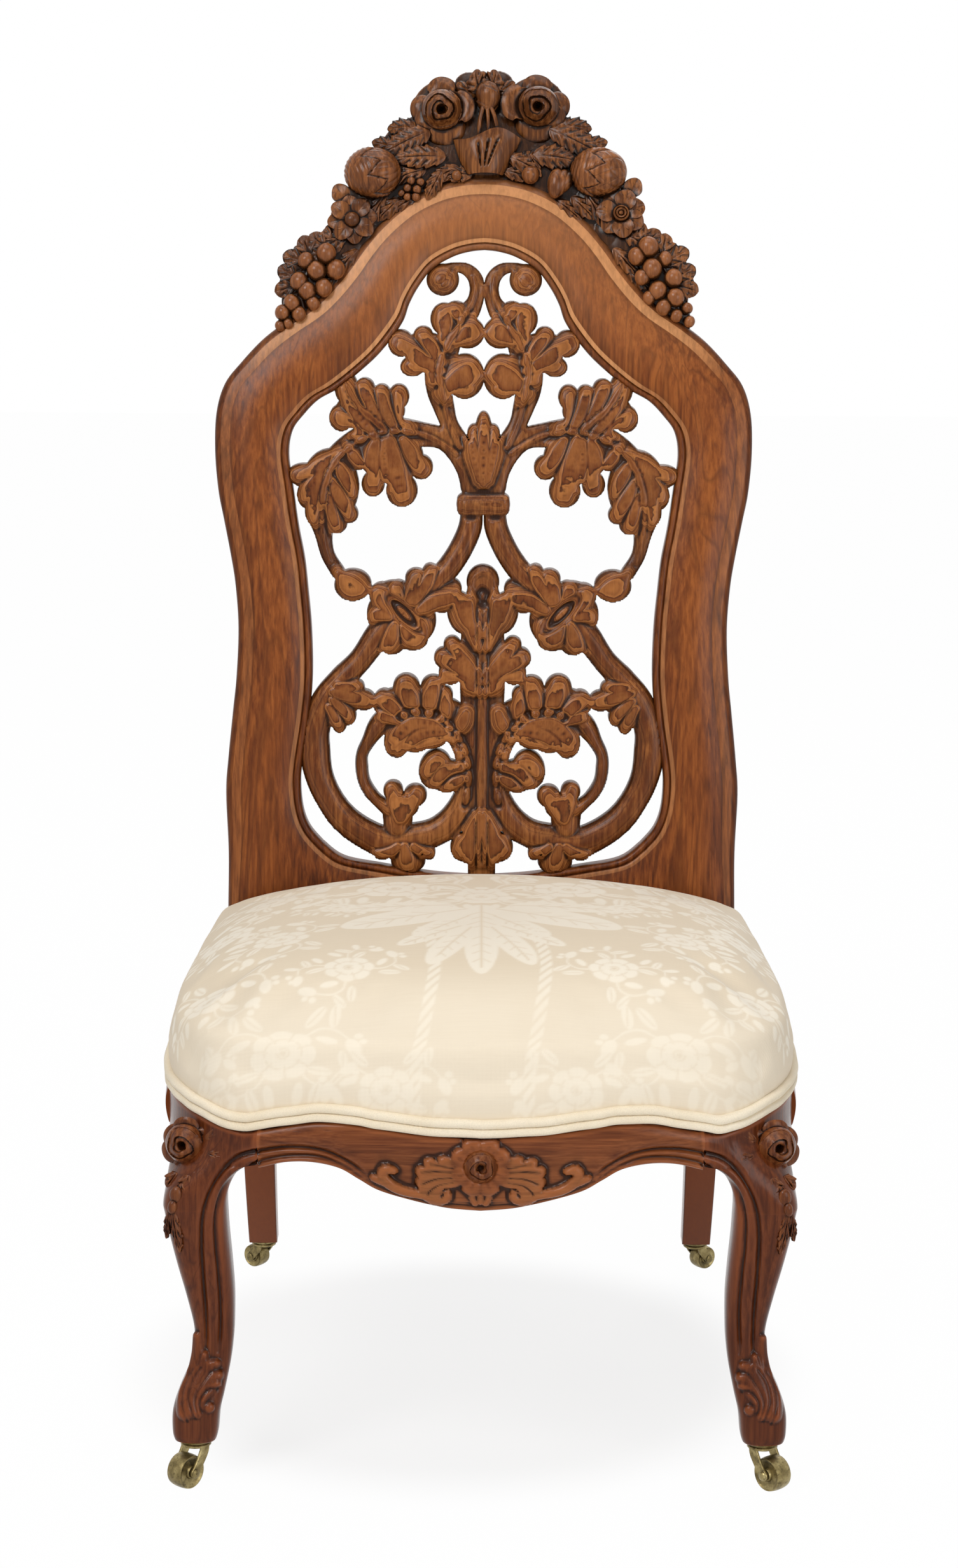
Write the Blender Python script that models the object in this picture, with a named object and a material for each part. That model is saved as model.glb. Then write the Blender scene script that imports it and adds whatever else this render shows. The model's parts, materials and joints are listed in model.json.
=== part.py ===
# Slipper chair: pierced and carved back, stuffed seat on a sprung frame, cabriole front legs, four casters.
# Metres, Z up. The front faces -Y, and the origin is on the floor under the middle of the chair.
import math

import bmesh
import bpy
import numpy as np
from mathutils import Matrix, Vector
from mathutils.geometry import delaunay_2d_cdt

for old in list(bpy.data.objects):
    bpy.data.objects.remove(old, do_unlink=True)

# Fits between pieces
SEAT_GAP = 0.0004  # between pieces that meet
PIN_CLEARANCE = 0.0003  # between a round pin or screw and its hole
MM = 0.001

# Seat frame
SEAT_HALF_WIDTH = 0.2415  # at the widest part of the side rails
RAIL_TOP = 0.315  # upper edge of all rails, under the cover
RAIL_DEPTH = 0.030  # thickness of a rail, outside to inside
REBATE = 0.009  # step that the cover and its welt sit in
APRON_DEPTH = 0.016  # thickness of the front rail's hanging lower edge
FACE_SWELL = 0.003  # how far the rails' moulded face stands out
WEB_TOP = 0.2496  # upper side of the long webbing
WEB_THICKNESS = 0.0014
WEB_WIDTH = 0.048

# Seat cover and stuffing
WELT_HEIGHT = 0.0135
WELT_PROUD = 0.0018
HESSIAN_TOP = 0.339
HESSIAN_THICKNESS = 0.002
CUSHION_SIDE = 0.336  # height where the cushion's side bulges most
CUSHION_BULGE = 0.0025
CUSHION_DRAW = 0.002  # how far the side is drawn in above the welt
CUSHION_EDGE = 0.357  # height of the rounded upper edge
CUSHION_REAR_EDGE = 0.386  # top of the rear edge's arch
CUSHION_CROWN = 0.393
SPRING_RADIUS = 0.031
SPRING_WAIST = 0.022
SPRING_WIRE = 0.0018
SPRING_TURNS = 3.5

# Front legs
FOOT_HEIGHT = 0.0365  # underside of the front feet
FOOT_Y = 0.0
LEG_CANT = 0.9  # how far the leg's sweep runs forward, as a share of its sweep outward

# Rear legs
REAR_FOOT_HEIGHT = 0.027
REAR_LEG_SIDE = 0.030
REAR_FOOT_SIDE = 0.025
REAR_LEG_INSET = 0.0285  # from the side rail's outer face to the leg's middle
REAR_LEG_Y = 0.420  # middle of the leg at its top
REAR_LEG_SWEEP = 0.080  # how far the foot lies behind the top
REAR_SWEEP_START = 0.240

# Back
BACK_FOOT = 0.300  # lower edge of the back
BACK_ARCH = 0.967  # top of the surround's arch
SHOULDER_HALF_WIDTH = 0.229
BACK_THICKNESS = 0.020
TRACERY_SETBACK = 0.004  # from the surround's crown to the carving's face
TRACERY_THICKNESS = 0.013
BACK_FACE_Y = 0.4135  # front face of the back at the seat
BACK_LEAN = 0.050  # how far the back leans over its drawn height
BACK_BEND = 0.085  # how far it bends back beyond the lean
CREST_DEPTH = 0.034
CREST_SETBACK = 0.003

# Screws
SCREW_RADIUS = 0.0021
SCREW_HEAD_RADIUS = 0.0042
SCREW_HEAD = 0.0022
SCREW_BITE = 0.017  # length of thread in the second piece
BLOCK_DEPTH = 0.048
BLOCK_BASE = 0.262
BACK_SCREW_RISE = 0.0078  # screws above the back's lower edge

# Casters
STEM_RADIUS = 0.0036
STEM_LENGTH = 0.020
PLATE_THICKNESS = 0.0022
CROWN_THICKNESS = 0.0025
PIVOT_RADIUS = 0.0026
PIVOT_HEAD_RADIUS = 0.0042
PIVOT_HEAD = 0.0014
AXLE_RADIUS = 0.0021
AXLE_HEAD_RADIUS = 0.0036
AXLE_HEAD = 0.0012
ARM_THICKNESS = 0.0022
ARM_HALF_WIDTH = 0.0039
WHEEL_SIDE_GAP = 0.0007
WHEEL_SIDES = 16
FRONT_WHEEL_RADIUS = 0.0135
FRONT_WHEEL_WIDTH = 0.016
FRONT_TRAIL = 0.0115
FRONT_HEADING = (-0.65, -0.75)  # way the left front caster trails
REAR_WHEEL_RADIUS = 0.0105
REAR_WHEEL_WIDTH = 0.014
REAR_TRAIL = 0.0085
REAR_HEADING = (-0.8, 0.6)

# Half plan of the seat frame: x, y, upper edge of the show wood, lower edge of the rail, at SEAT_HALF_WIDTH 0.2415
PLAN_HALF_WIDTH = 0.2415
SEAT_PLAN = [
    (0.0, -0.0380, 0.2840, 0.2280),
    (0.025, -0.0376, 0.2848, 0.2300),
    (0.050, -0.0362, 0.2865, 0.2350),
    (0.075, -0.0340, 0.2895, 0.2420),
    (0.090, -0.0322, 0.2915, 0.2500),
    (0.105, -0.0303, 0.2930, 0.2580),
    (0.125, -0.0275, 0.2925, 0.2615),
    (0.145, -0.0246, 0.2890, 0.2605),
    (0.165, -0.0210, 0.2848, 0.2550),
    (0.178, -0.0175, 0.2825, 0.2525),
    (0.192, -0.0115, 0.2845, 0.2510),
    (0.207, 0.0, 0.2885, 0.2500),
    (0.220, 0.0160, 0.2920, 0.2490),
    (0.231, 0.0400, 0.2940, 0.2482),
    (0.2385, 0.0750, 0.2945, 0.2480),
    (0.2415, 0.1300, 0.2945, 0.2480),
    (0.2405, 0.2000, 0.2945, 0.2480),
    (0.2340, 0.3000, 0.2940, 0.2480),
    (0.2225, 0.4046, 0.2930, 0.2480),
]
FRONT_JOINT_ROW = 8  # plan row where the front rail meets the leg
SIDE_JOINT_ROW = 14  # plan row where the side rail meets the leg

# Front leg: height, inset of the outer side from the knee, width
LEG_ROWS = [
    (0.0365, 0.0083, 0.0309),
    (0.0440, 0.0065, 0.0347),
    (0.0600, 0.0068, 0.0360),
    (0.0750, 0.0116, 0.0346),
    (0.0950, 0.0202, 0.0300),
    (0.1100, 0.0228, 0.0293),
    (0.1250, 0.0221, 0.0310),
    (0.1500, 0.0168, 0.0367),
    (0.1750, 0.0108, 0.0414),
    (0.2000, 0.0055, 0.0448),
    (0.2220, 0.0015, 0.0478),
]

# Drawing of the back, in millimetres: half width 229, foot at 300, arch at 967
DRAWN_HALF_WIDTH = 229.0
DRAWN_FOOT = 300.0
DRAWN_ARCH = 967.0
# Pairs of outer and inner points around half of the surround, from the foot's middle to the arch
SURROUND_PAIRS = [
    ((0, 300), (0, 379)),
    ((60, 300), (40, 381.5)),
    ((130, 300), (85, 388.5)),
    ((190, 300), (118, 395)),
    ((218, 300), (136, 408)),
    ((217.5, 350), (147, 421)),
    ((217, 400), (153, 437)),
    ((219, 450), (155, 459)),
    ((217, 480), (153.5, 478)),
    ((213, 520), (148, 515)),
    ((210, 550), (145, 550)),
    ((208.5, 590), (146, 590)),
    ((211, 625), (149, 622)),
    ((215, 650), (152, 648)),
    ((221, 680), (157.5, 676)),
    ((226, 705), (162, 706)),
    ((229, 738), (166, 735)),
    ((228, 770), (163, 755)),
    ((221, 794), (153, 769)),
    ((207, 812), (141, 781)),
    ((190, 830), (125, 790)),
    ((172, 844), (109, 802)),
    ((150, 859), (92, 817)),
    ((134, 874), (80, 831)),
    ((118, 893), (69, 847)),
    ((104, 912), (64, 861)),
    ((88, 930), (56.5, 875)),
    ((66, 948), (44.5, 890.5)),
    ((42, 960), (27, 900.8)),
    ((20, 965.5), (12, 905.2)),
    ((0, 967), (0, 906.5)),
]
# Section of the surround: share of the way from the outer to the inner edge, depth behind the crown
SURROUND_FRONT = [(0, 0.0045), (0.07, 0.0018), (0.3, 0), (0.6, 0.0004), (0.88, 0.0022), (1, 0.005)]
SURROUND_BACK_EDGE = 0.002  # how far the back's edges are eased

# Carving, left half: stems as points with a width, in order along the stem
STEMS = {
    "lower scroll": [
        (10, 688, 19), (11, 675, 20), (17, 660, 20), (26, 645, 20), (36, 633, 20), (50, 618, 22), (70, 602, 26),
        (88, 585, 23), (104, 563, 20), (120, 546, 22), (134, 527, 25), (142, 505, 24), (143, 485, 26),
        (139.5, 464, 24), (131, 445, 23), (118.5, 428, 24), (101, 415, 25), (82, 407.5, 26), (61, 410, 26),
        (42, 415, 24), (28, 424, 24), (18, 438, 22), (14, 455, 16), (14, 472, 16), (17, 488, 16), (26, 503, 16),
        (40, 513, 14), (55, 517, 12),
    ],
    "fan scroll": [
        (78, 518, 18), (89, 507, 17), (97, 494, 12), (102.5, 483, 10.5), (103, 472, 11), (101, 460, 10.5),
        (95.5, 450, 10.5), (89, 443, 10), (80, 436, 13),
    ],
    "cup foot": [(72, 436, 27), (72, 420, 24)],
    "spine": [
        (0, 366, 22), (0, 395, 24), (0, 440, 24), (0, 480, 26), (0, 525, 37), (0, 560, 38), (0, 590, 36),
        (0, 622, 27),
    ],
    "tie": [(0, 694, 18), (14, 694, 18)],
    "upper stem": [
        (8, 706, 21), (12, 722, 21), (20, 742, 19), (29, 760, 15), (34, 775, 18), (38, 790, 22), (38, 806, 25),
        (33, 824, 24), (25, 840, 20), (14, 853, 18), (8, 863, 14), (6, 873, 13), (8, 883, 12.5), (15, 890, 10.5),
        (25, 892, 8), (33, 890, 10),
    ],
    "side stem": [
        (9, 714, 19), (20, 735, 19), (34, 748, 18), (52, 752, 20), (76, 754, 24), (100, 750, 22), (122, 736, 20),
        (134, 712, 30), (137, 688, 26), (136, 668, 15), (132.5, 651, 11.5), (124, 637, 12),
    ],
}
# Leaf lobes, left half: middle, half length, half width, turn in degrees
LOBES = {
    "curl": [(35.5, 881.5, 14, 13.5, 0)],
    "upper leaf": [
        (34, 849, 12, 13.5, 0), (52, 835, 8.5, 8, 0), (71, 828.5, 11, 11.5, 0), (61, 809, 10.5, 8.5, 0),
        (46, 820, 24, 17, 20), (14, 837.5, 14.5, 13.5, 0), (16, 801, 16.5, 19, 0), (24, 857, 9, 7, 0),
    ],
    "side leaf": [
        (72.5, 784, 9, 10.5, 0), (87, 788, 7, 6.5, 0), (101.5, 791, 8.5, 8.5, 0), (117.5, 791, 10, 14, 0),
        (121.5, 766, 10.5, 11.5, 0), (97, 772, 30, 17, 0),
    ],
    "drooping leaf": [
        (150, 717, 17, 10.5, 10), (148, 702, 11, 13, 0), (141, 690, 11, 14, 20), (117, 687, 11, 9, 30),
        (125, 677, 9, 8, 0), (116, 708, 9.5, 16, 0), (107, 729, 8, 7, 0), (131, 708, 25, 32, 0),
    ],
    "bud": [(111, 626, 16, 13.5, 0)],
    "hanging leaf": [
        (94, 711, 10, 11, 0), (69.5, 705.5, 13.5, 14, 0), (53, 725, 10, 10.5, 0), (78, 733, 27, 22, 0),
    ],
    "trunk": [(9, 712, 11, 15, 0), (0, 733, 17, 20, 0), (0, 757, 7, 15, 0), (8, 753.5, 6, 8, 0)],
    "collar": [
        (45, 637, 7, 7.5, 0), (57, 632, 9.5, 8.5, 0), (72, 622, 8, 8.5, 0), (86, 617.5, 11, 11, 0),
        (36, 614, 13, 11, 20), (54, 590, 9, 12, 0), (60, 580.5, 13.5, 9.5, 0), (77, 577, 11, 9.5, 0),
        (93, 602, 6, 12, 0), (26, 623, 8, 9, 0), (68, 603, 31, 24, 40),
    ],
    "leaflet": [
        (101, 529, 10, 9, 0), (106, 539, 5.5, 7, 0), (115, 516, 7.5, 8.5, 0), (122, 511, 7, 10, 0),
        (116, 531, 14, 14, 0),
    ],
    "palmette": [
        (0, 629, 14, 14.5, 0), (18.5, 603, 12, 18, -10), (26, 576, 7.5, 7.5, 0), (33, 565, 8.5, 9, 0),
        (27, 553, 10.5, 10.5, 0), (22, 565, 9, 14, 0),
    ],
    "fan top": [
        (42, 541, 10.5, 9.5, 0), (65, 540, 11.5, 11.5, 0), (83.5, 530, 9, 8.5, 0), (60, 526, 34, 15, 0),
        (30, 519, 17, 12, 20), (31, 533, 6, 8, 0), (18, 508, 9, 11, 0),
    ],
    "fan side": [
        (73, 494, 11, 14, 0), (58, 502, 19, 17, 0), (43, 500, 14, 12, 0), (40, 470.5, 14, 17, 15), (30, 465, 16, 14, 0),
    ],
    "cup": [(76, 452, 8.5, 8.5, 0), (57, 448, 10, 9.5, 0), (69, 438, 15, 10, 0)],
    "foot leaf": [(85, 399, 7.5, 6.5, 0), (63, 392, 15, 11, 0), (45, 399, 5.5, 6.5, 0)],
    "base leaf": [(13, 404, 14, 13, 0), (8, 421, 9, 12, 0)],
}
FIELD_STEP = 1.5  # grid that the carving's outline is traced on, drawn millimetres
OUTLINE_TOLERANCE = 0.8  # how far the outline's straight stretches may stray, drawn millimetres

# Crest, drawn like the back: middle x and height, half width, half height
CREST_FORMS = {
    "tulip": [(0, 1034, 11, 15), (-12, 1049, 13, 9), (11, 1050, 12, 8.5), (1, 1012, 18, 14)],
    "roses": [(-39, 1022, 23, 24), (42, 1027, 23, 24), (-54, 1012, 14, 14), (56, 1016, 13, 15)],
    "calla": [(0, 988, 31, 17), (-38, 1001, 22, 9), (38, 1002, 22, 9)],
    "leaves": [(-72, 1003, 25, 11), (-58, 989, 20, 9), (72, 1003, 25, 11), (58, 989, 18, 9)],
    "fruit": [(-96, 972, 25, 22), (96, 972, 25, 22)],
    "buds": [(-62, 966, 14, 12), (62, 967, 13, 13), (37, 974, 9, 8)],
    "daisies": [(-114, 934, 20, 20), (117, 940, 20, 20), (-124, 954, 9, 9), (126, 957, 9, 9)],
    "vine leaves": [(-142, 911, 20, 11), (148, 912, 16, 11), (-148, 894, 14, 15), (150, 896, 14, 15)],
    "ground": [
        (-28, 986, 24, 20), (28, 986, 24, 20), (-80, 986, 22, 16), (80, 986, 22, 16), (-108, 950, 16, 18),
        (110, 952, 16, 18), (-122, 916, 16, 16), (124, 920, 16, 16),
    ],
    "grapes": [
        (-135, 903, 9, 8), (-128, 890, 9, 9), (-143, 888, 9, 9), (-158, 881, 8, 8), (-138, 875, 8, 8), (-151, 872, 8, 8),
        (-164, 862, 8, 8), (-147, 861, 7, 7), (-171, 853, 7, 6), (-158, 853, 7, 7), (-171, 844, 5, 5),
        (140, 908, 9, 9), (131, 900, 8, 8), (143, 891, 9, 9), (160, 884, 8, 8), (136, 884, 8, 8), (149, 874, 8, 8),
        (163, 868, 8, 8), (152, 861, 7, 7), (166, 854, 7, 7), (173, 848, 5, 5),
    ],
}
CREST_BAND = 9.0  # radius of the band that carries the crest, drawn millimetres
CREST_BAND_PAIRS = (22, 31)  # surround pairs that the band follows
CREST_VOXEL = 0.0042
CREST_FACES = 1200

COLOURS = {
    "rosewood": ((0.20, 0.075, 0.035), 0.35, 0.0),
    "carved rosewood": ((0.24, 0.10, 0.045), 0.42, 0.0),
    "dark rosewood": ((0.11, 0.035, 0.020), 0.33, 0.0),
    "beech": ((0.46, 0.30, 0.17), 0.6, 0.0),
    "damask": ((0.74, 0.63, 0.46), 0.8, 0.0),
    "welt": ((0.88, 0.79, 0.62), 0.8, 0.0),
    "jute": ((0.42, 0.30, 0.16), 0.9, 0.0),
    "hessian": ((0.50, 0.38, 0.22), 0.9, 0.0),
    "steel": ((0.42, 0.40, 0.38), 0.4, 1.0),
    "brass": ((0.42, 0.32, 0.13), 0.38, 1.0),
}


def finish(name):
    # One material for each node, from the shared finishes.
    colour, roughness, metallic = COLOURS[name]
    material = bpy.data.materials.new(name)
    material.use_nodes = True
    shader = material.node_tree.nodes["Principled BSDF"]
    shader.inputs["Base Color"].default_value = (*colour, 1.0)
    shader.inputs["Roughness"].default_value = roughness
    shader.inputs["Metallic"].default_value = metallic
    return material


chair = bpy.data.objects.new("chair_origin", None)
bpy.context.scene.collection.objects.link(chair)


def add_mesh(name, points, faces, finish_name, parent=chair):
    # A closed mesh with its faces turned outward, shaded smooth except at its sharp edges.
    mesh = bpy.data.meshes.new(name)
    mesh.from_pydata([tuple(map(float, p)) for p in points], [], faces)
    shell = bmesh.new()
    shell.from_mesh(mesh)
    bmesh.ops.recalc_face_normals(shell, faces=shell.faces)
    shell.to_mesh(mesh)
    shell.free()
    mesh.shade_smooth()
    mesh.set_sharp_from_angle(angle=math.radians(35))
    piece = bpy.data.objects.new(name, mesh)
    piece.parent = parent
    if finish_name:
        mesh.materials.append(finish(finish_name))
    bpy.context.scene.collection.objects.link(piece)
    return piece


def add_cutter(name, points, faces, parent=chair):
    cutter = add_mesh(name, points, faces, None, parent)
    cutter.hide_render = True
    cutter.display_type = "WIRE"
    return cutter


def boolean(piece, other, operation):
    modifier = piece.modifiers.new(operation.lower(), "BOOLEAN")
    modifier.operation = operation
    modifier.solver = "EXACT"
    modifier.object = other


def loft(rings):
    # Points and faces of a closed solid through rings of equal length.
    count = len(rings[0])
    points = [point for ring in rings for point in ring]
    faces = []
    for r in range(len(rings) - 1):
        for k in range(count):
            a = r * count + k
            b = r * count + (k + 1) % count
            faces.append((a, b, b + count, a + count))
    for ring_start in (0, (len(rings) - 1) * count):
        middle = len(points)
        points.append(np.mean(points[ring_start:ring_start + count], axis=0))
        faces += [(middle, ring_start + k, ring_start + (k + 1) % count) for k in range(count)]
    return points, faces


def turned(profile, sides, axis="Z", phase=0.0):
    # A solid turned from a closed profile of (radius, height), with points of radius 0 as poles.
    points = []
    index = []
    for radius, height in profile:
        if radius == 0:
            index.append([len(points)] * sides)
            points.append((0, 0, height))
            continue
        index.append([len(points) + k for k in range(sides)])
        for k in range(sides):
            angle = phase + 2 * math.pi * k / sides
            points.append((radius * math.cos(angle), radius * math.sin(angle), height))
    faces = []
    closed = profile[0][0] > 0
    for r in range(len(profile) if closed else len(profile) - 1):
        low = index[r]
        high = index[(r + 1) % len(profile)]
        for k in range(sides):
            corners = (low[k], low[(k + 1) % sides], high[(k + 1) % sides], high[k])
            faces.append(tuple(dict.fromkeys(corners)))
    if axis == "Y":
        points = [(x, z, -y) for x, y, z in points]
    return points, faces


def prism(outline, low, high, axis="Z"):
    # A solid with a flat outline between two levels of one axis.
    order = {"Z": lambda p, h: (p[0], p[1], h), "Y": lambda p, h: (p[0], h, p[1])}[axis]
    count = len(outline)
    points = [order(p, low) for p in outline] + [order(p, high) for p in outline]
    faces = [(k, (k + 1) % count, count + (k + 1) % count, count + k) for k in range(count)]
    faces += [tuple(range(count)), tuple(range(count, 2 * count))]
    return points, faces


def box(x0, x1, y0, y1, z0, z1):
    return prism([(x0, y0), (x1, y0), (x1, y1), (x0, y1)], z0, z1)


def smooth_curve(rows, steps):
    # Points on a smooth curve through the rows, with a number of steps between neighbours.
    rows = np.array(rows, float)
    found = []
    for i in range(len(rows) - 1):
        before = rows[max(i - 1, 0)]
        after = rows[min(i + 2, len(rows) - 1)]
        for k in range(steps):
            t = k / steps
            found.append(
                0.5 * (2 * rows[i] + (rows[i + 1] - before) * t
                       + (2 * before - 5 * rows[i] + 4 * rows[i + 1] - after) * t**2
                       + (3 * rows[i] - before - 3 * rows[i + 1] + after) * t**3)
            )
    found.append(rows[-1])
    return np.array(found)


# Seat plan: the rows at full size, their outward directions, and what the rails read from them
plan_rows = np.array(SEAT_PLAN)
plan_rows[:, 0] *= SEAT_HALF_WIDTH / PLAN_HALF_WIDTH
rear_leg_front = REAR_LEG_Y - REAR_LEG_SIDE / 2
plan_rows[-1, 1] = rear_leg_front - SEAT_GAP


plan_along = np.gradient(plan_rows[:, :2], axis=0)
plan_along /= np.linalg.norm(plan_along, axis=1)[:, None]
plan_ways = np.stack([plan_along[:, 1], -plan_along[:, 0]], axis=1)
plan_ways[0] = plan_ways[FRONT_JOINT_ROW] = (0, -1)
plan_ways[SIDE_JOINT_ROW] = plan_ways[-1] = (1, 0)


def rail_at(row, way, offset):
    # Plan point of a row moved outward by an offset.
    return row[0] + way[0] * offset, row[1] + way[1] * offset


front_joint_x = plan_rows[FRONT_JOINT_ROW, 0]
side_joint_y = plan_rows[SIDE_JOINT_ROW, 1]
knee_x = plan_rows[SIDE_JOINT_ROW, 0]
long_web_under = WEB_TOP - WEB_THICKNESS
cross_web_top = long_web_under - SEAT_GAP
rail_under = WEB_TOP + SEAT_GAP
side_rail_under = cross_web_top + SEAT_GAP


def both_halves(rows, ways):
    # Rows and outward directions from the left end round the front to the right end.
    rows = np.vstack([rows[:0:-1] * (-1, 1, 1, 1), rows])
    ways = np.vstack([ways[:0:-1] * (-1, 1), ways])
    return rows, ways


def make_front_rail():
    half = plan_rows[:FRONT_JOINT_ROW + 1].copy()
    half[-1, 0] -= SEAT_GAP
    rows, ways = both_halves(half, plan_ways[:FRONT_JOINT_ROW + 1])
    rings = []
    for row, way in zip(rows, ways):
        top, low = row[2], row[3]
        inner_low = max(low + SEAT_GAP, rail_under)
        tall = top - low
        section = [
            (-0.002, low), (0, low + 0.1 * tall), (-0.0015, low + 0.28 * tall), (FACE_SWELL, low + 0.62 * tall), (0, top),
            (-REBATE, top), (-REBATE, RAIL_TOP), (-RAIL_DEPTH, RAIL_TOP), (-RAIL_DEPTH, inner_low),
            (-APRON_DEPTH, inner_low), (-APRON_DEPTH, low + 0.0002),
        ]
        rings.append([(*rail_at(row, way, offset), height) for offset, height in section])
    return add_mesh("front_rail", *loft(rings), "rosewood")


def make_side_rail(side, label):
    rows = plan_rows[SIDE_JOINT_ROW:].copy()
    rows[0, 1] += SEAT_GAP
    rings = []
    for row, way in zip(rows, plan_ways[SIDE_JOINT_ROW:]):
        top = row[2]
        section = [
            (0, side_rail_under), (FACE_SWELL * 0.6, (side_rail_under + top) / 2), (0, top), (-REBATE, top),
            (-REBATE, RAIL_TOP), (-RAIL_DEPTH, RAIL_TOP), (-RAIL_DEPTH, side_rail_under),
        ]
        ring = [(*rail_at(row, way, offset), height) for offset, height in section]
        rings.append([(side * x, y, z) for x, y, z in ring])
    return add_mesh(f"side_rail_{label}", *loft(rings), "dark rosewood")


def rounded_square(angle, half_width, power=3.2):
    c, s = abs(math.cos(angle)), abs(math.sin(angle))
    return half_width / (c**power + s**power) ** (1 / power)


def leg_middle(inset, width):
    x = knee_x - inset - width / 2
    foot_x = knee_x - LEG_ROWS[0][1] - LEG_ROWS[0][2] / 2
    return x, FOOT_Y + (foot_x - x) * LEG_CANT


def corner_outline():
    # Plan of the leg's head: outer rows with their outward directions, then inner points.
    outer = plan_rows[FRONT_JOINT_ROW:SIDE_JOINT_ROW + 1]
    ways = plan_ways[FRONT_JOINT_ROW:SIDE_JOINT_ROW + 1]
    inner_side = (knee_x - RAIL_DEPTH, side_joint_y)
    inner_front = (front_joint_x, outer[0, 1] + RAIL_DEPTH)
    elbow = (inner_side[0] - 0.012, inner_front[1] + 0.024)
    inner = [inner_side]
    inner += [tuple(np.add(np.multiply(inner_side, 1 - t), np.multiply(elbow, t))) for t in (1 / 3, 2 / 3)]
    inner.append(elbow)
    inner += [tuple(np.add(np.multiply(elbow, 1 - t), np.multiply(inner_front, t))) for t in (1 / 3, 2 / 3)]
    inner.append(inner_front)
    return outer, ways, inner


def make_front_leg(side, label):
    outer, ways, inner = corner_outline()
    head = [(row[0], row[1]) for row in outer] + inner
    start, turn, rest = math.radians(227), math.radians(191), math.radians(169)
    angles = [start + turn * k / (len(outer) - 1) for k in range(len(outer))]
    angles += [angles[-1] + rest * (k + 1) / (len(inner) + 1) for k in range(len(inner))]
    arch_low, arch_high = LEG_ROWS[-1][0], SEAT_PLAN[FRONT_JOINT_ROW][3] + 0.002
    rings = []
    shape = smooth_curve(LEG_ROWS, 1)
    for height, inset, width in shape:
        x, y = leg_middle(inset, width)
        lift = FOOT_HEIGHT - LEG_ROWS[0][0]
        low_share = (arch_low - height) / (arch_low - LEG_ROWS[0][0])
        ring = []
        for angle in angles:
            reach = rounded_square(angle, width / 2)
            ring.append((x + reach * math.cos(angle), y + reach * math.sin(angle), height + lift * low_share))
        rings.append(ring)
    x, y = leg_middle(*LEG_ROWS[-1][1:])
    for t in (0.4, 0.7, 0.9, 1.0):
        share = 1 - math.sqrt(1 - t * t)
        height = arch_low + (arch_high - arch_low) * t
        ring = []
        for angle, corner in zip(angles, head):
            reach = rounded_square(angle, LEG_ROWS[-1][2] / 2)
            leg_point = np.array((x + reach * math.cos(angle), y + reach * math.sin(angle)))
            ring.append((*(leg_point * (1 - share) + np.array(corner) * share), height))
        rings.append(ring)
    show = [row[2] for row in outer] + [np.mean(outer[:, 2])] * len(inner)
    rings.append([(*corner, height) for corner, height in zip(head, show)])
    stepped = [rail_at(row, way, -REBATE) for row, way in zip(outer, ways)] + inner
    ledge = [row[2] for row in outer] + [np.mean(outer[:, 2]) + 0.003] * len(inner)
    rings.append([(*corner, height) for corner, height in zip(stepped, ledge)])
    rings.append([(*corner, RAIL_TOP) for corner in stepped])
    rings = [[(side * px, py, pz) for px, py, pz in ring] for ring in rings]
    leg = add_mesh(f"front_leg_{label}", *loft(rings), "rosewood")
    foot_x, foot_y = leg_middle(*LEG_ROWS[0][1:])
    bore_stem(leg, f"front_stem_hole_{label}", side * foot_x, foot_y, FOOT_HEIGHT)
    return leg


def bore_stem(leg, name, x, y, foot_height):
    deep = foot_height + STEM_LENGTH + 2 * SEAT_GAP
    wide = STEM_RADIUS + PIN_CLEARANCE
    points, faces = turned([(0, foot_height - 0.004), (wide, foot_height - 0.004), (wide, deep), (0, deep)], 12)
    cutter = add_cutter(name, [(px + x, py + y, pz) for px, py, pz in points], faces)
    boolean(leg, cutter, "DIFFERENCE")


rear_leg_x = plan_rows[-1, 0] - REAR_LEG_INSET
rear_foot_y = REAR_LEG_Y + REAR_LEG_SWEEP


def make_rear_leg(side, label):
    heights = [BACK_FOOT - SEAT_GAP, REAR_SWEEP_START]
    steps = 6
    heights += [REAR_SWEEP_START + (REAR_FOOT_HEIGHT - REAR_SWEEP_START) * (k + 1) / steps for k in range(steps)]
    rings = []
    for height in heights:
        t = max(0.0, (REAR_SWEEP_START - height) / (REAR_SWEEP_START - REAR_FOOT_HEIGHT))
        half = (REAR_LEG_SIDE + (REAR_FOOT_SIDE - REAR_LEG_SIDE) * t) / 2
        y = REAR_LEG_Y + REAR_LEG_SWEEP * t**1.5
        ease = half * 0.86
        corners = [
            (half, -ease), (half, ease), (ease, half), (-ease, half), (-half, ease), (-half, -ease), (-ease, -half),
            (ease, -half),
        ]
        rings.append([(side * (rear_leg_x + cx), y + cy, height) for cx, cy in corners])
    leg = add_mesh(f"rear_leg_{label}", *loft(rings), "dark rosewood")
    bore_stem(leg, f"rear_stem_hole_{label}", side * rear_leg_x, rear_foot_y, REAR_FOOT_HEIGHT)
    return leg


# Back: from the drawing to the chair
def on_back(u, v):
    # Drawn millimetres to x and z.
    x = u * SHOULDER_HALF_WIDTH / DRAWN_HALF_WIDTH
    z = BACK_FOOT + (v - DRAWN_FOOT) * (BACK_ARCH - BACK_FOOT) / (DRAWN_ARCH - DRAWN_FOOT)
    return x, z


def back_face(z):
    # Depth of the back's crown at a height: it leans and bends back.
    t = (z - BACK_FOOT) / (BACK_ARCH - BACK_FOOT)
    seat_share = 0.12
    t = t - seat_share
    return BACK_FACE_Y + BACK_LEAN * t + BACK_BEND * max(t, 0.0) ** 2


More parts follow.
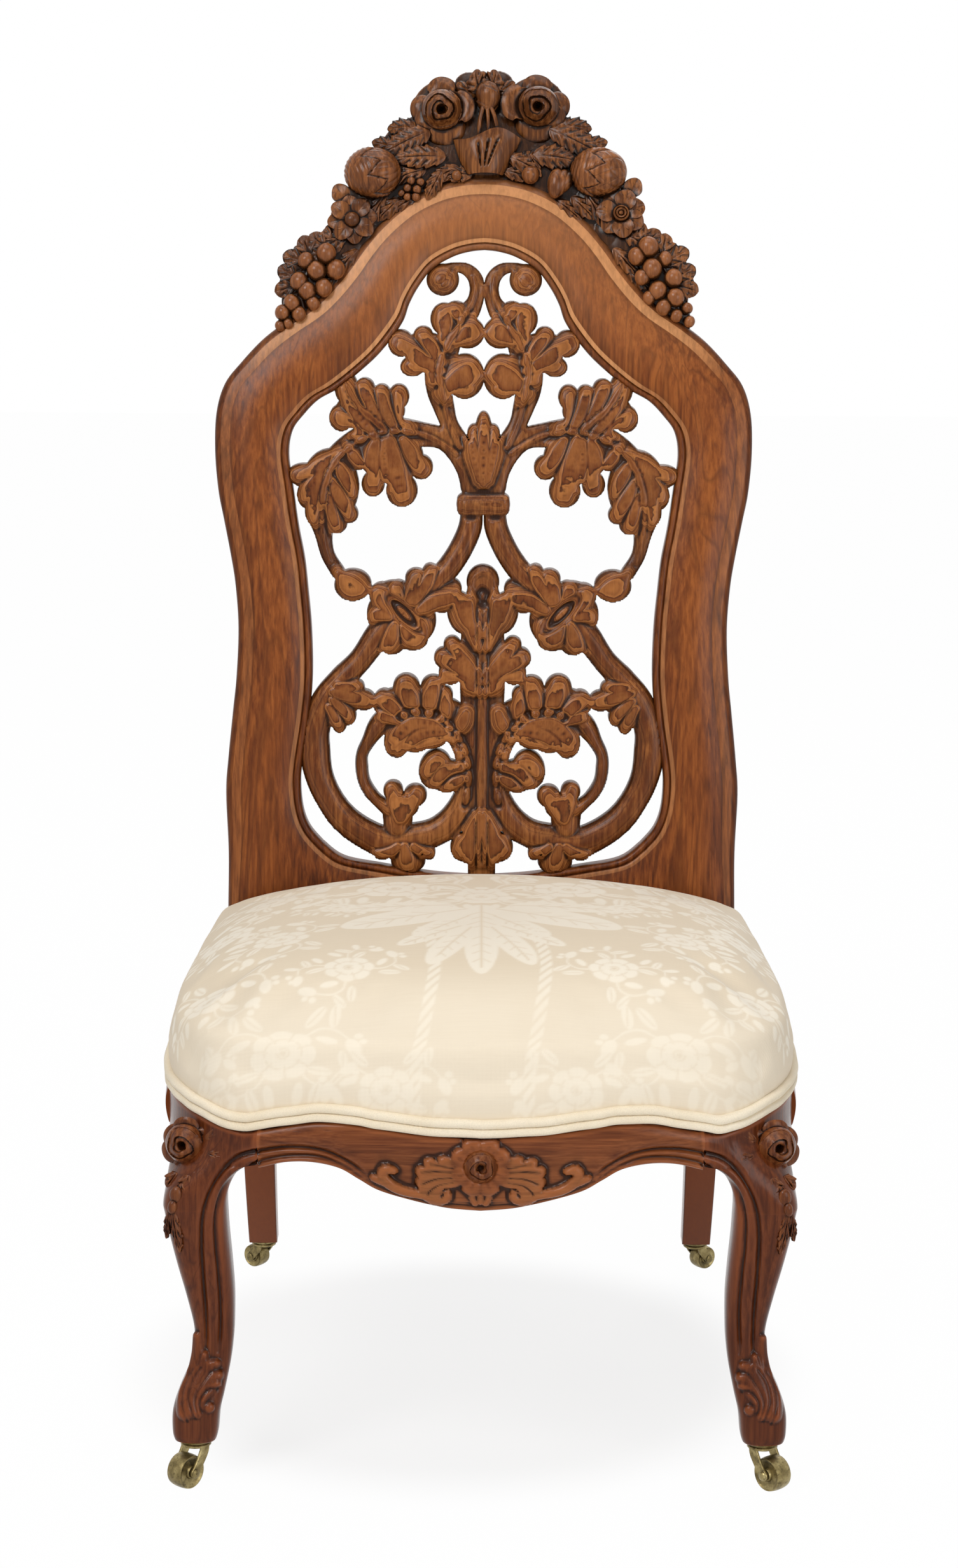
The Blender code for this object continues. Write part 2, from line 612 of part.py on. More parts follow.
def mirrored_ring(half):
    return list(half) + [(-u, v) for u, v in half[-2:0:-1]]


surround_outer = mirrored_ring([pair[0] for pair in SURROUND_PAIRS])
surround_inner = mirrored_ring([pair[1] for pair in SURROUND_PAIRS])
back_rail_back = back_face(BACK_FOOT) - SEAT_GAP
back_rail_half = rear_leg_x - REAR_LEG_SIDE / 2 - SEAT_GAP


def make_surround():
    rings = []
    back = [(1, BACK_THICKNESS - SURROUND_BACK_EDGE), (0.5, BACK_THICKNESS), (0, BACK_THICKNESS - SURROUND_BACK_EDGE)]
    for outer, inner in zip(surround_outer, surround_inner):
        ring = []
        for share, depth in SURROUND_FRONT + back:
            x, z = on_back(*(np.array(outer) * (1 - share) + np.array(inner) * share))
            ring.append((x, back_face(z) + depth, z))
        rings.append(ring)
    count, around = len(rings[0]), len(rings)
    points = [point for ring in rings for point in ring]
    faces = []
    for r in range(around):
        for k in range(count):
            a, b = r * count + k, r * count + (k + 1) % count
            c, d = (r + 1) % around * count + (k + 1) % count, (r + 1) % around * count + k
            faces.append((a, b, c, d))
    return add_mesh("back_surround", points, faces, "rosewood")


def inside_distance(polygon, u, v):
    # How far points lie inside a closed polygon, negative outside.
    least = np.full(u.shape, 1e9)
    inside = np.zeros(u.shape, bool)
    for (u0, v0), (u1, v1) in zip(polygon, polygon[1:] + polygon[:1]):
        du, dv = u1 - u0, v1 - v0
        t = np.clip(((u - u0) * du + (v - v0) * dv) / (du * du + dv * dv), 0, 1)
        least = np.minimum(least, np.hypot(u - u0 - t * du, v - v0 - t * dv))
        if v0 != v1:
            inside ^= ((v0 > v) != (v1 > v)) & (u < u0 + (v - v0) * du / dv)
    return np.where(inside, least, -least)


def carving_field(u, v):
    # Positive inside the carving: the largest of all stems and lobes, cut by the surround's opening.
    across = np.abs(u)
    field = np.full(u.shape, -1e3)
    for rows in STEMS.values():
        path = smooth_curve(rows, 5)
        for a, b in zip(path[:-1], path[1:]):
            du, dv = b[0] - a[0], b[1] - a[1]
            t = np.clip(((across - a[0]) * du + (v - a[1]) * dv) / (du * du + dv * dv), 0, 1)
            distance = np.hypot(across - a[0] - t * du, v - a[1] - t * dv)
            field = np.maximum(field, (a[2] + t * (b[2] - a[2])) / 2 - distance)
    for group in LOBES.values():
        for mid_u, mid_v, long, wide, degrees in group:
            c, s = math.cos(math.radians(degrees)), math.sin(math.radians(degrees))
            p = ((across - mid_u) * c + (v - mid_v) * s) / long
            q = (-(across - mid_u) * s + (v - mid_v) * c) / wide
            reach = np.hypot(p, q)
            slope = np.maximum(np.hypot(p / long, q / wide), 1e-6)
            field = np.maximum(field, np.where(reach > 1e-3, reach * (1 - reach) / slope, min(long, wide)))
    clearance = (SEAT_GAP + 0.0002) / MM
    return np.minimum(field, inside_distance(surround_inner, u, v) - clearance)


def traced_loops(field, us, vs):
    # Closed outlines of a field's zero line, with the inside on the left.
    inside = field > 0
    onward = {}
    place = {}

    def crossing(key, a, b):
        share = field[a] / (field[a] - field[b])
        place[key] = (us[a[1]] + share * (us[b[1]] - us[a[1]]), vs[a[0]] + share * (vs[b[0]] - vs[a[0]]))
        return key

    mixed = inside[:-1, :-1].astype(int) + inside[1:, :-1] + inside[:-1, 1:] + inside[1:, 1:]
    for i, j in np.argwhere((mixed > 0) & (mixed < 4)):
        corners = [(i, j), (i, j + 1), (i + 1, j + 1), (i + 1, j)]
        keys = [("h", i, j), ("v", i, j + 1), ("h", i + 1, j), ("v", i, j)]
        leaving, entering = [], []
        for k in range(4):
            a, b = corners[k], corners[(k + 1) % 4]
            if inside[a] and not inside[b]:
                leaving.append(crossing(keys[k], a, b))
            elif inside[b] and not inside[a]:
                entering.append(crossing(keys[k], a, b))
        joined = sum(field[c] for c in corners) > 0
        if len(leaving) == 2:
            order = [keys.index(key) for key in leaving]
            step = 1 if joined else 3
            entering = [keys[(k + step) % 4] for k in order]
        for first, second in zip(leaving, entering):
            onward[first] = second
    loops = []
    while onward:
        key = next(iter(onward))
        loop = []
        while key in onward:
            loop.append(place[key])
            key = onward.pop(key)
        loops.append(np.array(loop))
    return loops


def simplified(loop, tolerance):
    # The fewest of a loop's points that keep it within a tolerance.
    far = int(np.argmax(np.linalg.norm(loop - loop[0], axis=1)))

    def thin(part):
        start, end = part[0], part[-1]
        way = end - start
        long = np.linalg.norm(way)
        if long == 0 or len(part) < 3:
            return [part[0]]
        away = np.abs(way[0] * (part[:, 1] - start[1]) - way[1] * (part[:, 0] - start[0])) / long
        most = int(np.argmax(away))
        if away[most] <= tolerance:
            return [part[0]]
        return thin(part[:most + 1]) + thin(part[most:])

    closed = np.vstack([loop[far:], loop[:1]])
    return np.array(thin(loop[:far + 1]) + thin(closed))


def make_tracery():
    reach = DRAWN_HALF_WIDTH * 0.75
    us = np.arange(-reach // FIELD_STEP, reach // FIELD_STEP + 2) * FIELD_STEP
    vs = np.arange(360.0, 915.0, FIELD_STEP)
    grid_u, grid_v = np.meshgrid(us, vs)
    loops = [simplified(loop, OUTLINE_TOLERANCE) for loop in traced_loops(carving_field(grid_u, grid_v), us, vs)]
    loops = [loop for loop in loops if len(loop) > 3]
    flat = [tuple(point) for loop in loops for point in loop]
    edges = []
    start = 0
    for loop in loops:
        count = len(loop)
        edges += [(start + k, start + (k + 1) % count) for k in range(count)]
        start += count
    found = delaunay_2d_cdt([Vector(p) for p in flat], edges, [], 0, 1e-7)
    corners = np.array([tuple(p) for p in found[0]])
    triangles = np.array([tuple(t) for t in found[2]])
    middles = corners[triangles].mean(axis=1)
    winding = np.zeros(len(middles), bool)
    for a, b in ((flat[i], flat[j]) for i, j in edges):
        if a[1] != b[1]:
            level = a[0] + (middles[:, 1] - a[1]) * (b[0] - a[0]) / (b[1] - a[1])
            winding ^= ((a[1] > middles[:, 1]) != (b[1] > middles[:, 1])) & (middles[:, 0] < level)
    triangles = triangles[winding]
    sides = [tuple(edge) for edge in found[1]]
    used = {tuple(sorted((t[k], t[(k + 1) % 3]))): 0 for t in triangles for k in range(3)}
    for t in triangles:
        for k in range(3):
            used[tuple(sorted((t[k], t[(k + 1) % 3])))] += 1
    rim = [edge for edge in sides if used.get(tuple(sorted(edge))) == 1]
    count = len(corners)
    points = []
    for depth in (TRACERY_SETBACK, TRACERY_SETBACK + TRACERY_THICKNESS):
        for u, v in corners:
            x, z = on_back(u, v)
            points.append((x, back_face(z) + depth, z))
    faces = [tuple(map(int, t)) for t in triangles]
    faces += [tuple(int(k) + count for k in t[::-1]) for t in triangles]
    faces += [(int(a), int(b), int(b) + count, int(a) + count) for a, b in rim]
    kept = sorted({k for face in faces for k in face})
    renumber = {old: new for new, old in enumerate(kept)}
    faces = [tuple(renumber[k] for k in face) for face in faces]
    return add_mesh("back_tracery", [points[k] for k in kept], faces, "carved rosewood")


def arch_cutter(grow):
    # The surround's outline grown outward and drawn through the whole depth of the crest.
    outer = np.array([on_back(u, v) for u, v in surround_outer])
    along = np.roll(outer, -1, axis=0) - np.roll(outer, 1, axis=0)
    along /= np.linalg.norm(along, axis=1)[:, None]
    grown = outer + np.stack([along[:, 1], -along[:, 0]], axis=1) * grow
    middle = back_face(BACK_ARCH)
    return add_cutter("crest_seat", *prism([tuple(p) for p in grown], middle - 0.2, middle + 0.2, "Y"))


def make_crest():
    shell = bmesh.new()

    def blob(u, v, wide, tall, deep):
        x, z = on_back(u, v)
        scale = Matrix.Diagonal((wide * MM, deep, tall * MM, 1))
        place = Matrix.Translation((x, back_face(z) + CREST_SETBACK + CREST_DEPTH / 4, z))
        bmesh.ops.create_icosphere(shell, subdivisions=2, radius=1, matrix=place @ scale)

    first, last = CREST_BAND_PAIRS
    band = [pair[0] for pair in SURROUND_PAIRS[first:last]]
    band = smooth_curve(band, 3)
    for u, v in band:
        for sign in (-1, 1):
            blob(sign * (u + 2), v + 3, CREST_BAND, CREST_BAND, CREST_DEPTH * 0.32)
    for forms in CREST_FORMS.values():
        for u, v, wide, tall in forms:
            blob(u, v, wide, tall, min(CREST_DEPTH / 2, max(wide, tall) * MM + 0.004))
    mesh = bpy.data.meshes.new("crest_garland")
    shell.to_mesh(mesh)
    shell.free()
    crest = bpy.data.objects.new("crest_garland", mesh)
    crest.parent = chair
    mesh.materials.append(finish("carved rosewood"))
    bpy.context.scene.collection.objects.link(crest)
    remesh = crest.modifiers.new("skin", "REMESH")
    remesh.mode = "VOXEL"
    remesh.voxel_size = CREST_VOXEL
    remesh.use_smooth_shade = True
    graph = bpy.context.evaluated_depsgraph_get()
    faces = 2 * len(crest.evaluated_get(graph).data.polygons)
    thin = crest.modifiers.new("thin", "DECIMATE")
    thin.ratio = CREST_FACES / faces
    boolean(crest, arch_cutter(SEAT_GAP), "DIFFERENCE")
    return crest


def make_back_rail():
    half = back_rail_half
    low, high = back_rail_back - RAIL_DEPTH, back_rail_back
    return add_mesh("back_rail", *box(-half, half, low, high, rail_under, RAIL_TOP), "beech")


def screw(name, x, y, z, length, heading, cuts):
    # A round-headed screw along Y, its head at the start, and its holes in the pieces it joins.
    head, shank = SCREW_HEAD_RADIUS, SCREW_RADIUS
    profile = [
        (0, -SCREW_HEAD), (head * 0.7, -SCREW_HEAD), (head, -SCREW_HEAD / 3), (head, 0), (shank, 0),
        (shank, length - 0.004), (0, length),
    ]
    points, faces = turned(profile, 8, "Y")
    placed = [(px + x, py * heading + y, pz + z) for px, py, pz in points]
    piece = add_mesh(name, placed, faces, "steel")
    wide = shank + PIN_CLEARANCE
    start, end = -0.001, length + PIN_CLEARANCE
    points, faces = turned([(0, start), (wide, start), (wide, end), (0, end)], 8, "Y")
    cutter = add_cutter(name + "_hole", [(px + x, py * heading + y, pz + z) for px, py, pz in points], faces)
    for other in cuts:
        boolean(other, cutter, "DIFFERENCE")
    return piece


def front_inner(x):
    # Inner face of the front rail at x.
    found = [rail_at(plan_rows[k], plan_ways[k], -RAIL_DEPTH) for k in range(FRONT_JOINT_ROW + 1)]
    return float(np.interp(x, [point[0] for point in found], [point[1] for point in found]))


def side_inner(y):
    # Inner face of the side rail at y.
    found = [rail_at(plan_rows[k], plan_ways[k], -RAIL_DEPTH) for k in range(SIDE_JOINT_ROW, len(plan_rows))]
    return float(np.interp(y, [point[1] for point in found], [point[0] for point in found]))


def make_corner_blocks(front_rail, back_rail):
    block_top = RAIL_TOP - SEAT_GAP
    _, _, inner = corner_outline()
    elbow = inner[3]
    for side, label in ((-1, "left"), (1, "right")):
        clear = 2 * SEAT_GAP
        joint = front_joint_x - clear
        seat_y = elbow[1] + BLOCK_DEPTH * 0.6
        reach = joint - BLOCK_DEPTH
        outline = [
            (reach, front_inner(reach) + clear), (joint, front_inner(joint) + clear), (elbow[0] - clear, elbow[1] + clear),
            (elbow[0] - clear, seat_y), (joint - BLOCK_DEPTH * 0.3, seat_y),
        ]
        points, faces = prism([(side * x, y) for x, y in outline], BLOCK_BASE, block_top)
        block = add_mesh(f"front_block_{label}", points, faces, "beech")
        screw_x = joint - BLOCK_DEPTH * 0.1
        length = seat_y - front_inner(screw_x) + SCREW_BITE
        screw_z = (BLOCK_BASE + block_top) / 2 + 0.006
        cuts = [block, front_rail]
        screw(f"front_block_screw_{label}", side * screw_x, seat_y + SEAT_GAP, screw_z, length, -1, cuts)
        rear = back_rail_back - RAIL_DEPTH - SEAT_GAP
        face = rear - BLOCK_DEPTH
        wall = min(side_inner(rear), side_inner(face)) - SEAT_GAP
        outline = [(wall, rear), (side_inner(face) - SEAT_GAP, face), (wall - BLOCK_DEPTH, face), (wall - 1.6 * BLOCK_DEPTH, rear)]
        points, faces = prism([(side * x, y) for x, y in outline], BLOCK_BASE, block_top)
        block = add_mesh(f"rear_block_{label}", points, faces, "beech")
        screw_x = wall - BLOCK_DEPTH * 0.6
        cuts = [block, back_rail]
        screw(f"rear_block_screw_{label}", side * screw_x, face - SEAT_GAP, screw_z, BLOCK_DEPTH + SCREW_BITE, 1, cuts)


def make_back_screws(surround, back_rail):
    height = BACK_FOOT + BACK_SCREW_RISE
    depth = back_face(height) + BACK_THICKNESS + SEAT_GAP
    length = depth - back_rail_back + SCREW_BITE
    for k, share in enumerate((-0.86, -0.3, 0.3, 0.86)):
        cuts = [surround, back_rail]
        screw(f"back_screw_{k + 1}", share * back_rail_half, depth, height, length, -1, cuts)


def make_webbing():
    end = back_rail_back - SEAT_GAP
    step = WEB_WIDTH * 1.2
    for k in range(3):
        x = (k - 1) * step
        start = front_inner(abs(x) + WEB_WIDTH / 2) - RAIL_DEPTH + APRON_DEPTH + 2 * SEAT_GAP
        points, faces = box(x - WEB_WIDTH / 2, x + WEB_WIDTH / 2, start, end, long_web_under, WEB_TOP)
        add_mesh(f"webbing_long_{k + 1}", points, faces, "jute")
    for k in range(3):
        y = side_joint_y + (end - side_joint_y) * (0.2 + 0.28 * k)
        half = side_inner(y) + RAIL_DEPTH * 0.6
        points, faces = box(-half, half, y - WEB_WIDTH / 2, y + WEB_WIDTH / 2, cross_web_top - WEB_THICKNESS, cross_web_top)
        add_mesh(f"webbing_cross_{k + 1}", points, faces, "jute")


# Seat: stations around the cover, in plan, from the middle of the front to the middle of the back
cushion_rear_y = back_rail_back - SEAT_GAP
rear_steps = 5
rear_half = [(plan_rows[-1, 0] * (1 - (k + 0.5) / rear_steps), cushion_rear_y) for k in range(rear_steps)]
cover_middle = np.array([0, (plan_rows[0, 1] + cushion_rear_y) / 2])


def cover_ring(inset, shrink, front_height, rear_height, corner_height=None):
    # A closed ring inside the seat's plan, at heights given for the show line's rows and for the rear.
    # A corner height makes the rear edge an arch that rises from it to the rear height.
    half = []
    for row, way, height in zip(plan_rows, plan_ways, front_height):
        x, y = rail_at(row, way, -inset)
        half.append((x, min(y, cushion_rear_y), height))
    half[-1] = (half[-1][0], cushion_rear_y, half[-1][2])
    corner = half[-1][0] / plan_rows[-1, 0]
    for x, y in rear_half:
        height = rear_height
        if corner_height is not None:
            height = corner_height + (rear_height - corner_height) * (1 - (x / plan_rows[-1, 0]) ** 2) ** 0.8
        half.append((x * corner, y, height))
    ring = half + [(-x, y, z) for x, y, z in half[:0:-1]]
    middle = np.array((*cover_middle, 0))
    return [tuple(middle + (np.array(p) - middle) * (shrink, shrink, 1)) for p in ring]


def dome_rings(lift):
    # The hessian's dome: flat over the springs, falling to the rails.
    flat = np.full(len(plan_rows), 1.0)
    low = RAIL_TOP + HESSIAN_THICKNESS + SEAT_GAP + lift
    high = HESSIAN_TOP + lift
    inset = REBATE + 2 * SEAT_GAP
    levels = [(1.0, low), (0.9, low), (0.78, high)]
    return [cover_ring(inset, shrink, flat * height, height) for shrink, height in levels]


def make_hessian():
    upper = dome_rings(0)
    under = dome_rings(-HESSIAN_THICKNESS)
    return add_mesh("seat_hessian", *loft(under[::-1] + upper), "hessian")


def make_cushion():
    show = plan_rows[:, 2]
    skirt = show + WELT_HEIGHT + 2 * SEAT_GAP
    flat = np.ones(len(show))
    rear_low = RAIL_TOP + HESSIAN_THICKNESS + 3 * SEAT_GAP
    under = dome_rings(2 * SEAT_GAP)
    under = [[(x, y, max(z, rear_low)) for x, y, z in ring] for ring in under]
    wall = REBATE - 2 * SEAT_GAP
    skirt_top = cover_ring(wall, 1.0, flat * rear_low, rear_low)
    skirt_inner = cover_ring(wall, 1.0, skirt, rear_low - SEAT_GAP)
    skirt_outer = cover_ring(CUSHION_DRAW, 1.0, skirt, rear_low - SEAT_GAP)
    side = cover_ring(-CUSHION_BULGE, 1.0, flat * CUSHION_SIDE, CUSHION_SIDE)
    edge = cover_ring(0.006, 1.0, flat * CUSHION_EDGE, CUSHION_REAR_EDGE, CUSHION_EDGE)
    crown = []
    for shrink, share in ((0.9, 0.36), (0.76, 0.64), (0.55, 0.86), (0.3, 0.97)):
        height = CUSHION_EDGE + (CUSHION_CROWN - CUSHION_EDGE) * share
        rear_height = CUSHION_REAR_EDGE + (CUSHION_CROWN - CUSHION_REAR_EDGE) * share
        crown.append(cover_ring(0.006, shrink, flat * height, rear_height, height))
    rings = under[::-1] + [skirt_top, skirt_inner, skirt_outer, side, edge] + crown
    points, faces = loft(rings)
    cushion = add_mesh("seat_cushion", points, faces, "damask")
    crown_point = len(points) - 1
    cushion.data.vertices[crown_point].co.z = CUSHION_CROWN
    return cushion


def make_welt():
    rows, ways = both_halves(plan_rows, plan_ways)
    back, full = -REBATE + SEAT_GAP, WELT_PROUD
    section = [
        (back, 0), (full * 0.3, 0), (full, 0.26), (full * 0.4, 0.5), (full, 0.74), (full * 0.3, 1), (back, 1),
    ]
    rings = []
    for row, way in zip(rows, ways):
        low = row[2] + SEAT_GAP
        rings.append([(*rail_at(row, way, offset), low + share * WELT_HEIGHT) for offset, share in section])
    return add_mesh("seat_welt", *loft(rings), "welt")


def make_springs():
    low = WEB_TOP + SEAT_GAP + SPRING_WIRE
    high = HESSIAN_TOP - HESSIAN_THICKNESS - SEAT_GAP - SPRING_WIRE
    depth = (back_rail_back - side_joint_y) * 0.27
    middle = (side_joint_y + back_rail_back) / 2 - 0.01
    step = WEB_WIDTH * 1.2
    for k, (x, y) in enumerate(((0, 0), (-step, -depth), (step, -depth), (-step, depth), (step, depth))):
        per_turn = 7
        count = int(SPRING_TURNS * per_turn)
        path = []
        for i in range(count + 1):
            t = i / count
            angle = 2 * math.pi * i / per_turn
            radius = SPRING_WAIST + (SPRING_RADIUS - SPRING_WAIST) * (2 * t - 1) ** 2
            path.append((radius * math.cos(angle), radius * math.sin(angle), low + (high - low) * t))
        spring = add_mesh(f"seat_spring_{k + 1}", *loft(wire_rings(path, SPRING_WIRE)), "steel")
        spring.location = (x, middle + y, 0)


def wire_rings(path, radius):
    # Square rings across a rising coil.
    path = np.array(path)
    along = np.gradient(path, axis=0)
    rings = []
    for point, way in zip(path, along):
        way = way / np.linalg.norm(way)
        across = np.array((point[0], point[1], 0.0))
        across -= way * np.dot(across, way)
        across /= np.linalg.norm(across)
        over = np.cross(way, across)
        rings.append([tuple(point + radius * (across * c + over * d)) for c, d in ((1, 0), (0, 1), (-1, 0), (0, -1))])
    return rings


def make_caster(label, x, y, foot_height, wheel_radius, wheel_width, trail, heading):
    # Plate fixed to the foot, fork on the swivel axis, axle and wheel on the trailing axle's axis.
    swivel = bpy.data.objects.new(f"caster_swivel_{label}", None)
    swivel.parent = chair
    swivel.location = (x, y, 0)
    swivel.rotation_euler = (0, 0, math.atan2(heading[1], heading[0]))
    bpy.context.scene.collection.objects.link(swivel)
    plate_top = foot_height - SEAT_GAP
    plate_low = plate_top - PLATE_THICKNESS
    crown_top = plate_low - SEAT_GAP
    crown_low = crown_top - CROWN_THICKNESS
    head_top = crown_low - SEAT_GAP
    arm_in = wheel_width / 2 + WHEEL_SIDE_GAP
    arm_out = arm_in + ARM_THICKNESS
    crown_radius = math.hypot(arm_out, ARM_HALF_WIDTH)
    profile = [
        (0, plate_top + STEM_LENGTH), (STEM_RADIUS, plate_top + STEM_LENGTH - 0.001), (STEM_RADIUS, plate_top),
        (crown_radius, plate_top), (crown_radius, plate_low), (PIVOT_RADIUS, plate_low), (PIVOT_RADIUS, head_top),
        (PIVOT_HEAD_RADIUS, head_top), (PIVOT_HEAD_RADIUS * 0.8, head_top - PIVOT_HEAD), (0, head_top - PIVOT_HEAD),
    ]
    add_mesh(f"caster_plate_{label}", *turned(profile, 10), "brass", swivel)
    hole = PIVOT_RADIUS + PIN_CLEARANCE
    profile = [(hole, crown_top), (crown_radius, crown_top), (crown_radius, crown_low), (hole, crown_low)]
    fork = add_mesh(f"caster_fork_{label}", *turned(profile, 10), "brass", swivel)
    axle_height = wheel_radius * math.cos(math.pi / WHEEL_SIDES)
    arm_top = crown_top - CROWN_THICKNESS * 0.2
    around = [math.radians(a) for a in (20, -20, -60, -100, -140, -180)]
    outline = [(-ARM_HALF_WIDTH, arm_top), (ARM_HALF_WIDTH, arm_top)]
    outline += [(trail + ARM_HALF_WIDTH * math.cos(a), axle_height + ARM_HALF_WIDTH * math.sin(a)) for a in around]
    for sign, low, high in ((1, arm_in, arm_out), (-1, -arm_out, -arm_in)):
        arm = add_cutter(f"caster_arm_{label}_{sign}", *prism(outline, low, high, "Y"), swivel)
        boolean(fork, arm, "UNION")
    wide = AXLE_RADIUS + PIN_CLEARANCE
    drill = [(0, -2 * arm_out), (wide, -2 * arm_out), (wide, 2 * arm_out), (0, 2 * arm_out)]
    cutter = add_cutter(f"caster_axle_hole_{label}", *turned(drill, 8, "Y"), swivel)
    cutter.location = (trail, 0, axle_height)
    boolean(fork, cutter, "DIFFERENCE")
    seat = arm_out + SEAT_GAP
    profile = [
        (0, -seat - AXLE_HEAD), (AXLE_HEAD_RADIUS * 0.8, -seat - AXLE_HEAD), (AXLE_HEAD_RADIUS, -seat),
        (AXLE_RADIUS, -seat), (AXLE_RADIUS, seat), (AXLE_HEAD_RADIUS, seat),
        (AXLE_HEAD_RADIUS * 0.8, seat + AXLE_HEAD), (0, seat + AXLE_HEAD),
    ]
    axle = add_mesh(f"caster_axle_{label}", *turned(profile, 8, "Y"), "brass", swivel)
    axle.location = (trail, 0, axle_height)
    half = wheel_width / 2
    side_profile = [(wide, half), (wide + 0.003, half), (wheel_radius * 0.82, half * 0.76)]
    profile = side_profile + [(wheel_radius, half * 0.5), (wheel_radius, -half * 0.5)]
    profile += [(radius, -height) for radius, height in side_profile[::-1]]
    facet = -math.pi / 2 + math.pi / WHEEL_SIDES
    wheel = add_mesh(f"caster_wheel_{label}", *turned(profile, WHEEL_SIDES, "Y", facet), "brass", swivel)
    wheel.location = (trail, 0, axle_height)


front_rail = make_front_rail()
for side, label in ((-1, "left"), (1, "right")):
    make_side_rail(side, label)
    make_front_leg(side, label)
    make_rear_leg(side, label)
surround = make_surround()
make_tracery()
make_crest()
back_rail = make_back_rail()
make_corner_blocks(front_rail, back_rail)
make_back_screws(surround, back_rail)
make_webbing()
make_hessian()
make_cushion()
make_welt()
make_springs()
foot_x, foot_y = leg_middle(*LEG_ROWS[0][1:])
for side, label in ((-1, "left"), (1, "right")):
    heading = (-side * FRONT_HEADING[0], FRONT_HEADING[1])
    make_caster(
        f"front_{label}", side * foot_x, foot_y, FOOT_HEIGHT, FRONT_WHEEL_RADIUS, FRONT_WHEEL_WIDTH, FRONT_TRAIL, heading
    )
    heading = (-side * REAR_HEADING[0], REAR_HEADING[1])
    make_caster(
        f"rear_{label}", side * rear_leg_x, rear_foot_y, REAR_FOOT_HEIGHT, REAR_WHEEL_RADIUS, REAR_WHEEL_WIDTH, REAR_TRAIL,
        heading
    )

# The origin goes under the middle of the chair's depth
bpy.context.view_layer.update()
graph = bpy.context.evaluated_depsgraph_get()
depths = []
for piece in bpy.context.scene.objects:
    if piece.type == "MESH" and not piece.hide_render:
        shape = piece.evaluated_get(graph)
        mesh = shape.to_mesh()
        depths += [(shape.matrix_world @ vertex.co).y for vertex in mesh.vertices]
        shape.to_mesh_clear()
chair.location.y = -(min(depths) + max(depths)) / 2
bpy.context.view_layer.update()
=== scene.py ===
import json
import math

import bmesh
import bpy
import numpy as np
from mathutils import Matrix, Vector
from mathutils.bvhtree import BVHTree
from mathutils.geometry import delaunay_2d_cdt


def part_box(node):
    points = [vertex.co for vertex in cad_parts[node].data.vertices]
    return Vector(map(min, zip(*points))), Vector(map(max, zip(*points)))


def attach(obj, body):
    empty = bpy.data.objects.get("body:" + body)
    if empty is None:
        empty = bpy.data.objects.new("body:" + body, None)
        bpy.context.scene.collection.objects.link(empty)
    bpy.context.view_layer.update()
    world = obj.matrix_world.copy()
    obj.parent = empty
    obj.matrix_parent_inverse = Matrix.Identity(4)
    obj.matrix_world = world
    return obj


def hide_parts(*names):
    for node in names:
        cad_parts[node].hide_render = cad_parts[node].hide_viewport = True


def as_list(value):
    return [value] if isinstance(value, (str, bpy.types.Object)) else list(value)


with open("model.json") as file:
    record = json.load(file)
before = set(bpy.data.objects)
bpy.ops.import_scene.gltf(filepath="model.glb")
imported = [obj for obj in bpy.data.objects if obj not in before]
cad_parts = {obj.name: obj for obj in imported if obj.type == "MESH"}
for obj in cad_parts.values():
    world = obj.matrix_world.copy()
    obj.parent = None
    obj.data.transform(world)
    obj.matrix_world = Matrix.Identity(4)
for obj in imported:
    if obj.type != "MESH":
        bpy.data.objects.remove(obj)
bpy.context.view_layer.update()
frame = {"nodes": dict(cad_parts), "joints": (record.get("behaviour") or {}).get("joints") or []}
joints = {joint["name"]: joint for joint in frame["joints"]}
frontLine = joints["swivel_front_left"]["pos_m"][1]  # depth of the front casters' swivels in the row frame
hands = ((-1, "left"), (1, "right"))


# small tools
def smoothCurve(rows, steps):
    rows = np.array(rows, float)
    found = []
    for i in range(len(rows) - 1):
        before, after = rows[max(i - 1, 0)], rows[min(i + 2, len(rows) - 1)]
        for k in range(steps):
            t = k / steps
            found.append(0.5 * (2 * rows[i] + (rows[i + 1] - before) * t
                                + (2 * before - 5 * rows[i] + 4 * rows[i + 1] - after) * t**2
                                + (3 * rows[i] - before - 3 * rows[i + 1] + after) * t**3))
    found.append(rows[-1])
    return np.array(found)


def newPiece(name, points, faces, material, body="chair", slot=None, stands=(), sharp=40):
    # points are measured from the front casters' line; the mesh is stored in the row frame
    points = np.array(points, float)
    points[:, 1] += frontLine
    mesh = bpy.data.meshes.new(name)
    mesh.from_pydata(points.tolist(), [], faces)
    tidyNormals(mesh)
    mesh.shade_smooth()
    if sharp:
        mesh.set_sharp_from_angle(angle=math.radians(sharp))
    return finishPiece(name, mesh, material, body, slot, stands)


def tidyNormals(mesh):
    shell = bmesh.new()
    shell.from_mesh(mesh)
    bmesh.ops.recalc_face_normals(shell, faces=shell.faces)
    shell.to_mesh(mesh)
    shell.free()


def finishPiece(name, mesh, material, body, slot, stands):
    piece = bpy.data.objects.new(name, mesh)
    mesh.materials.clear()
    mesh.materials.append(material)
    bpy.context.scene.collection.objects.link(piece)
    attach(piece, body)
    if stands:
        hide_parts(*stands)
    return piece


def setMark(mesh, name, values):
    mark = mesh.attributes.get(name) or mesh.attributes.new(name, "FLOAT", "POINT")
    mark.data.foreach_set("value", np.asarray(values, np.float32))


def readHollow(piece):
    values = np.empty(len(piece.data.vertices), np.float32)
    piece.data.attributes["hollow"].data.foreach_get("value", values)
    return values


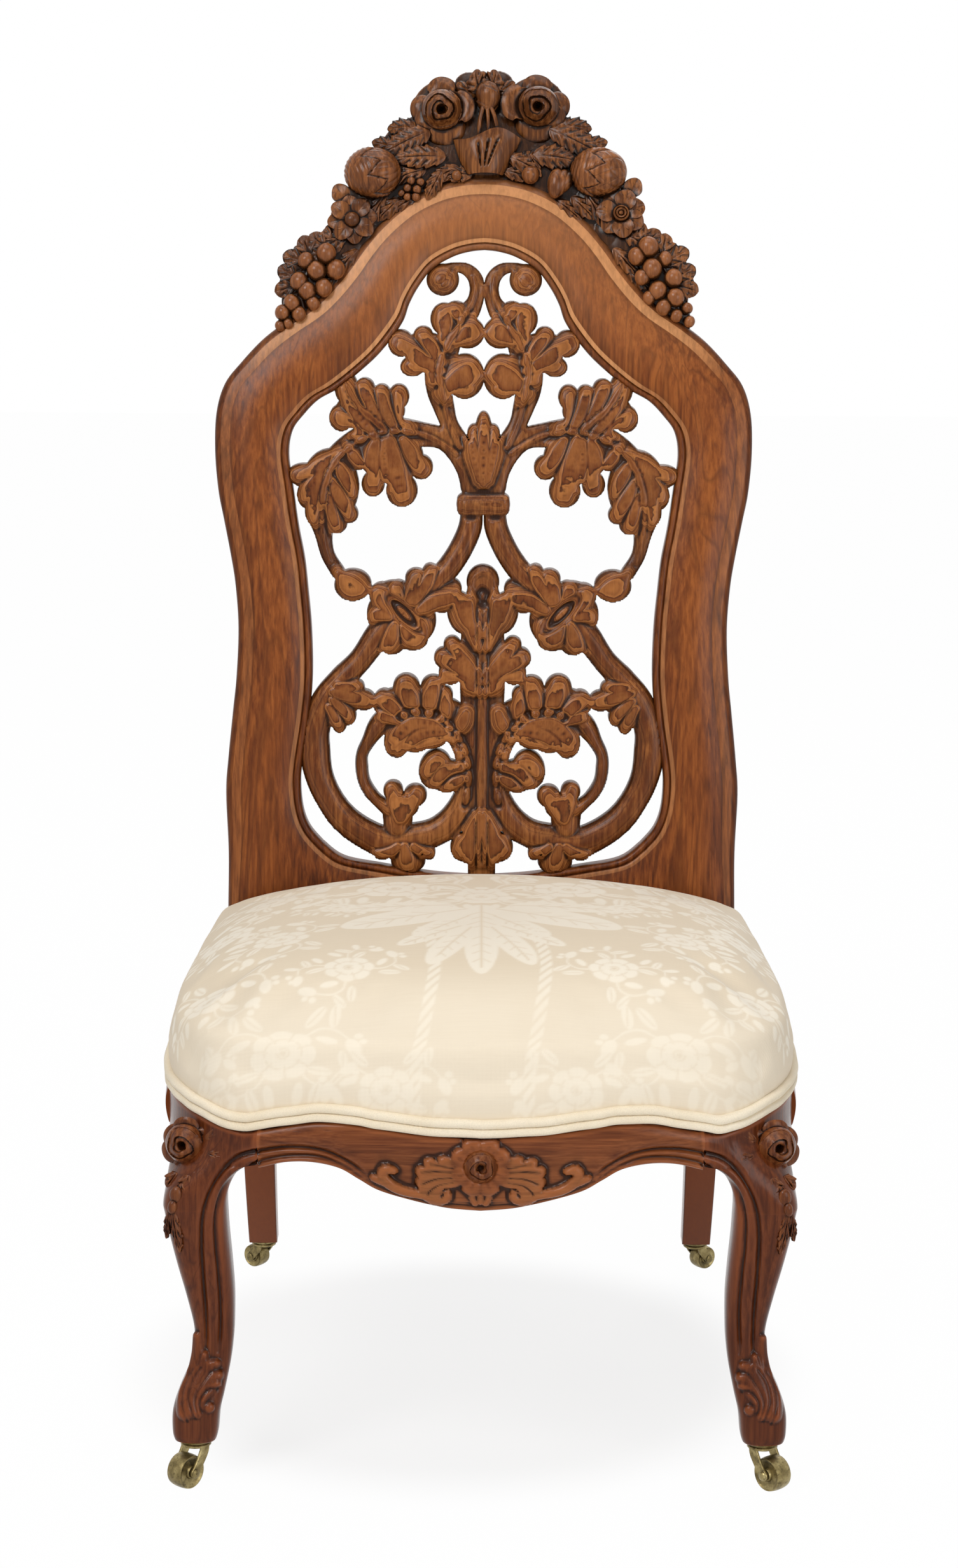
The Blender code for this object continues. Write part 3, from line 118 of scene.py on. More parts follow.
def meshArrays(mesh):
    points = np.empty(len(mesh.vertices) * 3, np.float32)
    mesh.vertices.foreach_get("co", points)
    normals = np.empty(len(mesh.vertices) * 3, np.float32)
    mesh.vertices.foreach_get("normal", normals)
    edges = np.empty(len(mesh.edges) * 2, np.int32)
    mesh.edges.foreach_get("vertices", edges)
    return points.reshape(-1, 3).astype(float), normals.reshape(-1, 3).astype(float), edges.reshape(-1, 2)


def markHollows(piece, rounds, full):
    # 1 in the bottom of a groove, -1 on a sharp ridge: how far the surface lies below its smoothed self
    points, normals, edges = meshArrays(piece.data)
    count = np.bincount(edges.ravel(), minlength=len(points))[:, None]
    soft = points.copy()
    for _ in range(rounds):
        total = np.zeros_like(soft)
        for axis in range(3):
            total[:, axis] = np.bincount(edges[:, 0], soft[edges[:, 1], axis], len(points))
            total[:, axis] += np.bincount(edges[:, 1], soft[edges[:, 0], axis], len(points))
        soft = (soft + total) / (1 + count)
    below = np.einsum("ij,ij->i", soft - points, normals) * 1000
    setMark(piece.data, "hollow", np.clip(below / full, -1, 1))


def markCrevices(pieces, reach=0.013, rays=8):
    # painted shade where neighbours crowd the surface: the share of short rays that meet something
    skin, faces, found = [], [], []
    for piece in pieces:
        start = sum(len(points) for points in skin)
        points, normals, _ = meshArrays(piece.data)
        skin.append(points)
        faces += [tuple(start + k for k in face.vertices) for face in piece.data.polygons]
        found.append((piece, points, normals))
    tree = BVHTree.FromPolygons(np.vstack(skin).tolist(), faces)
    for piece, points, normals in found:
        front = np.nonzero(normals[:, 1] < 0.3)[0]
        n = normals[front]
        side = np.cross(n, (0.31, 0.42, 0.85))
        side /= np.linalg.norm(side, axis=1)[:, None]
        other = np.cross(n, side)
        start = (points[front] + n * 0.0004).tolist()
        shut = np.zeros(len(front))
        for k in range(rays):
            turn, lift = k * 2.4, math.sqrt((k + 0.5) / rays) * 0.94
            way = n * math.sqrt(1 - lift * lift) + (side * math.cos(turn) + other * math.sin(turn)) * lift
            for i, (spot, ray) in enumerate(zip(start, way.tolist())):
                far = tree.ray_cast(spot, ray, reach)[3]
                if far is not None:
                    shut[i] += 1 - far / reach
        hollow = readHollow(piece)
        hollow[front] = np.clip(np.maximum(hollow[front], (shut / rays - 0.05) / 0.21), -1, 1)
        setMark(piece.data, "hollow", hollow)


def ringFaces(rings, closeEnds=True):
    # faces of a closed solid through rings of equal length, ends fanned from a middle point
    count = len(rings[0])
    points = [p for ring in rings for p in ring]
    faces = []
    for r in range(len(rings) - 1):
        for k in range(count):
            a, b = r * count + k, r * count + (k + 1) % count
            faces.append((a, b, b + count, a + count))
    if closeEnds:
        for start in (0, (len(rings) - 1) * count):
            middle = len(points)
            points.append(np.mean(points[start:start + count], axis=0))
            faces += [(middle, start + k, start + (k + 1) % count) for k in range(count)]
    return points, faces


def turnedShape(profile, sides):
    # closed solid turned about Z from (radius, height) rows; radius 0 makes a pole
    points, index, faces = [], [], []
    for radius, height in profile:
        if radius == 0:
            index.append([len(points)] * sides)
            points.append((0, 0, height))
        else:
            index.append([len(points) + k for k in range(sides)])
            turns = [2 * math.pi * k / sides for k in range(sides)]
            points += [(radius * math.cos(a), radius * math.sin(a), height) for a in turns]
    rows = len(profile) if profile[0][0] > 0 else len(profile) - 1
    for r in range(rows):
        low, high = index[r], index[(r + 1) % len(profile)]
        for k in range(sides):
            faces.append(tuple(dict.fromkeys((low[k], low[(k + 1) % sides], high[(k + 1) % sides], high[k]))))
    return points, faces


def turned(degrees, axis):
    return Matrix.Rotation(math.radians(degrees), 4, axis)


def ridge(x, middle, wide):
    # bell curve for ridges, grooves and moats
    return np.exp(-(((x - middle) / wide) ** 2))


# node helpers
def fill(tree, node, values):
    # a socket is linked, anything else is set
    for key, value in values.items():
        if isinstance(value, bpy.types.NodeSocket):
            tree.links.new(value, node.inputs[key])
        else:
            node.inputs[key].default_value = value


def add(tree, kind, values=None, **props):
    made = tree.nodes.new(kind)
    for key, value in props.items():
        setattr(made, key, value)
    fill(tree, made, values or {})
    return made


def opaque(colour):
    return colour if isinstance(colour, bpy.types.NodeSocket) else (*colour, 1)


def blendColour(tree, share, low, high):
    return add(tree, "ShaderNodeMix", {0: share, 6: opaque(low), 7: opaque(high)}, data_type="RGBA").outputs[2]


def sums(tree, kind, first, second=0.0):
    return add(tree, "ShaderNodeMath", {0: first, 1: second}, operation=kind).outputs[0]


def times(tree, first, second):
    return sums(tree, "MULTIPLY", first, second)


def weigh(tree, *pairs):
    # values added up, each by its weight
    total = times(tree, *pairs[0])
    for pair in pairs[1:]:
        total = sums(tree, "ADD", total, times(tree, *pair))
    return total


def spread(tree, value, low, high, start=0.0, end=1.0, **props):
    # low to high while the value runs from start to end
    return add(tree, "ShaderNodeMapRange", {"Value": value, "From Min": start, "From Max": end,
                                            "To Min": low, "To Max": high}, **props).outputs[0]


def noise(tree, place, scale, detail=2.0, rough=0.5, twist=0.0):
    return add(tree, "ShaderNodeTexNoise", {"Vector": place, "Scale": scale, "Detail": detail,
                                            "Roughness": rough, "Distortion": twist}).outputs["Fac"]


def moved(tree, place, scale, shift=(0, 0, 0)):
    return add(tree, "ShaderNodeMapping", {"Vector": place, "Location": shift, "Scale": scale}).outputs[0]


def raised(tree, height, strength, depth):
    return add(tree, "ShaderNodeBump", {"Strength": strength, "Distance": depth, "Height": height}).outputs[0]


def ramp(tree, value, stops):
    made = add(tree, "ShaderNodeValToRGB", {0: value})
    steps = made.color_ramp.elements
    while len(steps) < len(stops):
        steps.new(0.5)
    for step, (place, colour) in zip(steps, stops):
        step.position = place
        step.color = opaque(colour)
    return made.outputs[0]


def fadeIn(tree, value, start, end, full):
    return ramp(tree, value, [(start, (0, 0, 0)), (end, (full, full, full))])


def newMaterial(name, place="Object"):
    material = bpy.data.materials.new(name)
    material.use_nodes = True
    tree = material.node_tree
    return material, tree, tree.nodes["Principled BSDF"], add(tree, "ShaderNodeTexCoord").outputs[place]


def readMark(tree, name):
    return add(tree, "ShaderNodeAttribute", attribute_name=name).outputs["Fac"]


# camera, light and floor
view = {
    "height": 1.03, "back": 2.5, "across": -0.0025, "tilt": 11.05, "roll": 0.27,
    "focalPixels": 5480.0, "imageHeight": 2464.0, "sensor": 36.0,
}


def setCamera():
    lens = bpy.data.cameras.new("photoCamera")
    lens.sensor_fit = "VERTICAL"
    lens.sensor_height = view["sensor"]
    lens.sensor_width = view["sensor"]
    lens.lens = view["focalPixels"] / view["imageHeight"] * view["sensor"]
    lens.clip_end = 50
    camera = bpy.data.objects.new("photoCamera", lens)
    bpy.context.scene.collection.objects.link(camera)
    turn = turned(90 - view["tilt"], "X") @ turned(view["roll"], "Z")
    spot = Vector((view["across"], frontLine - view["back"], view["height"]))
    camera.matrix_world = Matrix.Translation(spot) @ turn
    bpy.context.scene.camera = camera


studio = {
    "sky": 0.18,
    "lamps": {  # place, aim, size, watts
        "key": ((-1.5, -2.4, 3.0), (0, 0, 0.55), 1.5, 70),
        "fill": ((2.1, -2.7, 1.3), (0, 0, 0.4), 1.8, 33),
        "back": ((0.6, 2.4, 2.6), (0, 0, 0.7), 2.0, 20),
        "top": ((0, -0.2, 3.2), (0, 0, 0), 1.8, 27),
    },
    "floor": (0.93, 0.93, 0.93), "floorRough": 0.6, "floorHalf": 9,
    # soft shade: its middle behind the front casters, half width, where it fades, how far the floor is lit out
    "shadeMiddle": (-0.02, 0.25), "shadeHalf": 0.30, "shadeFade": (0.70, 1.02), "floorGlow": (0.80, 0.985),
}


def seenRays(tree):
    # 1 for what the camera sees straight, through a clear piece or in a gloss
    ray = add(tree, "ShaderNodeLightPath").outputs
    seen = sums(tree, "MAXIMUM", ray["Is Camera Ray"], ray["Is Transmission Ray"])
    return sums(tree, "MAXIMUM", seen, ray["Is Glossy Ray"])


def setStudio():
    scene = bpy.context.scene
    scene.view_settings.view_transform = "Standard"
    scene.world = bpy.data.worlds.new("studio")
    scene.world.use_nodes = True
    tree = scene.world.node_tree
    strength = spread(tree, seenRays(tree), studio["sky"], 1.0)
    fill(tree, tree.nodes["Background"], {"Color": (1, 1, 1, 1), "Strength": strength})
    for name, (place, aim, size, watts) in studio["lamps"].items():
        lamp = bpy.data.lights.new(name, "AREA")
        lamp.energy = watts
        lamp.size = size
        holder = bpy.data.objects.new(name, lamp)
        scene.collection.objects.link(holder)
        holder.location = place
        holder.rotation_euler = (Vector(aim) - Vector(place)).to_track_quat("-Z", "Y").to_euler()
    material, tree, shader, spot = newMaterial("studioFloor")
    fill(tree, shader, {"Base Color": opaque(studio["floor"]), "Roughness": studio["floorRough"]})
    half, (across, behind) = studio["shadeHalf"], studio["shadeMiddle"]
    spot = moved(tree, spot, (1 / half, 1 / half, 1 / half), (-across / half, -(behind + frontLine) / half, 0))
    away = add(tree, "ShaderNodeVectorMath", {0: spot}, operation="LENGTH").outputs["Value"]
    far = spread(tree, away, 0.0, 1.0, *studio["shadeFade"], interpolation_type="SMOOTHSTEP")
    lit = times(tree, spread(tree, far, *studio["floorGlow"]), seenRays(tree))
    glow = add(tree, "ShaderNodeEmission", {"Color": (1, 1, 1, 1), "Strength": 1.0})
    both = add(tree, "ShaderNodeMixShader", {0: lit, 1: shader.outputs[0], 2: glow.outputs[0]})
    fill(tree, tree.nodes["Material Output"], {"Surface": both.outputs[0]})
    wide = studio["floorHalf"]
    mesh = bpy.data.meshes.new("studioFloor")
    mesh.from_pydata([(-wide, -wide, 0), (wide, -wide, 0), (wide, wide, 0), (-wide, wide, 0)], [], [(0, 1, 2, 3)])
    mesh.materials.append(material)
    floor = bpy.data.objects.new("studioFloor", mesh)
    scene.collection.objects.link(floor)


setCamera()
setStudio()
print("camera and studio set")

# finishes
# dark streak, middle, light streak; gloss and roughness; how much fine lines, plies, wear with painted highlight, and
# painted shade in hollows show; pale band
lookParts = ("dark", "mid", "light", "shine", "rough", "lines", "ply", "worn", "hollow", "inlay")
woodLooks = {
    "surround": ((0.058, 0.0130, 0.0030), (0.176, 0.0450, 0.0098), (0.300, 0.090, 0.0200),
                 0.14, 0.28, 0.5, 0.0, 0.35, 0.6, (0.62, 0.285, 0.115)),
    "carving": ((0.0300, 0.0072, 0.0024), (0.150, 0.0395, 0.0094), (0.440, 0.166, 0.0450),
                0.13, 0.24, 0.3, 0.8, 0.5, 0.96, None),
    "crest": ((0.052, 0.0155, 0.0041), (0.103, 0.0323, 0.0087), (0.285, 0.1020, 0.0290),
              0.15, 0.19, 0.15, 0.0, 0.9, 0.98, None),
    "fruit": ((0.060, 0.0180, 0.0050), (0.158, 0.0500, 0.0140), (0.310, 0.1100, 0.0330),
              0.17, 0.18, 0.6, 0.0, 0.6, 0.98, None),
    "grapes": ((0.125, 0.039, 0.0115), (0.225, 0.074, 0.0220), (0.340, 0.122, 0.0390),
               0.2, 0.18, 0.2, 0.0, 0.5, 0.9, None),
    "leg": ((0.052, 0.0112, 0.0030), (0.098, 0.0225, 0.0060), (0.155, 0.0400, 0.0110),
            0.15, 0.17, 0.6, 0.0, 0.85, 0.85, None),
    "knee": ((0.029, 0.00725, 0.0029), (0.102, 0.0261, 0.00725), (0.217, 0.0696, 0.0203),
             0.15, 0.2, 0.2, 0.0, 0.5, 0.95, None),
    "rail": ((0.066, 0.0160, 0.0045), (0.150, 0.0405, 0.0118), (0.250, 0.0760, 0.0235),
             0.14, 0.19, 0.3, 0.0, 0.5, 0.9, (0.36, 0.135, 0.044)),
    "beech": ((0.30, 0.17, 0.08), (0.44, 0.27, 0.14), (0.55, 0.36, 0.20),
              0.2, 0.55, 0.1, 0.0, 0.1, 0.0, None),
}
woodLooks = {name: dict(zip(lookParts, row)) for name, row in woodLooks.items()}
# stretch of each pattern along and across the grain, then its detail, roughness and twist
grain = {
    "figure": (2.0, 12.0, 4.0, 0.55, 0.6), "streak": (3.0, 340.0, 5.0, 0.58, 0.25), "pores": (16.0, 520.0, 3.0, 0.7),
    "lines": (0.7, 26.0, 2.0, 0.5, 1.2), "fine": (30.0, 260.0, 4.0), "plyThickness": 0.95,
}


def makeWood(name, kind, direction="Z", fade=None):
    material, tree, shader, spot = newMaterial(name)
    look = woodLooks[kind]
    dark, mid, light = look["dark"], look["mid"], look["light"]

    def grained(pattern):
        along, across, *rest = grain[pattern]
        scale = [across] * 3
        scale["XYZ".index(direction)] = along
        return noise(tree, moved(tree, spot, scale), 1.0, *rest)

    streak = grained("streak")
    tone = weigh(tree, (grained("figure"), 0.42), (streak, 0.58))
    colour = ramp(tree, tone, [(0.34, dark), (0.48, mid), (0.62, light)])
    lines = sums(tree, "FRACT", times(tree, grained("lines"), 9.0))
    lines = sums(tree, "ABSOLUTE", sums(tree, "SUBTRACT", lines, 0.5))
    colour = blendColour(tree, ramp(tree, lines, [(0.0, [look["lines"]] * 3), (0.20, (0, 0, 0))]), colour, dark)
    pores = fadeIn(tree, grained("pores"), 0.30, 0.42, 1.0)
    colour = blendColour(tree, sums(tree, "SUBTRACT", 0.42, times(tree, pores, 0.42)), colour, dark)
    if look["inlay"]:
        pale = ramp(tree, streak, [(0.3, [c * 0.62 for c in look["inlay"]]), (0.62, look["inlay"])])
        colour = blendColour(tree, readMark(tree, "inlay"), colour, pale)
    if look["ply"]:
        # the layers of the board come to light as level lines on the carving
        level, plies = readMark(tree, "level"), readMark(tree, "plies")
        wander = times(tree, noise(tree, spot, 38.0, 3.0, 0.5, 0.5), 1.6)
        layer = sums(tree, "ADD", sums(tree, "DIVIDE", level, grain["plyThickness"]), wander)
        layer = sums(tree, "FRACT", times(tree, layer, 0.5))
        layer = sums(tree, "ADD", layer, times(tree, sums(tree, "SUBTRACT", grained("fine"), 0.5), 0.22))
        amber = [(c + d) / 2 for c, d in zip(light, mid)]
        stops = [(0.0, mid), (0.05, dark), (0.10, light), (0.26, amber), (0.46, light), (0.51, dark), (0.57, mid),
                 (0.75, amber), (0.95, mid)]
        colour = blendColour(tree, times(tree, plies, look["ply"]), colour, ramp(tree, layer, stops))
        stain = fadeIn(tree, noise(tree, spot, 24.0, 5.0, 0.6), 0.52, 0.72, 0.4)
        # random stain and bare stems darken the wood; the low sides of the carving get painted shade
        for share in (stain, spread(tree, plies, 0.12, 0.0, 0.3), spread(tree, level, 0.72, 0.0, 0.5, 6.0)):
            colour = blendColour(tree, share, colour, dark)
    if fade:
        # painted light: the upper part is lighter, as where it faces the light from above; low and high edge of the
        # change, share, colour
        height = add(tree, "ShaderNodeSeparateXYZ", {"Vector": spot}).outputs["Z"]
        colour = blendColour(tree, spread(tree, height, 0.0, fade[2], fade[0], fade[1]), colour, fade[3])
    # painted shade with old dirt: the hollow mark darkens grooves and crevices towards near black
    hollow = readMark(tree, "hollow")
    colour = blendColour(tree, fadeIn(tree, hollow, 0.08, 0.75, look["hollow"]), colour, [c * 0.13 for c in mid])
    # painted highlight with wear: ridges and rubbed tops are lightened beyond the light streak
    worn = fadeIn(tree, times(tree, hollow, -1.0), 0.12, 0.9, look["worn"])
    colour = blendColour(tree, worn, colour, [min(1, c * 1.45) for c in light])
    bump = raised(tree, weigh(tree, (streak, 0.35), (pores, 0.5)), 0.22, 0.0006)
    rough = spread(tree, streak, look["rough"] - 0.05, look["rough"] + 0.12)
    fill(tree, shader, {"Base Color": colour, "Roughness": rough, "Specular IOR Level": look["shine"],
                        "Coat Weight": 0.05, "Coat Roughness": 0.20, "Normal": bump})
    return material


# the surround's arch gets the painted light of the upper part
surroundWood = makeWood("surroundRosewood", "surround", "Z", (0.80, 0.95, 0.40, (0.50, 0.215, 0.088)))
carvedWood = makeWood("carvedRosewood", "carving")
crestWood = makeWood("crestRosewood", "crest")
grapeWood = makeWood("grapeRosewood", "grapes")
fruitWood = makeWood("fruitRosewood", "fruit")
legWood = makeWood("legRosewood", "leg")
railWood = makeWood("railRosewood", "rail", "X")
print("woods mixed")

# back: the drawing in millimetres, u from the middle, v above the floor
back = {"face": 0.4135, "lean": 0.050, "bend": 0.085, "foot": 0.300, "arch": 0.967, "share": 0.12}


def backFace(z):
    t = (np.asarray(z) - back["foot"]) / (back["arch"] - back["foot"]) - back["share"]
    return back["face"] + back["lean"] * t + back["bend"] * np.maximum(t, 0) ** 2


surroundPairs = [
    ((0, 300), (0, 379)), ((60, 300), (40, 381.5)), ((130, 300), (85, 388.5)), ((190, 300), (118, 395)),
    ((218, 300), (136, 408)), ((217.5, 350), (147, 421)), ((217, 400), (153, 437)), ((219, 450), (155, 459)),
    ((217, 480), (153.5, 478)), ((213, 520), (148, 515)), ((210, 550), (145, 550)), ((208.5, 590), (146, 590)),
    ((211, 625), (149, 622)), ((215, 650), (152, 648)), ((221, 680), (157.5, 676)), ((226, 705), (162, 706)),
    ((229, 738), (166, 735)), ((228, 770), (163, 755)), ((221, 794), (153, 769)), ((207, 812), (141, 781)),
    ((190, 830), (125, 790)), ((172, 844), (109, 802)), ((150, 859), (92, 817)), ((134, 874), (80, 831)),
    ((118, 893), (69, 847)), ((104, 912), (64, 861)), ((88, 930), (56.5, 875)), ((66, 948), (44.5, 890.5)),
    ((42, 960), (27, 900.8)), ((20, 965.5), (12, 905.2)), ((0, 967), (0, 906.5)),
]
moulding = {
    "steps": 6, "sidePale": (0.12, 0.38),  # outer and inner band down the sides
    # millimetres from the outer edge, depth behind the crown, share of pale wood
    "outer": [(0, 8.6, 0), (0.5, 7.0, 0), (1.4, 5.6, 0), (2.8, 4.5, 0), (4.2, 3.7, 0), (5.0, 3.4, 0), (5.4, 3.3, 1),
              (9.0, 2.5, 1), (13.0, 2.05, 1), (13.5, 2.0, 0)],
    "body": 16, "crown": 3.2,
    # millimetres from the inner edge
    "inner": [(11.2, 2.3, 0), (10.6, 2.5, 0), (10.2, 2.6, 1), (8.6, 2.9, 1), (7.0, 3.3, 1), (6.6, 4.1, 0),
              (6.0, 4.5, 0), (5.2, 3.5, 0), (4.0, 2.8, 0), (2.6, 3.0, 0), (1.4, 3.9, 0), (0.5, 5.4, 0), (0, 7.0, 0)],
    "rear": [(0, 17.5), (0.012, 19.4), (0.04, 20), (0.5, 20), (0.96, 20), (0.988, 19.4), (1, 17.5)],
}


def makeSurround():
    rows = smoothCurve([(*outer, *inner) for outer, inner in surroundPairs[4:]], moulding["steps"])
    foot = smoothCurve([(*outer, *inner) for outer, inner in surroundPairs[:5]], moulding["steps"])[:-1]
    half = np.vstack([foot, rows])
    half = np.vstack([half, half[-2:0:-1] * (-1, 1, -1, 1)])
    rings, pale, paintedShadeAndLight = [], [], []
    for row in half:
        outer, inner = row[:2], row[2:]
        wide = np.linalg.norm(inner - outer)
        outerPale, innerPale = np.clip((outer[1] - 800) / 50, moulding["sidePale"], 1)
        section = [(d / wide, depth, mark * outerPale) for d, depth, mark in moulding["outer"]]
        first, last = moulding["outer"][-1], moulding["inner"][0]
        for k in range(1, moulding["body"]):
            t = k / moulding["body"]
            share = (first[0] + (wide - last[0] - first[0]) * t) / wide
            section.append((share, first[1] + (last[1] - first[1]) * t - moulding["crown"] * 4 * t * (1 - t), 0))
        section += [(1 - d / wide, depth, mark * innerPale) for d, depth, mark in moulding["inner"]]
        section += [(1 - share, depth, 0) for share, depth in moulding["rear"]]
        ring = []
        for share, depth, mark in section:
            u, v = outer + (inner - outer) * share
            ring.append((u / 1000, backFace(v / 1000) + depth / 1000, v / 1000))
        pale += [mark for _, _, mark in section]
        # painted shade on the rounded edges and a painted highlight along the crown
        start, end = len(moulding["outer"]), len(section) - len(moulding["rear"])
        for k, (_, depth, mark) in enumerate(section):
            t = np.clip((k - start + 1) / moulding["body"], 0, 1)
            edge = 0.1 if mark else min(0.65, max(0.3, depth / 9))
            paintedShadeAndLight.append(0 if k >= end else edge if t in (0, 1) else 0.3 - 0.66 * 4 * t * (1 - t))
        rings.append(ring)
    points, faces = ringFaces(rings + rings[:1], False)
    faces = [tuple(k % len(paintedShadeAndLight) for k in face) for face in faces]
    piece = newPiece("backSurround", points[:len(paintedShadeAndLight)], faces, surroundWood, slot="rosewood",
                     stands=["back_surround"], sharp=50)
    setMark(piece.data, "inlay", pale)
    markHollows(piece, 3, 0.5)
    setMark(piece.data, "hollow", np.clip(np.maximum(readHollow(piece), 0) + paintedShadeAndLight, -1, 1))


makeSurround()
print("surround made")


# carving: stems, lobes and fingers are painted on a sheet as outline and height
def newSheet(u0, u1, v0, v1, step):
    us = np.arange(round(u0 / step), round(u1 / step) + 1) * step
    vs = np.arange(round(v0 / step), round(v1 / step) + 1) * step
    shape = (len(vs), len(us))
    return {"us": us, "vs": vs, "step": step, "field": np.full(shape, -99.0), "height": np.zeros(shape)}


def window(sheet, u0, u1, v0, v1):
    us, vs = sheet["us"], sheet["vs"]
    i0, i1 = np.searchsorted(vs, (v0, v1))
    j0, j1 = np.searchsorted(us, (u0, u1))
    rows, cols = slice(max(i0 - 1, 0), i1 + 1), slice(max(j0 - 1, 0), j1 + 1)
    grid = np.meshgrid(us[cols], vs[rows])
    return (rows, cols), grid[0], grid[1]


def dome(t):
    t = np.clip(t, 0, 1)
    return np.sqrt(1 - (1 - t) ** 2)


def pillow(t):
    t = np.clip(t, 0, 1)
    return 1 - (1 - t) ** 2.2


def eachSegment(sheet, path, margin):
    for a, b in zip(path[:-1], path[1:]):
        reach = margin + max(a[2], b[2]) / 2 if len(a) > 2 else margin
        (u0, u1), (v0, v1) = sorted((a[0], b[0])), sorted((a[1], b[1]))
        place, u, v = window(sheet, u0 - reach, u1 + reach, v0 - reach, v1 + reach)
        if u.size == 0:
            continue
        du, dv = b[0] - a[0], b[1] - a[1]
        t = np.clip(((u - a[0]) * du + (v - a[1]) * dv) / max(du * du + dv * dv, 1e-9), 0, 1)
        yield place, t, np.hypot(u - a[0] - t * du, v - a[1] - t * dv), a, b


def paintStem(sheet, rows, rise, base=0.0, outline=True, steps=5, shape=dome, flute=0.0):
    path = smoothCurve(rows, steps) if len(rows) > 2 else np.array(rows, float)
    for place, t, away, a, b in eachSegment(sheet, path, 4):
        half = (a[2] + t * (b[2] - a[2])) / 2
        if outline:
            sheet["field"][place] = np.maximum(sheet["field"][place], half - away)
        wave = flute * np.cos(3 * math.pi * away / half) * np.clip(half / 8, 0, 1)
        up = np.where(away < half, base + rise * shape(1 - away / half) - wave, 0)
        sheet["height"][place] = np.maximum(sheet["height"][place], up)


def paintLobe(sheet, u0, v0, long, wide, degrees, rise, base=0.0, outline=True, shape=dome):
    reach = max(long, wide) + 4
    place, u, v = window(sheet, u0 - reach, u0 + reach, v0 - reach, v0 + reach)
    c, s = math.cos(math.radians(degrees)), math.sin(math.radians(degrees))
    p, q = ((u - u0) * c + (v - v0) * s) / long, (-(u - u0) * s + (v - v0) * c) / wide
    k = np.hypot(p, q)
    inside = np.where(k > 1e-3, k * (1 - k) / np.maximum(np.hypot(p / long, q / wide), 1e-6), min(long, wide))
    if outline:
        sheet["field"][place] = np.maximum(sheet["field"][place], inside)
    sheet["height"][place] = np.maximum(sheet["height"][place], np.where(k < 1, base + rise * shape(1 - k), 0))


def distanceTo(sheet, path, margin):
    near = np.full(sheet["field"].shape, 99.0)
    for place, _, away, _, _ in eachSegment(sheet, path, margin):
        near[place] = np.minimum(near[place], away)
    return near


def scoreLine(sheet, rows, depth, width, steps=5):
    near = distanceTo(sheet, smoothCurve(rows, steps), width * 3)
    sheet["height"] -= depth * ridge(near, 0, width)


def raiseRib(sheet, rows, high=1.2, wide=1.4, side=0.55):
    # a thin rib with a groove on either side
    near = distanceTo(sheet, smoothCurve(rows, 5), 9)
    sheet["height"] += high * ridge(near, 0, wide) - side * ridge(near, 2.4 * wide, 0.9 * wide)


def mirrorSheet(sheet):
    # the painted half has u from 0 up; the other half is its mirror image
    flip = {"us": np.concatenate([-sheet["us"][:0:-1], sheet["us"]]), "vs": sheet["vs"], "step": sheet["step"]}
    for key, grid in sheet.items():
        if np.ndim(grid) == 2:
            flip[key] = np.hstack([grid[:, :0:-1], grid])
    return flip


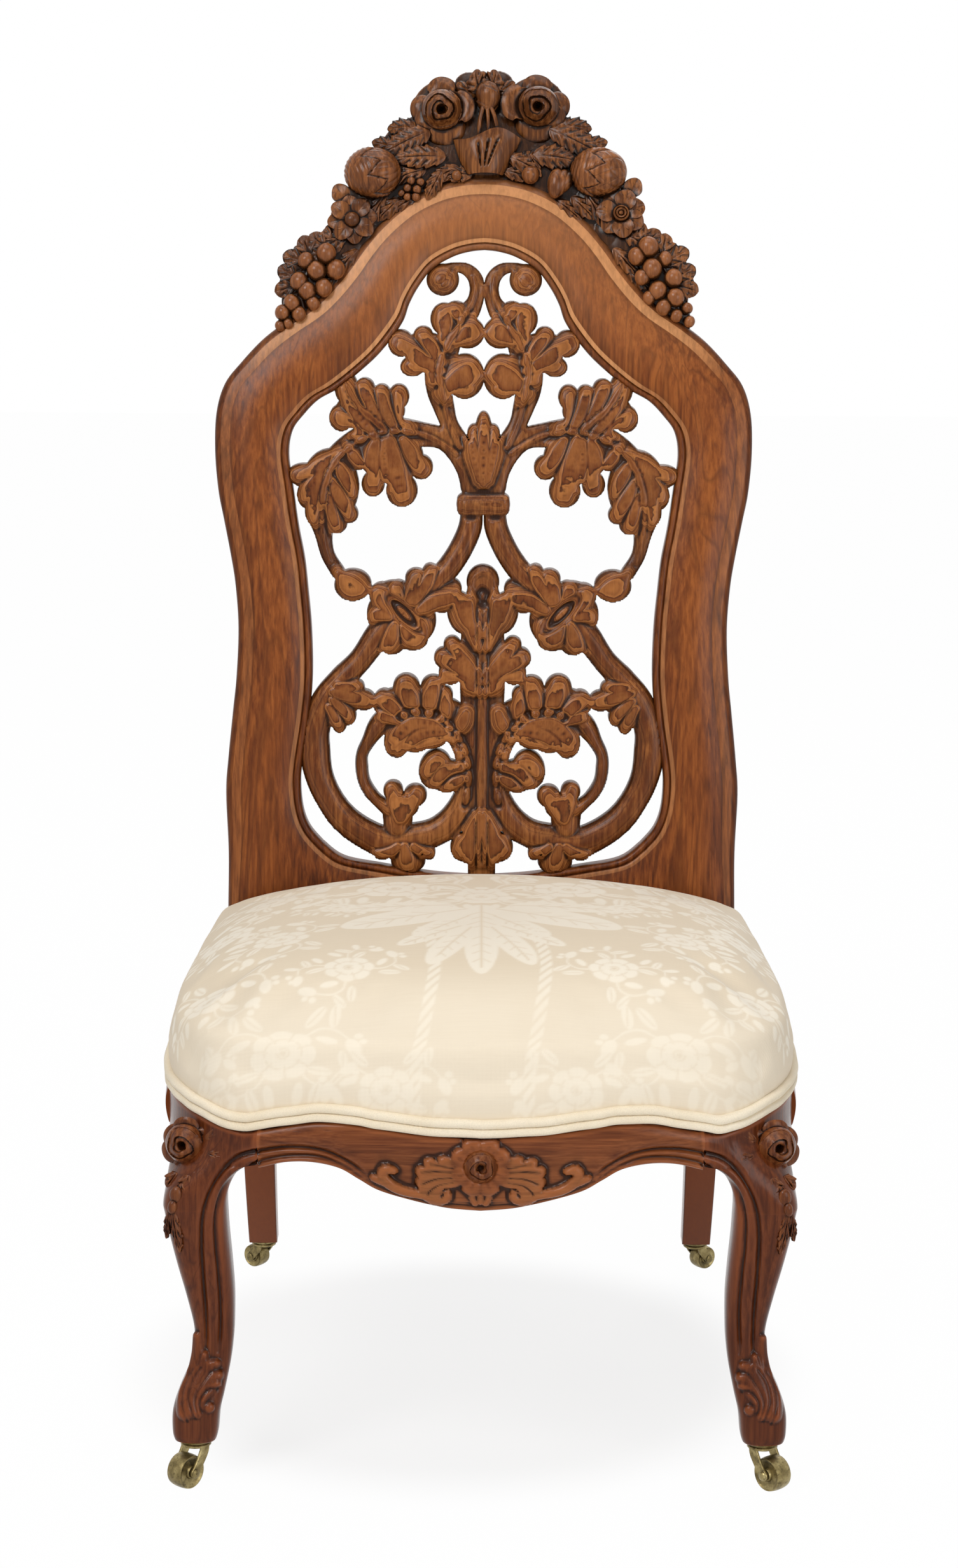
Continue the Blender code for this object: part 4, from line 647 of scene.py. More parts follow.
def sheetMesh(sheet, place, rearPlace):
    # front skin from the grid, a wall round the outline, and a plain rear face; place(u, v, height) gives points
    us, vs, height = sheet["us"], sheet["vs"], sheet["height"]
    field = np.where(np.abs(sheet["field"]) < 0.08 * sheet["step"], 0.08 * sheet["step"], sheet["field"])
    inside = field > 0
    number = np.full(field.shape, -1)
    number[inside] = np.arange(inside.sum())
    rows, cols = np.nonzero(inside)
    flat = list(zip(us[cols], vs[rows], height[rows, cols]))
    full = inside[:-1, :-1] & inside[1:, :-1] & inside[:-1, 1:] & inside[1:, 1:]
    i, j = np.nonzero(full)
    faces = np.stack([number[i, j], number[i, j + 1], number[i + 1, j + 1], number[i + 1, j]], axis=1).tolist()
    mixed = (inside[:-1, :-1].astype(int) + inside[1:, :-1] + inside[:-1, 1:] + inside[1:, 1:])
    crossings, rim = {}, []

    def crossing(a, b):
        key = (a, b) if a < b else (b, a)
        if key not in crossings:
            share = field[a] / (field[a] - field[b])
            crossings[key] = len(flat)
            flat.append((us[a[1]] + share * (us[b[1]] - us[a[1]]), vs[a[0]] + share * (vs[b[0]] - vs[a[0]]), 0.0))
        return crossings[key]

    for i, j in np.argwhere((mixed > 0) & (mixed < 4)):
        corners = [(i, j), (i, j + 1), (i + 1, j + 1), (i + 1, j)]
        loop = []
        for k in range(4):
            a, b = corners[k], corners[(k + 1) % 4]
            if inside[a]:
                loop.append((number[a], False))
            if inside[a] != inside[b]:
                loop.append((crossing(a, b), True))
        parts = [loop]
        if len(loop) == 6 and mixed[i, j] == 2 and sum(field[c] for c in corners) <= 0:
            start = next(k for k in range(6) if not loop[k][1])
            loop = loop[start:] + loop[:start]
            parts = [[loop[5], loop[0], loop[1]], [loop[2], loop[3], loop[4]]]
        for part in parts:
            faces.append([p for p, _ in part])
            for k in range(len(part)):
                if part[k][1] and part[(k + 1) % len(part)][1]:
                    rim.append((part[k][0], part[(k + 1) % len(part)][0]))
    flat = np.array(flat)
    edge = sorted({p for pair in rim for p in pair})
    order = {p: k for k, p in enumerate(edge)}
    found = delaunay_2d_cdt([Vector(flat[p, :2]) for p in edge], [(order[a], order[b]) for a, b in rim], [], 0, 1e-9)
    triangles = np.array([tuple(t) for t in found[2]])
    corners = np.array([tuple(p) for p in found[0]])
    middle = corners[triangles].mean(axis=1)
    within = np.zeros(len(middle), bool)
    for a, b in rim:
        (ua, va), (ub, vb) = flat[a, :2], flat[b, :2]
        if va != vb:
            crossed = ua + (middle[:, 1] - va) * (ub - ua) / (vb - va)
            within ^= ((va > middle[:, 1]) != (vb > middle[:, 1])) & (middle[:, 0] < crossed)
    front = [tuple(p) for p in place(flat[:, 0], flat[:, 1], flat[:, 2])]
    rearIndex = {p: len(front) + k for k, p in enumerate(edge)}
    rear = [tuple(p) for p in rearPlace(flat[edge, 0], flat[edge, 1])]
    for t in triangles[within]:
        faces.append([rearIndex[edge[found[3][k][0]]] for k in t][::-1])
    faces += [[b, a, rearIndex[a], rearIndex[b]] for a, b in rim]
    return front + rear, faces, np.concatenate([flat[:, 2], np.full(len(edge), -2.0)])


tracery = {
    "step": 1.06, "edgeDepth": 10.5, "rearDepth": 17.0, "into": 1.2, "field": (0, 168, 362, 912),
    "stemRise": 8.6, "swell": 6.2, "swellOver": 23.0, "rounds": 420, "fingerRise": 4.2, "fingerFull": 1.66,
    "flute": 0.40,
    "scrollPlies": 0.38,
}
stems = {
    "lowerScroll": [(10, 688, 19), (11, 675, 20), (17, 660, 20), (26, 645, 20), (36, 633, 20), (50, 618, 22),
                    (70, 602, 26), (88, 585, 23), (104, 563, 20), (120, 546, 22), (134, 527, 25), (142, 505, 24),
                    (143, 485, 26), (139.5, 464, 24), (131, 445, 23), (118.5, 428, 24), (101, 415, 25), (82, 407.5, 26),
                    (61, 410, 26), (42, 415, 24), (28, 424, 24), (18, 438, 22), (14, 455, 16), (14, 472, 16),
                    (17, 488, 16), (26, 503, 16), (40, 513, 14), (55, 517, 12)],
    "fanScroll": [(78, 518, 18), (89, 507, 17), (97, 494, 12), (102.5, 483, 10.5), (103, 472, 11), (101, 460, 10.5),
                  (95.5, 450, 10.5), (89, 443, 10), (80, 436, 13)],
    "cupFoot": [(72, 436, 27), (72, 420, 24)],
    "spine": [(0, 366, 22), (0, 395, 24), (0, 440, 24), (0, 480, 26), (0, 525, 37), (0, 560, 38), (0, 590, 36),
              (0, 622, 27)],
    "tie": [(0, 694, 18), (14, 694, 18)],
    "upperStem": [(8, 706, 21), (12, 722, 21), (20, 742, 19), (29, 760, 15), (34, 775, 18), (38, 790, 22),
                  (38, 806, 25), (33, 824, 24), (25, 840, 20), (14, 853, 18), (8, 863, 14), (6, 873, 13),
                  (8, 883, 12.5), (15, 890, 10.5), (25, 892, 8), (33, 890, 10)],
    "sideStem": [(9, 714, 19), (20, 735, 19), (34, 748, 18), (52, 752, 20), (76, 754, 24), (100, 750, 22),
                 (122, 736, 20), (134, 712, 30), (137, 688, 26), (136, 668, 15), (132.5, 651, 11.5), (124, 637, 12)],
}
softStems = ("spine", "upperStem", "sideStem")  # leaf bodies: low, with fingers on top
lobes = {
    "curl": [(35.5, 881.5, 14, 13.5, 0)],
    "upperLeaf": [(34, 849, 12, 13.5, 0), (52, 835, 8.5, 8, 0), (71, 828.5, 11, 11.5, 0), (61, 809, 10.5, 8.5, 0),
                  (46, 820, 24, 17, 20), (14, 837.5, 14.5, 13.5, 0), (16, 801, 16.5, 19, 0), (24, 857, 9, 7, 0)],
    "sideLeaf": [(72.5, 784, 9, 10.5, 0), (87, 788, 7, 6.5, 0), (101.5, 791, 8.5, 8.5, 0), (117.5, 791, 10, 14, 0),
                 (121.5, 766, 10.5, 11.5, 0), (97, 772, 30, 17, 0)],
    "droopingLeaf": [(150, 717, 17, 10.5, 10), (148, 702, 11, 13, 0), (141, 690, 11, 14, 20), (117, 687, 11, 9, 30),
                     (125, 677, 9, 8, 0), (116, 708, 9.5, 16, 0), (107, 729, 8, 7, 0), (131, 708, 25, 32, 0)],
    "bud": [(111, 626, 16, 13.5, 0)],
    "hangingLeaf": [(94, 711, 10, 11, 0), (69.5, 705.5, 13.5, 14, 0), (53, 725, 10, 10.5, 0), (78, 733, 27, 22, 0)],
    "trunk": [(9, 712, 11, 15, 0), (0, 733, 17, 20, 0), (0, 757, 7, 15, 0), (8, 753.5, 6, 8, 0)],
    "collar": [(45, 637, 7, 7.5, 0), (57, 632, 9.5, 8.5, 0), (72, 622, 8, 8.5, 0), (86, 617.5, 11, 11, 0),
               (36, 614, 13, 11, 20), (54, 590, 9, 12, 0), (60, 580.5, 13.5, 9.5, 0), (77, 577, 11, 9.5, 0),
               (93, 602, 6, 12, 0), (26, 623, 8, 9, 0), (68, 603, 31, 24, 40)],
    "leaflet": [(101, 529, 10, 9, 0), (106, 539, 5.5, 7, 0), (115, 516, 7.5, 8.5, 0), (122, 511, 7, 10, 0),
                (116, 531, 14, 14, 0)],
    "palmette": [(0, 629, 14, 14.5, 0), (18.5, 603, 12, 18, -10), (26, 576, 7.5, 7.5, 0), (33, 565, 8.5, 9, 0),
                 (27, 553, 10.5, 10.5, 0), (22, 565, 9, 14, 0)],
    "fanTop": [(42, 541, 10.5, 9.5, 0), (65, 540, 11.5, 11.5, 0), (83.5, 530, 9, 8.5, 0), (60, 526, 34, 15, 0),
               (30, 519, 17, 12, 20), (31, 533, 6, 8, 0), (18, 508, 9, 11, 0)],
    "fanSide": [(73, 494, 11, 14, 0), (58, 502, 19, 17, 0), (43, 500, 14, 12, 0), (40, 470.5, 14, 17, 15),
                (30, 465, 16, 14, 0)],
    "cup": [(76, 452, 8.5, 8.5, 0), (57, 448, 10, 9.5, 0), (69, 438, 15, 10, 0)],
    "footLeaf": [(85, 399, 7.5, 6.5, 0), (63, 392, 15, 11, 0), (45, 399, 5.5, 6.5, 0)],
    "baseLeaf": [(13, 404, 14, 13, 0), (8, 421, 9, 12, 0)],
}
# fluted fingers of the leaves, root to tip with widths
fingers = {
    "upperLeaf": [[(36, 798, 10), (50, 801, 15), (66, 808, 15)], [(37, 806, 10), (55, 816, 18), (76, 830, 18)],
                  [(36, 813, 9), (45, 826, 14), (54, 839, 13)], [(31, 826, 9), (34, 840, 18), (35, 857, 17)],
                  [(28, 831, 9), (18, 836, 20), (7, 839, 20)], [(35, 788, 12), (22, 797, 26), (10, 806, 24)],
                  [(34, 784, 9), (22, 786, 14), (12, 790, 12)], [(20, 848, 7), (24, 855, 11), (28, 860, 9)]],
    "sideLeaf": [[(64, 756, 10), (69, 772, 15), (71, 789, 14)], [(76, 757, 9), (84, 774, 13), (88, 791, 11)],
                 [(86, 757, 9), (97, 777, 14), (103, 795, 13)], [(95, 755, 10), (110, 774, 17), (119, 797, 15)],
                 [(104, 750, 10), (115, 760, 18), (127, 768, 16)]],
    "hangingLeaf": [[(92, 748, 10), (95, 730, 18), (94, 706, 16)], [(80, 749, 10), (76, 730, 20), (68, 699, 20)],
                    [(68, 748, 9), (61, 736, 16), (50, 722, 16)], [(84, 748, 8), (84, 728, 13), (80, 708, 12)]],
    "droopingLeaf": [[(122, 737, 9), (140, 727, 16), (160, 719, 15)], [(128, 728, 9), (142, 714, 16), (154, 701, 14)],
                     [(133, 716, 9), (142, 702, 15), (146, 682, 12)], [(131, 716, 8), (122, 700, 15), (112, 685, 13)],
                     [(134, 704, 8), (129, 688, 12), (124, 673, 10)], [(126, 730, 8), (118, 717, 14), (110, 704, 12)],
                     [(116, 742, 8), (110, 734, 11), (104, 727, 10)]],
    "bud": [[(123, 636, 9), (113, 628, 18), (101, 620, 15)], [(124, 634, 7), (116, 620, 12), (108, 615, 9)]],
    "trunk": [[(0, 712, 9), (0, 740, 13), (0, 770, 9)], [(4, 715, 8), (9, 738, 11), (10, 758, 8)]],
    "collar": [[(58, 613, 9), (49, 627, 13), (43, 641, 10)], [(63, 613, 9), (60, 625, 14), (57, 638, 13)],
               [(70, 610, 8), (73, 619, 13), (74, 628, 11)], [(76, 605, 9), (84, 613, 18), (92, 622, 15)],
               [(54, 606, 9), (42, 612, 17), (28, 616, 14)], [(62, 598, 8), (55, 591, 15), (50, 584, 12)],
               [(67, 594, 8), (62, 584, 17), (54, 577, 13)], [(75, 593, 8), (78, 582, 16), (82, 572, 13)],
               [(80, 600, 7), (90, 602, 13), (97, 598, 9)]],
    "leaflet": [[(128, 537, 8), (114, 533, 14), (95, 528, 13)], [(124, 542, 7), (112, 541, 10), (104, 543, 8)],
                [(128, 530, 7), (119, 522, 11), (111, 512, 9)], [(131, 524, 7), (125, 514, 10), (121, 504, 8)]],
    "palmette": [[(3, 586, 8), (14, 599, 17), (20, 616, 16)], [(4, 575, 7), (10, 592, 11), (12, 612, 10)],
                 [(4, 552, 8), (16, 564, 13), (28, 581, 10)], [(4, 546, 8), (18, 557, 15), (38, 567, 13)],
                 [(4, 538, 8), (16, 545, 14), (34, 550, 15)]],
    "fanTop": [[(46, 519, 8), (44, 532, 16), (41, 547, 14)], [(57, 520, 8), (62, 532, 18), (66, 548, 17)],
               [(67, 516, 8), (78, 525, 15), (89, 533, 13)], [(32, 513, 8), (31, 526, 12), (30, 539, 9)],
               [(22, 503, 7), (17, 511, 12), (14, 519, 10)], [(72, 512, 7), (84, 516, 11), (92, 518, 9)]],
    "fanSide": [[(36, 510, 9), (60, 510, 16), (80, 490, 16)], [(28, 504, 9), (52, 501, 15), (70, 486, 12)],
                [(24, 497, 8), (42, 494, 12), (56, 486, 10)], [(16, 484, 8), (34, 482, 15), (48, 470, 15)],
                [(15, 474, 8), (30, 471, 14), (42, 458, 12)], [(15, 464, 7), (24, 460, 11), (32, 453, 10)]],
    "cup": [[(70, 430, 12), (75, 444, 14), (79, 457, 11)], [(68, 430, 11), (60, 442, 15), (54, 453, 13)],
            [(68, 432, 10), (67, 442, 12), (67, 450, 9)]],
    "footLeaf": [[(66, 405, 9), (64, 394, 16), (62, 384, 14)], [(72, 405, 8), (79, 400, 11), (90, 398, 9)],
                 [(58, 405, 8), (50, 400, 10), (42, 398, 8)]],
    "baseLeaf": [[(3, 432, 8), (10, 414, 16), (22, 398, 14)], [(2, 424, 8), (8, 406, 13), (12, 393, 11)]],
}
ribs = {
    "upperRib": [(20, 742), (29, 762), (35, 785), (38, 806), (32, 826), (22, 844), (13, 858), (8, 872), (9, 884)],
    "sideRib": [(24, 737), (50, 752), (78, 755), (104, 748), (124, 733), (135, 708), (137, 682), (135, 660),
                (131, 646)],
    "sideVein": [(84, 757), (98, 768), (110, 782), (118, 796)],
}
scrollBeads = [(70, 516), (62, 520), (50, 519.5), (40, 517.5), (32, 512.5), (24, 504.5), (17, 494), (13, 483),
               (11, 471), (11.5, 456), (14.5, 441)]
collarSlot = {"at": (67, 603), "long": 14, "wide": 4.6, "turn": 45}
tie = {"at": 694, "half": 17.5, "flat": 4.0, "corner": 5, "high": 9.6, "fall": 2.4, "ease": 2.4, "rim": 5.6,
       "ground": 6.2}
curl = {"rise": 6.2, "base": 2.6, "seams": [[(46, 874), (38, 878), (30, 886), (27, 893)],
                                            [(42, 870), (33, 875), (26, 884)]]}


def swellOutline(sheet, full, over, rounds, power=0.5):
    # the outline blown up like a cushion: every lobe rounds itself, with saddles between
    inside = sheet["field"] > 0
    high = np.zeros(inside.shape)
    for _ in range(rounds):
        wide = np.pad(high, 1)
        wide[1:-1, 0] = high[:, 1]  # the left edge is the mirror line
        mean = (wide[:-2, 1:-1] + wide[2:, 1:-1] + wide[1:-1, :-2] + wide[1:-1, 2:]) / 4
        high = np.where(inside, mean + sheet["step"] ** 2, 0)
    return full * (1 - np.exp(-(high ** power) / over))


def paintTracery():
    sheet = newSheet(*tracery["field"], tracery["step"])
    for name, rows in stems.items():
        paintStem(sheet, rows, 0 if name in softStems else tracery["stemRise"], 0)
    scrolls = sheet["height"].copy()
    for group in lobes.values():
        for row in group:
            paintLobe(sheet, *row, 0)
    sheet["height"][:] = 0
    for group in fingers.values():
        for rows in group:
            full = [(u, v, width * tracery["fingerFull"]) for u, v, width in rows]
            paintStem(sheet, full, tracery["fingerRise"], 0, False, 5, pillow, tracery["flute"])
    sheet["plies"] = np.where(sheet["height"] > 0.4, 1.0, tracery["scrollPlies"])
    curlU, curlV, curlLong, curlWide, _ = lobes["curl"][0]
    place, u, v = window(sheet, curlU - 14.5, curlU + 14.5, curlV - 14.5, curlV + 14.5)
    sheet["plies"][place] = np.where(np.hypot(u - curlU, v - curlV) < curlLong, 0.9, sheet["plies"][place])
    swell = swellOutline(sheet, tracery["swell"], tracery["swellOver"], tracery["rounds"], 0.7)
    sheet["height"] = np.maximum(sheet["height"] + swell, scrolls)
    for rows in ribs.values():
        raiseRib(sheet, rows)
    # the half-round curl at the top, a ball with a leafy seam
    paintLobe(sheet, curlU, curlV, curlLong, curlWide, 0, curl["rise"], curl["base"], False, pillow)
    for seam, depth, width in zip(curl["seams"], (0.9, 0.8), (1.1, 1.0)):
        scoreLine(sheet, seam, depth, width)
    # rib and hood of the palmette
    place, u, v = window(sheet, 0, 16, 384, 646)
    up = sheet["height"][place]
    rib = np.clip((3.9 - u) / 0.7, 0, 1) * np.clip((608 - v) / 2, 0, 1) * np.clip((v - 386) / 2, 0, 1)
    moat = ridge(u, 5.0, 1.1) * (v < 612) * (v > 388)
    up += 1.2 * rib - 0.8 * moat
    hood = np.hypot(u / 10.5, (v - 626) / 12.5)
    up -= 2.6 * ridge(np.hypot(u / 6.0, (v - 618) / 8), 0.55, 0.42) * (v < 630)
    up += 1.4 * ridge(hood, 0.95, 0.14) * (v > 612)
    # tie band: a barrel with rounded ends and a rim along either edge
    place, u, v = window(sheet, 0, 26, 682, 706)
    du, off = u - tie["half"], np.abs(v - tie["at"])
    dv = off - tie["flat"]
    inner = tie["corner"] - np.hypot(np.maximum(du, 0), np.maximum(dv, 0)) - np.minimum(np.maximum(du, dv), 0)
    sheet["field"][place] = np.maximum(sheet["field"][place], inner)
    strap = (tie["high"] - tie["fall"] * (off / 9) ** 2) * (0.5 + 0.5 * dome(inner / tie["ease"]))
    strap -= 1.0 * ridge(off, tie["rim"], 0.8) + 0.7 * ridge(du, 0, 0.8)
    sheet["height"][place] = np.where(inner > 0, strap, np.minimum(sheet["height"][place], tie["ground"]))
    # bead chain of the fan
    chain = smoothCurve(scrollBeads, 6)
    near = distanceTo(sheet, chain, 9)
    sheet["height"] -= 2.0 * np.exp(-((near / 4.2) ** 4))
    bead = {**sheet, "height": np.zeros(sheet["height"].shape)}
    for (ua, va), (ub, vb) in zip(scrollBeads[:-1], scrollBeads[1:]):
        mid, turn = ((ua + ub) / 2, (va + vb) / 2), math.degrees(math.atan2(vb - va, ub - ua))
        paintLobe(bead, *mid, math.hypot(ub - ua, vb - va) * 0.48, 3.1, turn, 2.6, 0, False)
    sheet["height"] += bead["height"]
    # oval slot in the collar: rim, moat, bean
    (u0, v0), turn = collarSlot["at"], math.radians(collarSlot["turn"])
    place, u, v = window(sheet, u0 - 24, u0 + 24, v0 - 24, v0 + 24)
    p = ((u - u0) * math.cos(turn) + (v - v0) * math.sin(turn)) / collarSlot["long"]
    q = (-(u - u0) * math.sin(turn) + (v - v0) * math.cos(turn)) / collarSlot["wide"]
    k = np.hypot(p, q)
    smooth = np.clip((1.9 - k) / 0.5, 0, 1)
    up = sheet["height"][place] * (1 - smooth) + 7.4 * smooth
    sheet["height"][place] = up + 0.8 * ridge(k, 1.25, 0.16) - 2.6 * ridge(k, 0.82, 0.24)
    # cut by the surround's opening, with a little run into it
    opening = mirroredRing([inner for _, inner in surroundPairs])
    sheet = mirrorSheet(sheet)
    grid = np.meshgrid(sheet["us"], sheet["vs"])
    sheet["field"] = np.minimum(sheet["field"], insideDistance(opening, *grid) + tracery["into"])
    sheet["height"] = softened(np.clip(sheet["height"], 0, 10.4), sheet["field"] > 0, 1)
    sheet["below"] = softened(sheet["height"], sheet["field"] > 0, 45) - sheet["height"]
    return sheet


def softened(height, inside, rounds):
    # a tool-worn surface: neighbours are averaged inside the outline
    for _ in range(rounds):
        total, count = height * inside, inside.astype(float)
        for axis in (0, 1):
            for step in (-1, 1):
                total = total + np.roll(height * inside, step, axis)
                count = count + np.roll(inside, step, axis)
        height = np.where(inside, total / np.maximum(count, 1), height)
    return height


def mirroredRing(half):
    return list(half) + [(-u, v) for u, v in half[-2:0:-1]]


def insideDistance(polygon, u, v):
    least, inside = np.full(u.shape, 1e9), np.zeros(u.shape, bool)
    for (u0, v0), (u1, v1) in zip(polygon, polygon[1:] + polygon[:1]):
        du, dv = u1 - u0, v1 - v0
        t = np.clip(((u - u0) * du + (v - v0) * dv) / (du * du + dv * dv), 0, 1)
        least = np.minimum(least, np.hypot(u - u0 - t * du, v - v0 - t * dv))
        if v0 != v1:
            inside ^= ((v0 > v) != (v1 > v)) & (u < u0 + (v - v0) * du / dv)
    return np.where(inside, least, -least)


def onBack(u, v, depth):
    z = np.asarray(v) / 1000
    return np.stack([np.asarray(u) / 1000, backFace(z) + depth / 1000, z], axis=1)


def boardMesh(sheet, sizes):
    # a painted sheet as a board on the back
    return sheetMesh(sheet, lambda u, v, h: onBack(u, v, sizes["edgeDepth"] - h),
                     lambda u, v: onBack(u, v, sizes["rearDepth"]))


def sampleSheet(sheet, u, v, key="height"):
    # smooth value of the sheet at any place
    x = np.clip((u - sheet["us"][0]) / sheet["step"], 0, len(sheet["us"]) - 1.001)
    y = np.clip((v - sheet["vs"][0]) / sheet["step"], 0, len(sheet["vs"]) - 1.001)
    j, i = x.astype(int), y.astype(int)
    fx, fy = x - j, y - i
    h = sheet[key]
    low = h[i, j] * (1 - fx) * (1 - fy) + h[i, j + 1] * fx * (1 - fy)
    return low + h[i + 1, j] * (1 - fx) * fy + h[i + 1, j + 1] * fx * fy


def makeTracery():
    sheet = paintTracery()
    points, faces, level = boardMesh(sheet, tracery)
    piece = newPiece("backTracery", points, faces, carvedWood, slot="carved_rosewood", stands=["back_tracery"],
                     sharp=60)
    flat = np.array(points) * 1000
    plies, field, below = [sampleSheet(sheet, flat[:, 0], flat[:, 2], key) for key in ("plies", "field", "below")]
    setMark(piece.data, "level", level)
    setMark(piece.data, "plies", plies)
    markHollows(piece, 12, 0.7)
    # painted shade in the creases and on the rims; painted highlight on the tops
    hollow, front = readHollow(piece), level > -1
    below = np.clip(below / 1.6, -0.9, 0.8) * front
    hollow = np.where(hollow > 0.12, np.maximum(hollow * 1.25, below), hollow * 0.3 + below)
    hollow = np.where(front, np.maximum(hollow, 0.14 * np.clip(1 - field / 2.4, 0, 1)), hollow)
    setMark(piece.data, "hollow", np.clip(hollow, -1, 1))
    print("tracery made", len(faces), "faces")


makeTracery()


# seat frame: half width, depth, top of the show wood, lower edge of the rail
seatPlan = [
    (0, -0.0380, 0.2840, 0.2280), (0.025, -0.0376, 0.2848, 0.2300), (0.050, -0.0362, 0.2865, 0.2350),
    (0.075, -0.0340, 0.2895, 0.2420), (0.090, -0.0322, 0.2915, 0.2500), (0.105, -0.0303, 0.2930, 0.2580),
    (0.125, -0.0275, 0.2925, 0.2615), (0.145, -0.0246, 0.2890, 0.2605), (0.165, -0.0210, 0.2848, 0.2550),
    (0.178, -0.0175, 0.2825, 0.2525), (0.192, -0.0115, 0.2845, 0.2510), (0.207, 0, 0.2885, 0.2500),
    (0.220, 0.0160, 0.2920, 0.2490), (0.231, 0.0400, 0.2940, 0.2482), (0.2385, 0.0750, 0.2945, 0.2480),
    (0.2415, 0.1300, 0.2945, 0.2480), (0.2405, 0.2000, 0.2945, 0.2480), (0.2340, 0.3000, 0.2940, 0.2480),
    (0.2225, 0.4046, 0.2930, 0.2480),
]
seat = {"railTop": 0.315, "railDepth": 0.030, "rebate": 0.009, "apron": 0.016, "frontJoint": 8, "sideJoint": 14,
        "steps": 10,
        "frontBulge": 3.4, "sideBulge": 3.0, "kneeX": 0.2385}
plan = smoothCurve(seatPlan, seat["steps"])
planAlong = np.gradient(plan[:, :2], axis=0)
planAlong /= np.linalg.norm(planAlong, axis=1)[:, None]
planWays = np.stack([planAlong[:, 1], -planAlong[:, 0]], axis=1)
planWays[0] = (0, -1)


def wholePlan(rows, ways):
    return np.vstack([rows[:0:-1] * (-1, 1, 1, 1), rows]), np.vstack([ways[:0:-1] * (-1, 1), ways])


def resampled(rows, at):
    return np.stack([np.interp(at, np.arange(len(rows)), column) for column in rows.T], axis=1)


# two grooves that run along the front rail's arch and down the legs, seen from the front in millimetres
grooves = {
    "outer": [(206.7, 107), (206.2, 137), (207.3, 166), (207.7, 195), (206.3, 216), (201.7, 234), (192.9, 251),
              (181, 262.5), (166, 268), (146.6, 272.3), (127, 272.8), (110, 269.4), (93, 260.4), (80, 250)],
    "inner": [(196.5, 105), (194.5, 137), (195, 166), (196.6, 195), (196, 216), (191.6, 234), (183.3, 246.5),
              (170.4, 257), (155.2, 263), (138, 266.2), (118.7, 266.1), (101.5, 260), (88.6, 252), (78, 245)],
    "depth": 3.0, "width": 2.0,
}
frontField = (0, 246, 34, 300, 0.8)  # edges and step of the painted front
cartouche = {
    "rose": (0, 263.5), "petals": 8, "petalOut": 16.5, "petal": (8.0, 7.0), "ring": 11.5, "ball": (12.4, 9.5),
    # lobes of the leaf, its hooked end and veins; scrolls with widths
    "leaf": [(27, 256, 15, 9, 10), (36, 264.5, 6.5, 4.5, 30), (25, 267, 7, 4, 15), (43.5, 259, 4.5, 4.5, 0),
             (42, 251, 5.5, 6, 0), (36, 247, 9, 9, 0), (20, 258, 9, 7, 0)],
    "hook": [(42, 249, 9), (38.5, 240.5, 10), (31, 236.5, 8.5), (25, 238.5, 7), (24.5, 243.5, 5.5)],
    "veins": [[(15, 262), (26, 263.5), (37, 266)], [(16, 259), (30, 260), (44, 259.5)],
              [(18, 255), (32, 254.5), (43, 250)], [(20, 251.5), (32, 249), (39, 242), (35, 238)]],
    "scrolls": [[(33, 238, 4), (44, 241, 7), (56, 243, 8), (65, 247, 8.5), (72, 254, 9), (70, 260, 8), (64, 259, 6)],
                [(62, 246, 5), (71, 250, 7), (79, 253, 6)]],
    "bell": [[(0, 236, 5), (0, 243, 7), (0, 249, 5)], [(4, 234, 4), (6, 240, 5), (5, 247, 4)]],
    "border": [(0, 231.5), (25, 233.5), (50, 238), (72, 244), (84, 250)],
}
footLeaf = {
    # leaf tips up the ankle, the leaf's own lobes, the volute
    "tips": [[(214.5, 92, 8), (213.8, 104, 9), (212.6, 118, 4)], [(210.5, 90, 8), (208.5, 97, 7.5), (207.2, 104, 4)],
             [(217, 88, 8), (217, 98, 8), (218, 106, 5)]],
    "lobes": [[(217, 64, 9), (216, 78, 11), (207, 92, 11), (199, 96.5, 6)],
              [(213, 63, 8), (211, 75, 10), (204, 86, 11), (197.5, 88, 7)],
              [(222, 62, 9), (221, 75, 11), (214, 89, 11), (206, 97, 6)],
              [(209, 72, 6), (204.5, 79, 8), (198.5, 82.5, 6)]],
    "flutes": [[(219.6, 55), (222.9, 69), (220, 82), (214.8, 91.6)],
               [(213.6, 57.5), (218.3, 70.4), (215.9, 83.5), (209.4, 94)],
               [(211.5, 60.4), (213.8, 70.5), (210, 80.6), (202, 91)]],
    "volute": [(197.5, 79), (204, 78.5), (209.5, 72.5), (209.8, 65), (204.5, 59.5), (198.5, 61), (197.6, 67),
               (202.5, 70)],
    "eye": (203.2, 65.6, 3.6),
    "rise": 3.2,
}


